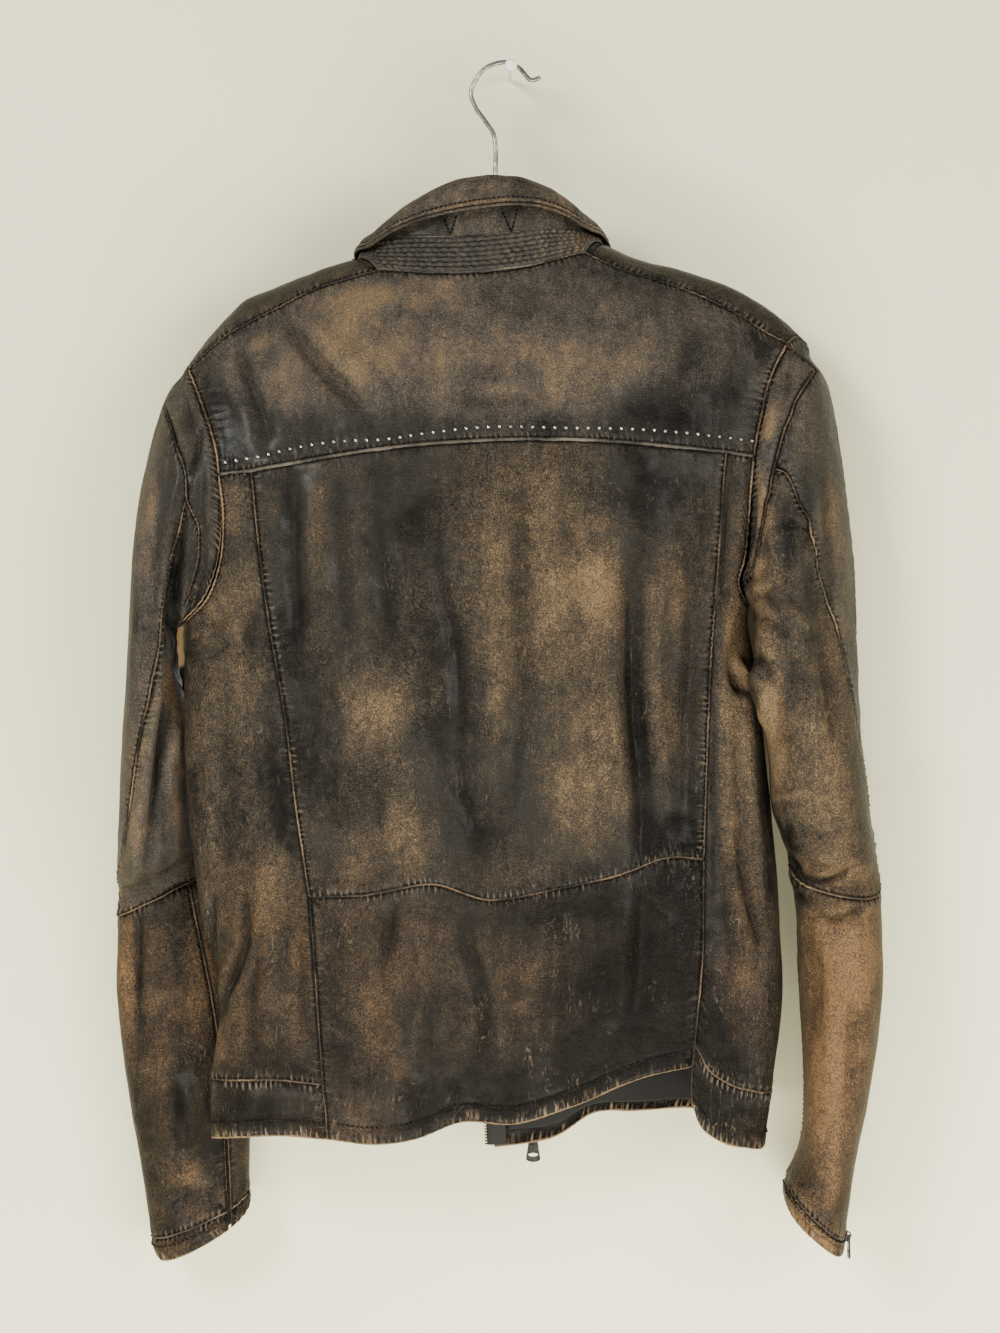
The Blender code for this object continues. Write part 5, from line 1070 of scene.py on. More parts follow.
def scratches():
    """Short light scratches: thin lines where stretched noise crosses its middle, kept only
    in some places."""
    n, given = group("scratches", {"Amount": 0.5}, "Scratch")
    where = n.place()
    found = None
    for turn, scale in ((0.6, 30.0), (-0.8, 38.0), (1.7, 26.0)):
        line = n.noise(n.stretched(where, (3.2, 1.0, 0.7), (0.0, turn, 0.0)), scale, 3.0, 0.5, 0.8)
        off = n.math("ABSOLUTE", n.less(line, 0.5))
        thin = n.less(1.0, n.fit(off, 0.0, 0.0080))
        kept = n.fit(n.noise(n.stretched(where, (1.0, 1.0, 1.0), (0.0, turn, 1.0)), 21.0, 2.0), 0.54, 0.66)
        one = n.times(thin, kept)
        found = one if found is None else n.math("MAXIMUM", found, one)
    broken = n.fit(n.noise(where, 300.0, 2.0), 0.38, 0.55)
    return n.give(Scratch=n.times(found, broken, given["Amount"]))


GROUPS = {make.__name__: make() for make in (leather_grain, rubbed_wear, seam_wear, scratches)}


def use(n, name, inputs):
    """A node group's outputs for these inputs."""
    return n.add("Group", inputs, node_tree=GROUPS[name]).outputs


def new_material(name):
    material = bpy.data.materials.new(name)
    material.use_nodes = True
    return material, Nodes(material.node_tree)


def complete(material, n, colour, roughness, bump, specular=0.5, more=None):
    """Ends a material. bump is its strength, its depth in metres and its height."""
    strength, depth, height = bump
    normal = n.add("Bump", {"Strength": strength, "Distance": depth, "Height": height})
    inputs = {
        "Base Color": colour, "Roughness": roughness, "Normal": normal.outputs[0],
        "Specular IOR Level": specular, **(more or {}),
    }
    shader = n.add("BsdfPrincipled", inputs)
    n.add("OutputMaterial", {"Surface": shader.outputs[0]})
    return material


CHARCOAL = (0.0060, 0.0056, 0.0048, 1.0)
RIM = (0.190, 0.128, 0.076, 1.0)
# Pale colours of scratches and ticks, which are wear, and of painted highlights on the ticks and on pucker
# tops, at seams and at hems.
PALE_WEAR_AND_HIGHLIGHT = (0.130, 0.105, 0.080, 1.0)
HEM_WEAR_AND_HIGHLIGHT = (0.170, 0.120, 0.075, 1.0)
DUSTY = (0.044, 0.041, 0.035, 1.0)  # a greyed bloom on dark leather
PAINTED_SHADE = (0.004, 0.0035, 0.003, 1.0)  # painted shade, laid into creases, pucker hollows and seam grooves, and between pebbles
WARMER = (1.0, 0.88, 0.78, 1.0)  # what tints the leather below the waist
# The finish as it wears: how rubbed it is, then its colour.
RUBBED = [
    (0.00, (0.0032, 0.0028, 0.0024)), (0.22, (0.0120, 0.0102, 0.0080)), (0.42, (0.0350, 0.0290, 0.0220)),
    (0.62, (0.0680, 0.0505, 0.0340)), (0.82, (0.1160, 0.0785, 0.0450)), (1.00, (0.2050, 0.1360, 0.0740)),
]


def worn_leather(name, base, sand=0.75, clouds=0.6, scratched=0.5, seams=1.0, gloss=0.07, taupe=0):
    """Charcoal leather rubbed through to brown and tan, as its piece's values say.

    base lifts the wear all over; sand is how speckled it is, scratched how scratched, and
    taupe how grey its brown is.
    """
    material, n = new_material(name)
    wear = n.plus(n.value("wear"), base)
    crease = n.value("crease")
    rubbed = use(n, "rubbed_wear", {
        "Wear": wear, "Dark": n.times(n.value("char"), 0.42), "Crease": crease,
        "Clouds": clouds, "Sand": sand,
    })
    edge = use(n, "seam_wear", {
        "Edge": n.value("edge"), "Run": n.value("run"), "Hem": n.value("hem"),
        "Gather": n.value("gather"), "Amount": seams,
    })
    grain = use(n, "leather_grain", {"Pebble": 460.0, "Wrinkle": 1.0})
    marks = use(n, "scratches", {"Amount": scratched})
    ramp = n.add("ValToRGB", {"Fac": rubbed["Rubbed"]})
    stops = ramp.color_ramp.elements
    while len(stops) < len(RUBBED):
        stops.new(0.5)
    for stop, (at, colour) in zip(stops, RUBBED):
        stop.position = at
        stop.color = (*colour, 1.0)
    up = n.add("SeparateXYZ", {0: n.place()}).outputs["Z"]
    warmth = n.mix(n.fit(up, -0.68, -0.54), WARMER, (1.0, 1.0, 1.0, 1.0))
    tinted = n.tint(ramp.outputs["Color"], warmth)
    greyer = {"Saturation": 1.0 - 0.42 * taupe, "Value": 1.0 + 0.10 * taupe, "Color": tinted}
    muted = n.add("HueSaturation", greyer).outputs[0]
    muted = n.mix(n.fit(rubbed["Rubbed"], 0.92, 0.66), tinted, muted)
    cloudy = n.noise(n.place(), 11.0, 7.0, 0.68, 0.5)
    greyed = n.times(n.fit(cloudy, 0.42, 0.60, 0.0, 0.40), n.fit(rubbed["Rubbed"], 0.65, 0.15))
    # The grey bloom is kept off deep char and painted shade, and thins towards the bottom.
    bloom_kept = n.times(n.fit(n.value("char"), 1.2, 0.8), n.fit(up, -0.70, -0.56, 0.15, 1.0))
    colour = n.mix(n.times(greyed, bloom_kept), muted, DUSTY)
    # Painted shade: darker in creases, between pebbles, in pucker hollows and in seam grooves.
    painted_shade_amount = n.plus(
        n.times(n.fit(crease, -0.05, -0.8), 0.34), n.times(grain["Hollow"], 0.30),
        n.times(n.fit(edge["Pucker"], -0.1, -0.9), 0.34), n.times(edge["Dark"], 0.80), clamp=True,
    )
    colour = n.mix(painted_shade_amount, colour, PAINTED_SHADE)
    # The ticks are lighter partly as wear and partly as painted highlight, the pucker tops as painted
    # highlight, and the scratches as wear.
    ticks_worn_and_lit = n.times(edge["Ticks"], n.plus(0.30, n.times(n.value("hem"), 0.75)))
    pucker_highlight = n.times(n.fit(edge["Pucker"], 0.25, 0.95), 0.55)
    light = n.plus(ticks_worn_and_lit, n.times(marks["Scratch"], 0.70), pucker_highlight, clamp=True)
    colour = n.mix(light, colour, n.mix(n.value("hem"), PALE_WEAR_AND_HIGHLIGHT, HEM_WEAR_AND_HIGHLIGHT))
    colour = n.mix(n.times(edge["Rubbed"], 0.85), colour, RIM)
    rough = n.plus(0.30, n.times(n.fit(rubbed["Rubbed"], 0.1, 0.7), 0.30))
    rough = n.less(rough, n.times(n.fit(n.value("edge"), 0.016, 0.004), 0.07))
    rough = n.plus(rough, n.about(rubbed["Cloud"], -0.30), n.times(grain["Hollow"], 0.10), clamp=True)
    polish = n.fit(n.noise(n.place(), 55.0, 4.0, 0.65), 0.40, 0.62, 0.02, 0.11)
    polish = n.times(polish, n.fit(rubbed["Rubbed"], 0.65, 0.20))
    height = n.plus(grain["Height"], n.times(edge["Ticks"], 0.5), n.times(edge["Pucker"], 0.55))
    height = n.less(height, n.times(edge["Dark"], 0.9))
    coat = {"Coat Weight": polish, "Coat Roughness": 0.24}
    return complete(material, n, colour, rough, (0.8, 0.0009, height), gloss, coat)


def worn_welt(name, brown, rim):
    """A seam's ridge, rubbed from charcoal to brown and on to its rim colour."""
    material, n = new_material(name)
    where = n.place()
    cloud = n.noise(where, 30.0, 4.0, 0.6)
    fine = n.noise(where, 520.0, 3.0, 0.7)
    wear = n.plus(n.value("wear"), n.about(cloud, 1.8), n.about(fine, 0.9))
    colour = n.mix(n.fit(wear, -0.1, 0.40), CHARCOAL, brown)
    colour = n.mix(n.fit(wear, 0.20, 0.95), colour, rim)
    height = n.plus(fine, n.noise(where, 1500.0))
    return complete(material, n, colour, n.fit(fine, 0.3, 0.7, 0.42, 0.62), (0.5, 0.0004, height), 0.2)


def cloth(name, dark, light, scale, rough, sheen):
    """A woven cloth: two sets of threads, over and under each other."""
    material, n = new_material(name)
    where = n.place()
    places = n.add("SeparateXYZ", {0: where}).outputs
    threads = n.times(*(n.math("SINE", n.times(places[axis], scale)) for axis in (0, 2)))
    fuzz = n.noise(where, 900.0, 3.0)
    height = n.plus(threads, fuzz)
    colour = n.mix(n.fit(height, -0.6, 1.4), dark, light)
    roughness = n.fit(fuzz, 0.2, 0.8, rough - 0.05, rough + 0.05)
    more = {"Sheen Weight": sheen}
    return complete(material, n, colour, roughness, (0.35, 0.0002, height), 0.2, more)


def metal(name, colour, dull, rough):
    """Metal with handling marks: brighter where rubbed, dull where tarnished."""
    material, n = new_material(name)
    where = n.place()
    marks = n.noise(where, 220.0, 4.0, 0.6)
    lines = n.noise(n.stretched(where, (900.0, 900.0, 60.0)), 1.0, 2.0)
    worn = n.fit(n.plus(n.times(marks, 0.7), n.times(lines, 0.3)), 0.36, 0.62)
    roughness = n.fit(worn, 0.0, 1.0, rough + 0.16, rough)
    bump, metallic = (0.15, 0.0002, lines), {"Metallic": 1.0}
    return complete(material, n, n.mix(worn, dull, colour), roughness, bump, more=metallic)


def turned_wood(name):
    """Varnished wood with its grain along the bar."""
    material, n = new_material(name)
    where = n.place()
    rings = n.noise(n.stretched(where, (9.0, 160.0, 160.0)), 1.0, 5.0, 0.6, 0.6)
    pores = n.noise(n.stretched(where, (60.0, 900.0, 900.0)), 1.0, 2.0)
    colour = n.mix(n.fit(rings, 0.35, 0.65), (0.30, 0.17, 0.08, 1.0), (0.50, 0.33, 0.18, 1.0))
    colour = n.mix(n.fit(pores, 0.60, 0.72, 0.0, 0.5), colour, (0.16, 0.09, 0.045, 1.0))
    return complete(material, n, colour, n.fit(rings, 0.3, 0.7, 0.32, 0.44), (0.2, 0.0002, pores))


def thread(name, dark, light):
    material, n = new_material(name)
    where = n.place()
    twist = n.noise(where, 2400.0, 2.0)
    wide = n.noise(where, 60.0, 2.0)
    colour = n.mix(n.fit(wide, 0.42, 0.66), dark, light)
    return complete(material, n, colour, n.fit(twist, 0.3, 0.7, 0.6, 0.8), (0.5, 0.0002, twist), 0.1)


# ---- the cut pieces --------------------------------------------------------------------

TORSO_CELL, SLEEVE_CELL = (9.5, 0.038), (24.0, 1.0)
SHOWN, HIDDEN = ((0.0024, 0.0041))  # grid spacing


def seam(points, front=0, count=60):
    """A seam through points at x and z, in the torso's two parameters."""
    return locate(along(points, count), front)


def chain(*lines):
    """Lines end to end as one, each shared corner once."""
    lines = [np.asarray(line, float) for line in lines]
    return np.concatenate([line[:-1] for line in lines[:-1]] + lines[-1:])


def evenly(points, count=80):
    """A smooth line through points in the torso's two parameters."""
    return along(np.asarray(points) / TORSO_CELL, count) * TORSO_CELL


def straight(a, b, count=40):
    return np.linspace(a, b, count + 1)


def cut_torso():
    """The body's panels, and the lines that the sleeves and the collar are sewn to."""
    panels = {}
    yoke, waist, neck = seam(YOKE_SEAM), seam(WAIST_SEAM), seam(NECK_BACK)
    sides = {name: dict(lines) for name, lines in SIDE_LINES.items()}
    left, right = sides["left"], sides["right"]
    for side in (left, right):
        for key in ("shoulder", "upper", "arm", "back", "lower"):
            side[key] = seam(side[key])
        side["stub"] = seam(side["stub"], count=4)

    def cut(name, low, high, first, last, spacing, **more):
        panels[name] = Panel(name, torso, TORSO_CELL, 1.0, low, high, first, last, spacing, **more)

    cut(
        "back_yoke", chain(left["stub"], yoke, right["stub"][::-1]),
        chain(left["shoulder"][::-1], neck, right["shoulder"]),
        left["upper"][::-1], right["upper"][::-1], SHOWN,
    )
    cut("back_centre", waist, yoke, left["back"][::-1], right["back"][::-1], SHOWN)
    cut(
        "back_lower", seam(BACK_HEM), waist,
        chain(seam([HEM_L, BAND_L], count=6), left["lower"][::-1]),
        chain(seam([HEM_R, BAND_R], count=6), right["lower"][::-1]), SHOWN,
    )
    joins = {}
    for name, side in sides.items():
        sign = side["sign"]
        turn = side["arm"][-1]
        start = over_the_top([side["tip"]])
        foot = np.array([[sign * FRONT_SEAM, turn[1] + 0.006]])
        arm_front = evenly(np.concatenate([start, locate(side["arm_front"], sign), foot]))
        under = evenly(np.stack([foot[0], turn]), 20)
        top_back, top_front = locate(side["top_back"]), locate(side["top_front"], sign)
        corner = np.array([[sign * FRONT_SEAM, (top_back[-1, 1] + top_front[0, 1]) / 2]])
        band_side = evenly(np.concatenate([top_back, corner]))
        band_front = evenly(np.concatenate([corner, top_front]))
        side_seam = evenly(np.stack([foot[0], corner[0]]))
        outer = chain(side_seam[::-1], under, side["arm"][::-1])
        inner = chain(side["lower"][::-1], side["back"][::-1])
        bend = ("first", "last")[sign > 0], (0, 0.74, 0.82, 1), (0, 0.61, 0.81, 1)
        edges = band_side[::-1], side["stub"], outer, inner
        if sign > 0:
            edges = band_side, side["stub"][::-1], inner, outer
        cut("back_side_" + name, *edges, SHOWN, bend=bend)
        over = over_the_top(along(SIDE_LINES[name]["shoulder"], 60))
        ridge = (side["ridge_x"], smooth(side["ridge_x"], SHOULDER["x"], SHOULDER["z"]))
        neck_front = evenly(np.concatenate([over[:1], locate([ridge, *side["neck"]], sign)]))
        edge = locate(along(side["edge"], 80), sign)
        neck_front[-1] = edge[0]
        band_front[-1] = edge[-1]
        cut(
            "front_" + name, band_front, over[::-1], chain(side_seam[::-1], arm_front[::-1]),
            chain(edge[::-1], neck_front[::-1]), HIDDEN,
        )
        low = evenly(np.concatenate([locate(side["low_back"]), locate(side["low_front"], sign)]), 160)
        end = evenly(np.stack([low[-1], edge[-1]]), 10)
        cut(
            "hem_band_" + name, low, chain(band_side, band_front), seam(side["inner"], count=20), end,
            (SHOWN + HIDDEN) / 2,
        )
        joins[name] = dict(
            armhole=(side["upper"], side["arm"], arm_front, under), neck=neck_front,
        )
    return panels, joins, neck


def armhole_ring(upper, lower, front, under):
    """The armhole as a function of TURN: the shoulder's tip at 0 and the underarm at 180."""
    back, fore = (torso(*chain(*pair).T) for pair in ((upper, lower), (front, under)))
    back_at, fore_at = (180 * run_of(p) / run_of(p)[-1] for p in (back, fore))

    def ring(turn):
        turn = np.mod(turn, 360)
        first, second = (
            np.stack([np.interp(here, at, column) for column in line.T], axis=1)
            for here, at, line in ((turn, back_at, back), (360 - turn, fore_at, fore))
        )
        return np.where((turn <= 180)[:, None], first, second)

    return ring


def cut_sleeve(name, sign, rings, armhole, shapes):
    """The gusset, the sleeve's two halves to the elbow, the forearm's two, and the cuff."""
    surface = make_sleeve(rings, armhole_ring(*armhole))
    gusset = locate_on_sleeve(surface, along(shapes["gusset"], 8))
    gusset_low = locate_on_sleeve(surface, along(shapes["gusset_low"], 10))
    gusset_low[0] = gusset[-1]
    back = locate_on_sleeve(surface, along(shapes["back"], 9))
    back[0] = gusset[-1]
    back = along(np.concatenate([back, shapes["back_end"]]) / SLEEVE_CELL, 80) * SLEEVE_CELL
    gusset, gusset_low = (along(line / SLEEVE_CELL, 30) * SLEEVE_CELL for line in (gusset, gusset_low))
    fore, foot = FRONT_TURN, TIP_TURN
    panels = {}

    def cut(part, low, high, first, last, spacing):
        key = part + "_" + name
        panels[key] = Panel(key, surface, SLEEVE_CELL, sign, low, high, first, last, spacing)

    cut(
        "sleeve_gusset", straight(gusset_low[-1], (foot, 0)), straight(gusset[0], (0, 0)),
        chain(gusset_low[::-1], gusset[::-1]), straight((foot, 0), (0, 0)), SHOWN,
    )
    cut(
        "sleeve_top", straight((fore - 360, ELBOW), back[-1]),
        chain(straight((fore - 360, 0), (0, 0)), straight((0, 0), gusset[0], 6), gusset),
        straight((fore - 360, ELBOW), (fore - 360, 0), 80), back[::-1], SHOWN,
    )
    cut(
        "sleeve_under", straight(back[-1], (fore, ELBOW)),
        chain(gusset_low, straight(gusset_low[-1], (foot, 0), 6), straight((foot, 0), (fore, 0))),
        back[::-1], straight((fore, ELBOW), (fore, 0), 80), SHOWN,
    )
    vent, fold = shapes["vent_turn"], shapes["fold_turn"]

    def vented(turn, gap):
        """An edge from the cuff to the elbow that stands back by gap below the vent."""
        if not gap:
            return straight((turn, CUFF), (turn, ELBOW), 60)
        foot, corner, meets = (turn + gap, CUFF), (turn + gap, VENT), (turn, VENT - 0.1)
        return chain(
            straight(foot, corner, 20), straight(corner, meets, 4), straight(meets, (turn, ELBOW))
        )

    for half, first, last in (("outer", fold - 360, vent), ("inner", vent, fold)):
        first_gap, last_gap = (VENT_GAP if at == vent else 0.0 for at in (first, last))
        cut(
            "forearm_" + half, straight((first + first_gap, CUFF), (last - last_gap, CUFF)),
            straight((first, ELBOW), (last, ELBOW)), vented(first, first_gap), vented(last, -last_gap),
            SHOWN if half == shapes["shown_half"] else HIDDEN,
        )
    first, last = vent - 360 + VENT_GAP, vent - VENT_GAP
    cut(
        "cuff", *(straight((first, ring), (last, ring), 80) for ring in (CUFF_EDGE, CUFF)),
        *(straight((turn, CUFF_EDGE), (turn, CUFF), 4) for turn in (first, last)), SHOWN,
    )
    return surface, panels


FRONT_TURN, TIP_TURN = 235.0, 165.0  # of a sleeve's front seam and of its gusset's tip
SLEEVES = {
    "left": dict(
        gusset=GUSSET_L, gusset_low=GUSSET_LOW_L, back=SLEEVE_BACK_L,
        back_end=[(28.0, 9.0), (26.0, 10.0), (25.0, ELBOW)],
        vent_turn=126.0, fold_turn=290.0, shown_half="outer",
    ),
    "right": dict(
        gusset=GUSSET_R, gusset_low=GUSSET_LOW_R, back=SLEEVE_BACK_R,
        back_end=[(4.0, 7.5), (-4.0, 9.0), (-8.0, ELBOW)],
        vent_turn=-14.0, fold_turn=200.0, shown_half="inner",
    ),
}

body, joins, neck_line = cut_torso()
sleeve_at, sleeves = {}, {}
for name, sign, rings in (("left", -1.0, LEFT_SLEEVE), ("right", 1.0, RIGHT_SLEEVE)):
    sleeve_at[name], sleeves[name] = cut_sleeve(name, sign, rings, joins[name]["armhole"], SLEEVES[name])

SEEDS = {"body": 10, "left": 101, "right": 151}
# What the sides of a panel are where they aren't plain seams, and where its folds die out.
TIGHT, OPEN = {"first": "tight", "last": "tight"}, {"first": "tight", "last": "edge"}
SEWN = {
    "back_yoke": ({}, "first last"), "back_centre": ({"high": "tight"}, ""),
    "back_lower": ({"low": "hem", **TIGHT}, ""), "back_side_left": ({"last": "tight"}, "first"),
    "back_side_right": ({"first": "tight"}, "last"), "front": (OPEN, "first"),
    "hem_band": ({"low": "hem", **OPEN}, ""), "sleeve_gusset": ({"first": "tight"}, "first last"),
    "sleeve_top": ({"first": "tight"}, "high"), "sleeve_under": ({"last": "tight"}, "high"),
    "forearm": (TIGHT, ""), "cuff": ({"low": "hem", "first": "edge", "last": "edge"}, ""),
}
for group, panels in {"body": body, **sleeves}.items():
    for number, (name, panel) in enumerate(panels.items()):
        kinds, hold = next(row for starts, row in SEWN.items() if name.startswith(starts))
        dress(panel, kinds, hold, group, SEEDS[group] + 7 * number)

charcoal = worn_leather("charcoal leather", base=0.385, scratched=0.8)
tan_leather = worn_leather("tan worn leather", base=0.42, scratched=0.8)
hem_leather = worn_leather("hem leather", base=0.37, scratched=1.0, seams=2.0)
facing = worn_leather("facing leather", base=-0.10, scratched=0.3, seams=1.4)
smooth_leather = worn_leather("smooth worn leather", base=0.44, sand=0.50, clouds=0.5, taupe=0.75)
quilted = worn_leather("quilted leather", base=0.10, sand=0.4, seams=0.4, gloss=0.20, taupe=0.6)
satin = cloth("lining satin", (0.004, 0.004, 0.004, 1.0), (0.014, 0.013, 0.012, 1.0), 5200.0, 0.62, 0.04)
tape_cloth = cloth("zip tape", (0.008, 0.008, 0.008, 1.0), (0.030, 0.028, 0.026, 1.0), 4200.0, 0.85, 0.3)
steel = metal("hook steel", (0.46, 0.45, 0.42, 1.0), (0.17, 0.165, 0.15, 1.0), 0.26)
dark_metal = metal("zip metal", (0.050, 0.046, 0.040, 1.0), (0.014, 0.013, 0.012, 1.0), 0.36)
wood = turned_wood("hanger wood")

# Which finish a panel is cut from, by how its name starts. The rest are charcoal.
FINISHES = {
    ("forearm", "cuff"): (tan_leather, "tan_leather"),
    ("hem_band",): (hem_leather, "charcoal_leather"),
    ("back_yoke", "sleeve_gusset", "sleeve_top", "sleeve_under_left"): (smooth_leather, "charcoal_leather"),
}
for panel in [*body.values(), *sleeves["left"].values(), *sleeves["right"].values()]:
    finish, slot = charcoal, "charcoal_leather"
    for starts, pair in FINISHES.items():
        if panel.name.startswith(starts):
            finish, slot = pair
    faced = panel.name.startswith(("hem_band", "front"))
    sew(panel, finish, slot, lining=facing if faced else satin)


# ---- the collar ------------------------------------------------------------------------


def collar_lines(count):
    """The neck seam and the collar's three lines, at evenly spread places round the neck."""
    line = chain(joins["left"]["neck"][::-1], neck_line, joins["right"]["neck"])
    base = torso(*line.T)
    run = run_of(base)
    left, right = len(joins["left"]["neck"]), len(joins["right"]["neck"])
    ridge_l = run[np.argmin(np.abs(line[:left, 1] - RIDGE))]
    ridge_r = run[len(line) - right + np.argmin(np.abs(line[-right:, 1] - RIDGE))]
    stops = [0, ridge_l, (ridge_l + ridge_r) / 2, ridge_r, run[-1]]
    at = np.linspace(0, run[-1], count)
    base = np.stack([np.interp(at, run, column) for column in base.T], axis=1)
    turn = np.interp(at, stops, [-180, -90, 0, 90, 180])
    lines = {
        part: smooth(turn, COLLAR["turn"], np.stack([COLLAR[f"{part}_{axis}"] for axis in "xyz"], axis=1))
        for part in ("band", "fold", "edge")
    }
    return at, turn, base + (0, 0, BAND_RISE), lines["band"], lines["fold"], lines["edge"]


def outward_of(points):
    """Unit normals of a grid of points, on the side its rows by columns give."""
    across, up = np.gradient(points, axis=1), np.gradient(points, axis=0)
    out = np.cross(across, up)
    return out / np.maximum(np.linalg.norm(out, axis=-1, keepdims=True), 1e-12)


QUILTS = 7  # channels of the band
GATHER_PITCH = 0.0062  # from one small gather to the next, in the band and at the fall's edge
at, turn, base, band, fold, edge = collar_lines(360)
across = at[None, :]
t = np.linspace(0, 1, 43)[:, None]
rise = base[None] + (band - base)[None] * t[..., None]
out = outward_of(rise)
turned = np.radians(turn)
inward = (out[..., 1] * np.cos(turned) - out[..., 0] * np.sin(turned)).mean() > 0
out = -out if inward else out
channel = np.abs(np.sin(math.pi * QUILTS * t)) ** 0.55
place = np.stack([across + 0 * t, 0.02 * t + 0 * across, 0 * across + 0 * t], axis=-1)
phase = 4 * waves(place * (1, 6, 1), 0.03, 41) + 2.4 * np.floor(QUILTS * t)
gathers = np.sin(2 * math.pi * across / GATHER_PITCH + phase)
gathers = gathers * (0.7 + 0.5 * waves(place * (1, 8, 1), 0.02, 45))
quilt = 0.0018 * channel + 0.00085 * channel * gathers
quilt += 0.0005 * waves(place, 0.03, 42) * np.sin(math.pi * t)
band_points = rise + out * (quilt - 0.0005)[..., None]


def collar_piece(name, points, wall, material, slot, looks, laid):
    """One of the collar's two pieces. laid is its grid of points without its relief."""
    mesh = grid_mesh(name, points)
    for key in ("wear", "char", "crease", "edge", "run", "hem"):
        keep_value(mesh, key, np.broadcast_to(looks.get(key, 0.0), points.shape[:2]))
    piece = piece_of(name, mesh, [material, material], slot=slot)
    thicken(piece, wall)
    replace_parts(piece, name.removesuffix("_leather"))
    flat = tuple(float(lengths(laid, axis)[1].max()) for axis in (1, 0))


# The gathers' tops are lighter and their hollows darker, partly as wear and partly as painted highlight and
# painted shade. The band is also lighter towards its right end.
band_wear_and_highlight = 0.44 + 0.10 * waves(place, 0.04, 43) + 0.20 * channel * gathers
collar_piece(
    "collar_band_leather", band_points, BAND_WALL, quilted, "quilted_leather",
    dict(
        wear=band_wear_and_highlight + 0.30 * step(band_points[..., 0], -0.010, 0.045),
        char=0.20 + 0.2 * waves(place, 0.06, 44),
        # crease: lowest in the channels between the ribs, where the finish paints shade.
        crease=channel * 1.9 - 1.2 + 0.5 * gathers * channel, edge=0.05, run=across,
    ),
    band_points,
)

ahead = (fold - band) / np.linalg.norm(fold - band, axis=1, keepdims=True)
start = band + ahead * STAND_GAP
over = edge - band
over[:, 2] = 0
over /= np.linalg.norm(over, axis=1, keepdims=True)
profile = np.stack([
    start, *(start + (fold - start) * share for share in FOLD_AT[:2]), fold + over * FOLD_OUT[0],
    *(fold + (edge - fold) * FOLD_AT[k + 1] + over * FOLD_OUT[k] for k in (1, 2)), edge,
])
tall = run_of(profile.mean(axis=1))
rows = graded(float(tall[-1]), 0.0016, 0.0008, 0.008) * tall[-1]
leaf = smooth(rows, tall, profile.reshape(len(profile), -1)).reshape(len(rows), -1, 3)
out = outward_of(leaf)
out = out * np.sign((out[len(rows) // 3] * over).sum())
up, height = lengths(leaf, 0)
gap = height - up
place = np.stack([leaf[..., 0], leaf[..., 1] * 0.5, leaf[..., 2]], axis=-1)
bead = 0.0011 * (1 - step(gap, 0.0045, 0.0068)) - dip(gap, 0.0006, 0.0008)
bead = bead - dip(gap - 0.0064, 0.0007, 0.0010) - dip(gap - 0.0024, 0.0011, 0.0007)
ripple = 0.0006 * waves(leaf, 0.05, 46) + 0.0003 * waves(leaf, 0.016, 47)
ripple = ripple * step(up, 0.0, 0.008)
puckered = puckers(across + 0 * gap, np.abs(gap - 0.004), 48, GATHER_PITCH, 0.00035, 0.006)
fall = step(up / height, 0.40, 0.55)
turned_over = np.where(fall > 0.5, -1.0, 1.0)
out = out * turned_over[..., None]
leaf_points = leaf + out * (bead + puckered + ripple * turned_over)[..., None]
worn_leaf = 0.42 + 0.14 * waves(leaf, 0.045, 49) + dip(up / height - 0.46, 0.30, 0.10)
collar_piece(
    "collar_leaf_leather", leaf_points, COLLAR_WALL, smooth_leather, "charcoal_leather",
    dict(
        # The light line along the fall's rolled edge is partly wear and partly painted highlight.
        wear=worn_leaf + dip(gap - 0.0042, 0.35, 0.0013) * fall,
        char=0.10 + 0.25 * waves(leaf, 0.06, 50) + 0.5 * (1 - fall), crease=np.clip(ripple / 0.0012, -1, 1),
        # edge: from the groove 2.4 mm in from the fall's edge, where the finish paints a dark line of shade.
        edge=np.abs(gap - 0.0024) * 2 + 0.0008, run=across, hem=0.0,
    ),
    leaf,
)


# ---- linings, tapes and the hanger -------------------------------------------------------


UNDER_LEATHER = -(LEATHER / 2 + TAPE_GAP + SATIN / 2)


def plain_sheet(name, surface, cell, sign, sides, spacing, finish, rests_on, relief=None):
    """A cut of cloth that lies under the leather. Returns its panel."""
    panel = Panel(name, surface, cell, sign, *sides, spacing)
    lift = UNDER_LEATHER + (relief(panel) if relief else 0 * panel.base[..., 0])
    panel.base = panel.points = panel.base + panel.out * lift[..., None]
    panel.look = {}
    node = name.replace("_satin", "").replace("_cloth", "")
    sew(panel, *finish, node, SATIN, rests_on=rests_on)
    return panel


def lining_folds(panel):
    soft = 0.0005 * waves(panel.base, np.array([0.030, 0.03, 0.10]), 61)
    return soft * np.minimum(1, step(panel.gap["low"], 0, 0.02) + 0.3) - 0.0004


plain_sheet(
    "lining_right_satin", torso, TORSO_CELL, 1.0,
    (
        seam(LINING_LOW, 1), seam(LINING_HIGH, 1),
        *(seam([LINING_LOW[end], LINING_HIGH[end]], 1) for end in (0, -1)),
    ),
    HIDDEN, (satin, "lining_satin"), "front_right_leather", lining_folds,
)

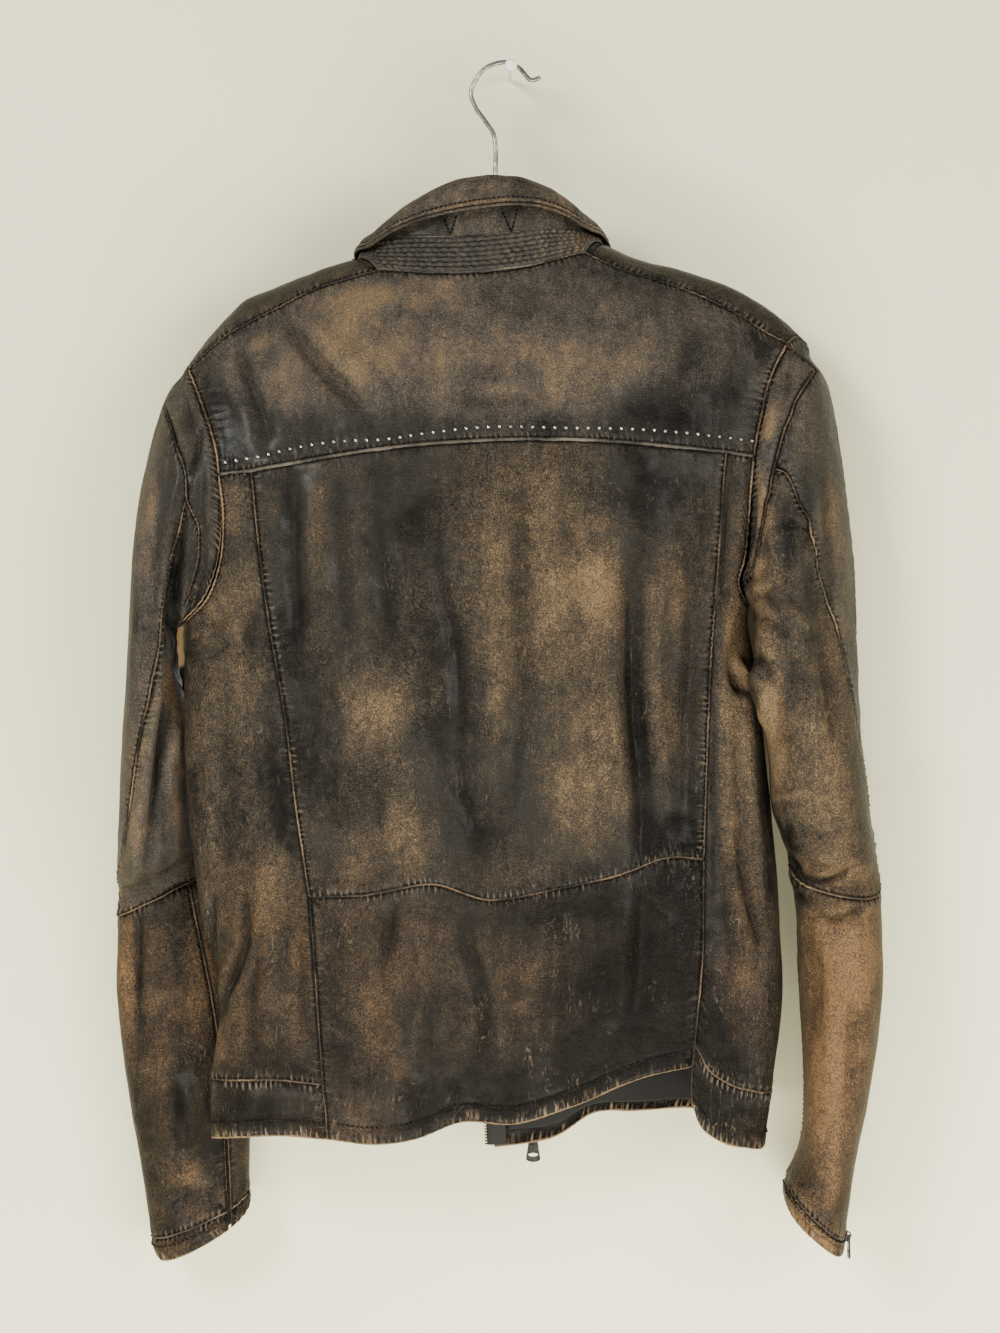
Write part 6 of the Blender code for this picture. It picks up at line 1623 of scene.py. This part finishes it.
TAPE = (tape_cloth, "zip_tape")
TAPE_TOP, TAPE_FOOT = 0.004, 0.002  # how far the main tapes run past the neck and the hem
TAPE_TURN = 9.0  # degrees from the middle of a cuff's tape to its side
tapes = {}
for name, lines in SIDE_LINES.items():
    sign = lines["sign"]
    line = along([*lines["edge"], lines["low_front"][-1]], 60)
    line[0, 1] -= TAPE_TOP
    line[-1, 1] += sign * TAPE_FOOT
    shown, under = line + (-sign * TAPE_SHOWN, 0), line + (sign * TAPE_UNDER, 0)
    shown, under = locate(shown[::-1], sign), locate(under[::-1], sign)
    ends = straight(under[0], shown[0], 6), straight(under[-1], shown[-1], 6)
    tapes[name] = plain_sheet(
        "zip_tape_cloth_" + name, torso, TORSO_CELL, 1.0, (*ends, under, shown),
        0.0032, TAPE, f"front_{name}_leather",
    )

for name, sign in (("left", -1.0), ("right", 1.0)):
    middle, top, foot = SLEEVES[name]["vent_turn"], VENT - 0.3, CUFF_EDGE - 0.2
    first, last = middle - TAPE_TURN, middle + TAPE_TURN
    sides = (
        *(straight((first, end), (last, end), 8) for end in (foot, top)),
        *(straight((side, foot), (side, top), 30) for side in (first, last)),
    )
    tapes["cuff_" + name] = plain_sheet(
        "cuff_tape_cloth_" + name, sleeve_at[name], SLEEVE_CELL, sign, sides,
        0.0020, TAPE, f"forearm_outer_{name}_leather",
    )


def swept(path, out, section):
    """A closed section carried along a path: path + side a + out b, with both ends capped.

    Side is square to the path and to out. The section's points (a, b) go anticlockwise.
    """
    ahead = np.gradient(path, axis=0)
    side = np.cross(ahead, out)
    side /= np.maximum(np.linalg.norm(side, axis=1, keepdims=True), 1e-12)
    out = np.cross(side, ahead)
    out /= np.maximum(np.linalg.norm(out, axis=1, keepdims=True), 1e-12)
    section = np.asarray(section, float)
    count = section.shape[-2]
    section = np.broadcast_to(section, (len(path), count, 2))
    points = path[:, None] + side[:, None] * section[..., :1] + out[:, None] * section[..., 1:]
    number = np.arange(len(path) * count).reshape(len(path), count)
    number = np.concatenate([number, number[:, :1]], axis=1)
    faces = np.stack([number[:-1, :-1], number[1:, :-1], number[1:, 1:], number[:-1, 1:]], axis=-1)
    i = np.arange(count // 2 - 1)
    cap = np.stack([i, i + 1, count - 2 - i, count - 1 - i], axis=-1)
    far = cap[:, ::-1] + (len(path) - 1) * count
    return points.reshape(-1, 3), np.concatenate([faces.reshape(-1, 4), cap, far])


class Bunch:
    """Small closed shapes gathered into one mesh, each with a value for its wear."""

    def __init__(self):
        self.points, self.faces, self.wear, self.count = [], [], [], 0

    def add(self, points, faces, wear=0.0):
        self.points.append(points)
        self.faces.append(faces + self.count)
        self.wear.append(np.broadcast_to(wear, len(points)))
        self.count += len(points)

    def repeat(self, shape, where, ahead, out, wear=0.0, size=None):
        """The shape at many places: its x to the side, its y ahead and its z out."""
        points, faces = shape
        side = np.cross(ahead, out)
        side /= np.maximum(np.linalg.norm(side, axis=1, keepdims=True), 1e-12)
        out = np.cross(side, ahead)
        size = np.ones((len(where), 3)) if size is None else size
        local = points[None] * size[:, None]
        placed = where[:, None] + sum(
            local[..., k, None] * way[:, None] for k, way in enumerate((side, ahead, out))
        )
        faces = faces[None] + np.arange(len(where))[:, None, None] * len(points)
        wear = np.repeat(np.broadcast_to(wear, len(where)), len(points))
        self.add(placed.reshape(-1, 3), faces.reshape(-1, 4), wear)

    def piece(self, name, material, body="coat", slot=None):
        mesh = mesh_of(name, np.concatenate(self.points), np.concatenate(self.faces))
        keep_value(mesh, "wear", np.concatenate(self.wear))
        return piece_of(name, mesh, [material], body, slot)


def spread(path, out, pitch, start=0.0, stop=0.0):
    """Places a pitch apart along a path, with the ways ahead and out there."""
    run = run_of(path)
    at = np.arange(start + pitch / 2, run[-1] - stop, pitch)
    where, way = (np.stack([np.interp(at, run, c) for c in line.T], axis=1) for line in (path, out))
    ahead = np.stack([np.interp(at, run, c) for c in np.gradient(path, run, axis=0).T], axis=1)
    ahead /= np.linalg.norm(ahead, axis=1, keepdims=True)
    way /= np.linalg.norm(way, axis=1, keepdims=True)
    return where, ahead, way


def circle(count, wide, high=None, turn=0.0):
    angle = np.linspace(0, 2 * math.pi, count, endpoint=False) + turn
    return np.stack([wide * np.cos(angle), (high or wide) * np.sin(angle)], axis=1)


hook = Bunch()
line = along(HOOK, 200)
line = np.stack([line[:, 0], 0 * line[:, 0], line[:, 1]], axis=1)
round_end = np.minimum(run_of(line), run_of(line)[-1] - run_of(line))[:, None, None]
shrink = np.sqrt(np.clip(1 - (1 - np.minimum(round_end / (WIRE / 2), 1)) ** 2, 0.15, 1))
hook.add(*swept(line, np.tile((0.0, -1.0, 0.0), (len(line), 1)), circle(16, WIRE / 2)[None] * shrink))
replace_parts(hook.piece("hanger_hook_wire", steel, slot="hook_steel"), "hanger_hook")

# The bar, the sliders and the pulls keep their own shapes.
METAL_NODES = [
    "zip_slider", "zip_pull", "cuff_slider_left", "cuff_slider_right", "cuff_pull_left", "cuff_pull_right",
]
for name in ("hanger_bar", *METAL_NODES):
    for place in bpy.data.objects[name].material_slots:
        place.link = "OBJECT"
        place.material = dark_metal if name in METAL_NODES else wood


# ---- seams, stitches, studs and zip teeth ------------------------------------------------

def share(line, start=0.0, stop=1.0):
    """The part of a line between two shares of its length."""
    path, out = line
    run = run_of(path)
    keep = (run >= start * run[-1] - 1e-9) & (run <= stop * run[-1] + 1e-9)
    return path[keep], out[keep]


RIDGE_STEP = 0.0012  # between a ridge's sections


def refined(line):
    path, out = line
    run = run_of(path)
    at = np.linspace(0, run[-1], max(3, round(run[-1] / RIDGE_STEP)))
    path, out = (np.stack([np.interp(at, run, c) for c in values.T], axis=1) for values in (path, out))
    return path, out / np.linalg.norm(out, axis=1, keepdims=True)


def ridge(bunch, line, wide, high, seed, wear, lift=0.0):
    """A lapped seam's ridge: a half round on the leather, uneven in width and height."""
    path, out = refined(line)
    path = path + out * lift
    run = run_of(path)
    place = np.stack([run, 0 * run, 0 * run], axis=1)
    sway = waves(place, 0.020, seed)
    fine = waves(place, 0.0045, seed + 1)
    path = path + np.cross(np.gradient(path, axis=0) / RIDGE_STEP, out) * (0.00018 * sway)[:, None]
    size = (1 + 0.10 * sway + 0.07 * fine) * (0.35 + 0.65 * step(np.minimum(run, run[-1] - run), 0, 0.002))
    section = circle(10, wide / 2, high)[None] * size[:, None, None]
    section = np.maximum(section, np.array([-1.0, -0.0006]))
    values = np.repeat(wear + 0.22 * waves(place, 0.05, seed + 2), 10)
    bunch.add(*swept(path, out, section), values)


def dash(long, wide, high):
    """One stitch: its thread rises out of the leather and goes back in."""
    path = np.array([(0, y * long, 0) for y in (-0.5, -0.2, 0.2, 0.5)])
    size = np.array([0.55, 1.0, 1.0, 0.55])
    lift = np.array([-0.35, 0.45, 0.45, -0.35])
    section = circle(4, wide / 2, high / 2)[None] * size[:, None, None]
    section = section + np.stack([0 * lift, lift * high], axis=1)[:, None]
    return swept(path, np.tile((0.0, 0.0, 1.0), (4, 1)), section)


STITCH = dash(0.0025, 0.0013, 0.0011)


def stitch(bunch, line, pitch, seed, skip=0.04, shape=STITCH):
    """Stitches along a line, uneven as a worn thread is, some of them gone."""
    where, ahead, out = spread(*line, pitch)
    random = np.random.default_rng(seed)
    keep = random.random(len(where)) > skip
    turn = random.normal(0, 0.07, (len(where), 1))
    ahead = ahead + np.cross(out, ahead) * turn
    size = 1 + random.normal(0, 0.08, (len(where), 3))
    worn = 0.2 + random.normal(0, 0.15, len(where))
    bunch.repeat(shape, where[keep], ahead[keep], out[keep], worn[keep], size[keep])


welts = {name: Bunch() for name in ("body", "left", "right", "yoke")}
thread_work = {name: Bunch() for name in ("body", "left", "right")}

# Each seam: its panel and side, its ridge's width and height in mm, its wear, its stitches'
# inset in mm, and the part of the side that it runs along where that isn't all of it.
BODY_SEAMS = [
    ("back_yoke", "low", 2.8, 1.9, 0.40, 1.8), ("back_centre", "first", 1.5, 1.4, 0.30, 1.2),
    ("back_centre", "last", 1.5, 1.4, 0.30, 1.2), ("back_lower", "high", 1.5, 1.3, 0.26, 1.2),
    ("back_lower", "first", 1.5, 1.3, 0.15, 1.3), ("back_lower", "last", 1.5, 1.3, 0.15, 1.3),
    ("back_yoke", "first", 1.9, 1.6, 0.46, 1.6), ("back_yoke", "last", 1.9, 1.6, 0.42, 1.6),
    ("back_yoke", "high", 1.7, 1.4, 0.16, 1.4), ("hem_band_left", "high", 1.7, 1.3, 0.30, 1.4),
    ("hem_band_right", "high", 1.9, 1.4, 0.30, 1.4), ("back_side_left", "first", 1.9, 1.6, 0.50, 1.6),
    ("back_side_right", "last", 1.9, 1.6, 0.46, 1.6), ("front_left", "first", 1.8, 1.5, 0.36, 0, 0.66),
    ("front_right", "first", 1.8, 1.5, 0.36, 0, 0.66),
]
SLEEVE_SEAMS = [
    ("sleeve_top", "last", 1.7, 1.5, 0.30, 1.4), ("sleeve_top", "high", 1.7, 1.5, 0.30, 1.4, 0.705),
    ("sleeve_gusset", "first", 1.6, 1.4, 0.22, 1.4, 0.0, 0.62), ("sleeve_top", "low", 1.6, 1.4, 0.36, 1.4),
    ("sleeve_under", "low", 1.6, 1.4, 0.36, 1.4), ("sleeve_top", "first", 1.6, 1.4, 0.10, 1.4),
    ("forearm_outer", "first", 1.6, 1.3, 0.22, 1.4), ("forearm_outer", "last", 1.6, 1.3, 0.28, 1.4, 0.36),
    ("cuff", "high", 1.6, 1.2, 0.26, 0),
]
STITCH_PITCH = 0.0036
ON_LEATHER = 0.00005  # a stitch line's height over the leather
panels_of = {"body": body, **sleeves}
jobs = [("body", body[name], *row) for name, *row in BODY_SEAMS]
jobs += [(side, sleeves[side][f"{part}_{side}"], *row) for side in sleeves for part, *row in SLEEVE_SEAMS]
for number, (group, panel, side, wide, high, wear, inset, *part) in enumerate(jobs):
    bunch = welts[group if number else "yoke"]
    line = share(panel.line(side), *part)
    ridge(bunch, line, wide / 1000, high / 1000, 300 + 5 * number, wear, -0.0002)
    if inset:
        line = share(panel.line(side, inset / 1000, ON_LEATHER), *part)
        stitch(thread_work[group], line, STITCH_PITCH, 500 + number)

# Topstitching that stands off its edge, by its inset in mm.
STITCHED = [
    ("body", "back_lower", "low", 13.0), ("body", "hem_band_left", "low", 12.2),
    ("body", "hem_band_right", "low", 12.2), ("body", "hem_band_left", "last", 6.0),
    ("body", "hem_band_right", "last", 6.0), ("body", "front_left", "last", 6.0),
    ("body", "front_right", "last", 6.0), ("left", "cuff_left", "low", 11.0),
    ("right", "cuff_right", "low", 11.0), ("left", "cuff_left", "first", 3.0),
    ("left", "cuff_left", "last", 3.0), ("right", "cuff_right", "first", 3.0),
    ("right", "cuff_right", "last", 3.0),
]
for number, (group, name, side, inset) in enumerate(STITCHED):
    line = panels_of[group][name].line(side, inset / 1000, ON_LEATHER)
    stitch(thread_work[group], line, STITCH_PITCH, 560 + number)


def leaf_line(rise, lift=0.0):
    """A line along the fall, rise above its edge."""
    where = np.array([
        [np.interp(rise, gap[::-1, k], values[::-1, k, axis]) for axis in range(3)]
        for values in (leaf_points, out) for k in range(gap.shape[1])
    ]).reshape(2, -1, 3)
    return where[0] + where[1] * (COLLAR_WALL / 2 + lift), where[1]


BOLD_STITCH = dash(0.0029, 0.0015, 0.0011)
stitch(thread_work["body"], leaf_line(0.0064, 0.00010), STITCH_PITCH, 580, 0.02, BOLD_STITCH)

# The band's top edge is bound with a narrow piping that closes on the collar's stand.
piping = Bunch()
band_out = np.cross(np.gradient(band, axis=0), ahead)
band_out /= np.linalg.norm(band_out, axis=1, keepdims=True)
band_out *= np.sign((band_out * over).sum())
ridge(piping, (band + ahead * STAND_GAP / 2 - band_out * 0.0003, band_out), 0.0019, 0.0013, 590, 0.40)
ridge(piping, (base - (0, 0, BAND_RISE / 2) + band_out * 0.0006, band_out), 0.0019, 0.0013, 592, 0.46)

V_STITCHES = [((-49, -120.5), (-45, -132), (-40.5, -119)), ((-6.5, -115), (0, -130), (4.5, -114))]


def on_grid(points, ways, where, lift):
    """Places at x and z on the side of a grid of points that is shown, and the ways out there."""
    shown = ways[..., 1] < 0.2
    found = []
    for x, z in where:
        far = np.where(shown, (points[..., 0] - x) ** 2 + (points[..., 2] - z) ** 2, np.inf)
        near = np.unravel_index(np.argmin(far), far.shape)
        p, n = points[near], ways[near]
        y = p[1] - ((x - p[0]) * n[0] + (z - p[2]) * n[2]) / n[1]
        found.append((np.array((x, y, z)) + n * lift, n))
    return (np.array(part) for part in zip(*found))


stand = slice(0, int(np.searchsorted(up.mean(axis=1) / height.mean(), 0.40)))
for number, corners in enumerate(V_STITCHES):
    path = np.array(corners) / 1000
    for k in range(2):
        leg = path[k] + (path[k + 1] - path[k]) * np.linspace(0, 1, 12)[:, None]
        line = tuple(on_grid(leaf_points[stand], out[stand], leg, COLLAR_WALL / 2))
        stitch(thread_work["body"], line, 0.0030, 600 + 2 * number + k, 0.0, BOLD_STITCH)

# The left underarm's raw seam allowance stands out beside the sleeve: pale above, dark below.
ALLOWANCE = [
    (-246.3, -14, -417.5), (-247, -13, -432), (-246.2, -9, -448), (-245, -1, -462), (-244, 8, -477),
]
allowance = Bunch()
t = np.linspace(0, 4, 41)
path = smooth(t, np.arange(5.0), np.array(ALLOWANCE) / 1000)
place = np.stack([t * 0.012, 0 * t, 0 * t], axis=1)
path = path + np.stack([0.0005 * waves(place, 0.006, 620), 0 * t, 0 * t], axis=1)
half = 0.0024 * (1 - 0.3 * step(t, 2.0, 4.0)) * step(t, -0.4, 0.35)
section = np.array([(-1, -0.3), (-0.8, -1), (0.8, -1), (1, -0.3), (1, 0.3), (0.8, 1), (-0.8, 1), (-1, 0.3)])
section = section[None] * np.stack([half, 0.0006 + 0 * t], axis=1)[:, None]
faded = 1.25 - 1.6 * step(t, 1.9, 2.5) + 0.15 * waves(place, 0.004, 621)
allowance.add(*swept(path, np.tile((0.1, -1.0, 0.0), (len(t), 1)), section), np.repeat(faded, 8))

# Studs over the yoke seam.
STUD_ROW = [
    (-210, -301), (-185, -297), (-155, -290), (-125, -286), (-95, -285), (-60, -280), (-25, -276),
    (40, -276), (100, -277), (150, -281), (178, -284),
]
STUDS, STUD = 49, 0.00150


def dome(radius, high):
    """A stud's head: rings that shrink to a small flat at its top."""
    rise = np.linspace(0, math.radians(78), 4)
    rings = [(1.0, -0.6)] + [(math.cos(a), math.sin(a)) for a in rise]
    path = np.array([(0, 0, high * z) for _, z in rings])
    section = circle(10, radius)[None] * np.array([r for r, _ in rings])[:, None, None]
    return swept(path, np.tile((0.0, 1.0, 0.0), (len(rings), 1)), section)


studs = Bunch()
yoke = body["back_yoke"]
where, way = on_grid(yoke.points, yoke.out, along(np.array(STUD_ROW) / 1000, STUDS - 1), LEATHER / 2)
studs.repeat(dome(STUD, 0.0013), where, np.cross(way, (1.0, 0.0, 0.0)), way)

# Zip teeth: small blocks that grip the tape's edge, with the gap of a tooth between two.
TOOTH_PITCH = 0.0022
tooth_path = np.array([(0, y, 0) for y in (-0.00055, 0.00055)])
tooth_section = np.array([(-1.4, -0.9), (1.2, -0.9), (1.6, 0), (1.2, 0.9), (-1.4, 0.9), (-1.8, 0)]) / 1000
TOOTH = swept(tooth_path, np.tile((0.0, 0.0, 1.0), (2, 1)), tooth_section)
TOOTH_ROW = 0.0014  # from the middle of a cuff's zip to each row of its teeth
teeth = {name: Bunch() for name in tapes}
for name, panel in tapes.items():
    if name.startswith("cuff"):
        middle = panel.points.shape[1] // 2
        path, ways = panel.points[:, middle], panel.out[:, middle]
        across_it = np.cross(np.gradient(path, axis=0), ways)
        across_it /= np.linalg.norm(across_it, axis=1, keepdims=True)
        for way_off, start in ((-1, 0.0), (1, TOOTH_PITCH / 2)):
            row = path + across_it * way_off * TOOTH_ROW
            place, ahead_there, way = spread(row, ways, TOOTH_PITCH, start)
            teeth[name].repeat(TOOTH, place + way * 0.0004, ahead_there * way_off, way)
    else:
        path, ways = panel.line("last")
        place, ahead_there, way = spread(path - ways * LEATHER / 2, ways, TOOTH_PITCH)
        teeth[name].repeat(TOOTH, place, ahead_there, way)

seam_ridge = worn_welt("worn seam ridge", (0.055, 0.039, 0.024, 1.0), RIM)
pale_ridge = worn_welt("pale seam ridge", (0.034, 0.030, 0.025, 1.0), (0.125, 0.106, 0.084, 1.0))
dark_thread = thread("dark thread", (0.004, 0.0035, 0.003, 1.0), (0.022, 0.017, 0.012, 1.0))
stud_metal = metal("stud metal", (0.62, 0.60, 0.56, 1.0), (0.22, 0.21, 0.19, 1.0), 0.16)
for name, bunch in welts.items():
    finish_of = pale_ridge if name == "yoke" else seam_ridge
    bunch.piece("seam_ridges_" + name, finish_of, slot="charcoal_leather")
for name, bunch in thread_work.items():
    bunch.piece("stitches_" + name, dark_thread, slot="charcoal_leather")
raw_edge = worn_welt("raw leather edge", (0.060, 0.042, 0.026, 1.0), (0.50, 0.33, 0.165, 1.0))
allowance.piece("underarm_raw_edge", raw_edge, slot="tan_leather")
piping.piece("collar_piping", pale_ridge, slot="charcoal_leather")
studs.piece("yoke_studs", stud_metal, slot="zip_metal")
for name, bunch in teeth.items():
    bunch.piece("zip_teeth_" + name, dark_metal, slot="zip_metal")


# ---- the view, its light and its backdrop ------------------------------------------------


def plain(name, colour, rough, seen_through=False):
    """A matt pale finish. Where seen_through is set, the sheet's back isn't drawn, and light
    from behind it passes."""
    material, n = new_material(name)
    where = n.place()
    soft = n.noise(where, 3.0, 3.0)
    fine = n.noise(where, 420.0, 3.0)
    darker = tuple(c * 0.965 for c in colour) + (1.0,)
    mixed = n.mix(n.fit(soft, 0.3, 0.7), darker, (*colour, 1.0))
    complete(material, n, mixed, rough, (0.12, 0.0004, fine), 0.2)
    if seen_through:
        nodes = n.tree.nodes
        behind = n.math(
            "MAXIMUM", n.add("NewGeometry").outputs["Backfacing"],
            n.add("LightPath").outputs["Is Shadow Ray"],
        )
        surface = nodes["Principled BSDF"].outputs[0]
        clear = n.add("BsdfTransparent").outputs[0]
        mix = n.add("MixShader", {0: behind, 1: surface, 2: clear})
        n.tree.links.new(mix.outputs[0], nodes["Material Output"].inputs["Surface"])
    return material


def add_stage(name, points, faces, material):
    mesh = bpy.data.meshes.new(name)
    mesh.from_pydata(points, [], faces)
    mesh.materials.append(material)
    piece = bpy.data.objects.new(name, mesh)
    bpy.context.scene.collection.objects.link(piece)
    return piece


WALL_Y, FLOOR_Z = 0.060, -1.35
SIDE, TOP_Z, NEAR_Y = 3, 1.6, -4  # how far the wall and the floor reach
foot = [(-SIDE, WALL_Y, FLOOR_Z), (SIDE, WALL_Y, FLOOR_Z)]
wall_top = [(SIDE, WALL_Y, TOP_Z), (-SIDE, WALL_Y, TOP_Z)]
floor_near = [(-SIDE, NEAR_Y, FLOOR_Z), (SIDE, NEAR_Y, FLOOR_Z)]
add_stage("wall", foot + wall_top, [(0, 1, 2, 3)], plain("wall paint", (0.89, 0.865, 0.622), 0.9, True))
add_stage(
    "floor", floor_near + foot[::-1], [(0, 1, 2, 3)], plain("floor paint", (0.89, 0.865, 0.64), 0.8, True)
)

# The wall pin: a shank from the wall to a low domed head, over which the hook hangs.
PIN_HEAD, PIN_SHANK, PIN_DROP = 0.0045, 0.0017, 0.0015
PIN_SIDES = 32
outline = [
    (0.0, -0.0122), (0.6, -0.0121), (0.85, -0.0116), (1.0, -0.0104), (1.0, -0.0094), (0.85, -0.0086),
]
rings = [(PIN_HEAD * r, y) for r, y in outline] + [(PIN_SHANK, -0.0084), (PIN_SHANK, WALL_Y)]
angle = np.linspace(0, 2 * math.pi, PIN_SIDES, endpoint=False)
pin = [(r * math.cos(a), y, r * math.sin(a) - PIN_DROP) for r, y in rings for a in angle]
number = np.arange(len(pin)).reshape(-1, PIN_SIDES)
number = np.concatenate([number, number[:, :1]], axis=1)
faces = np.stack([number[:-1, :-1], number[:-1, 1:], number[1:, 1:], number[1:, :-1]], axis=-1)
pin_paint = plain("pin paint", (0.86, 0.85, 0.82), 0.35)
add_stage("wall_pin", pin, faces.reshape(-1, 4).tolist(), pin_paint).data.shade_smooth()


def area_light(name, where, at, size, power):
    light = bpy.data.lights.new(name, "AREA")
    light.shape = "RECTANGLE"
    light.size, light.size_y = size
    light.energy = power
    light.color = (1.0, 0.985, 0.95)
    lamp = bpy.data.objects.new(name, light)
    lamp.location = where
    lamp.rotation_euler = (Vector(at) - Vector(where)).to_track_quat("-Z", "Y").to_euler()
    bpy.context.scene.collection.objects.link(lamp)


area_light("key", (-1.9, -2.6, 0.9), (0, 0, -0.45), (1.1, 1.1), 135.0)
area_light("fill", (2.0, -2.4, -0.2), (0, 0, -0.55), (1.3, 1.3), 60.0)
area_light("low fill", (0.2, -0.95, -1.30), (0, 0.06, -1.08), (2.2, 0.3), 31.0)
area_light("back", (0.9, 2.5, 0.5), (0, 0, -0.45), (1.6, 1.6), 60.0)

world = bpy.data.worlds.new("soft room")
world.use_nodes = True
room_light = world.node_tree.nodes["Background"].inputs
room_light["Color"].default_value = (1.0, 0.99, 0.96, 1.0)
room_light["Strength"].default_value = 0.16
bpy.context.scene.world = world

lens = bpy.data.cameras.new("front view")
lens.sensor_fit = "AUTO"
lens.sensor_width = 24.0
lens.lens = 62.4
camera = bpy.data.objects.new("front view", lens)
camera.location = (-0.00825, -2.6, -0.4511)
camera.rotation_euler = (math.radians(90), 0, 0)
bpy.context.scene.collection.objects.link(camera)
bpy.context.scene.camera = camera
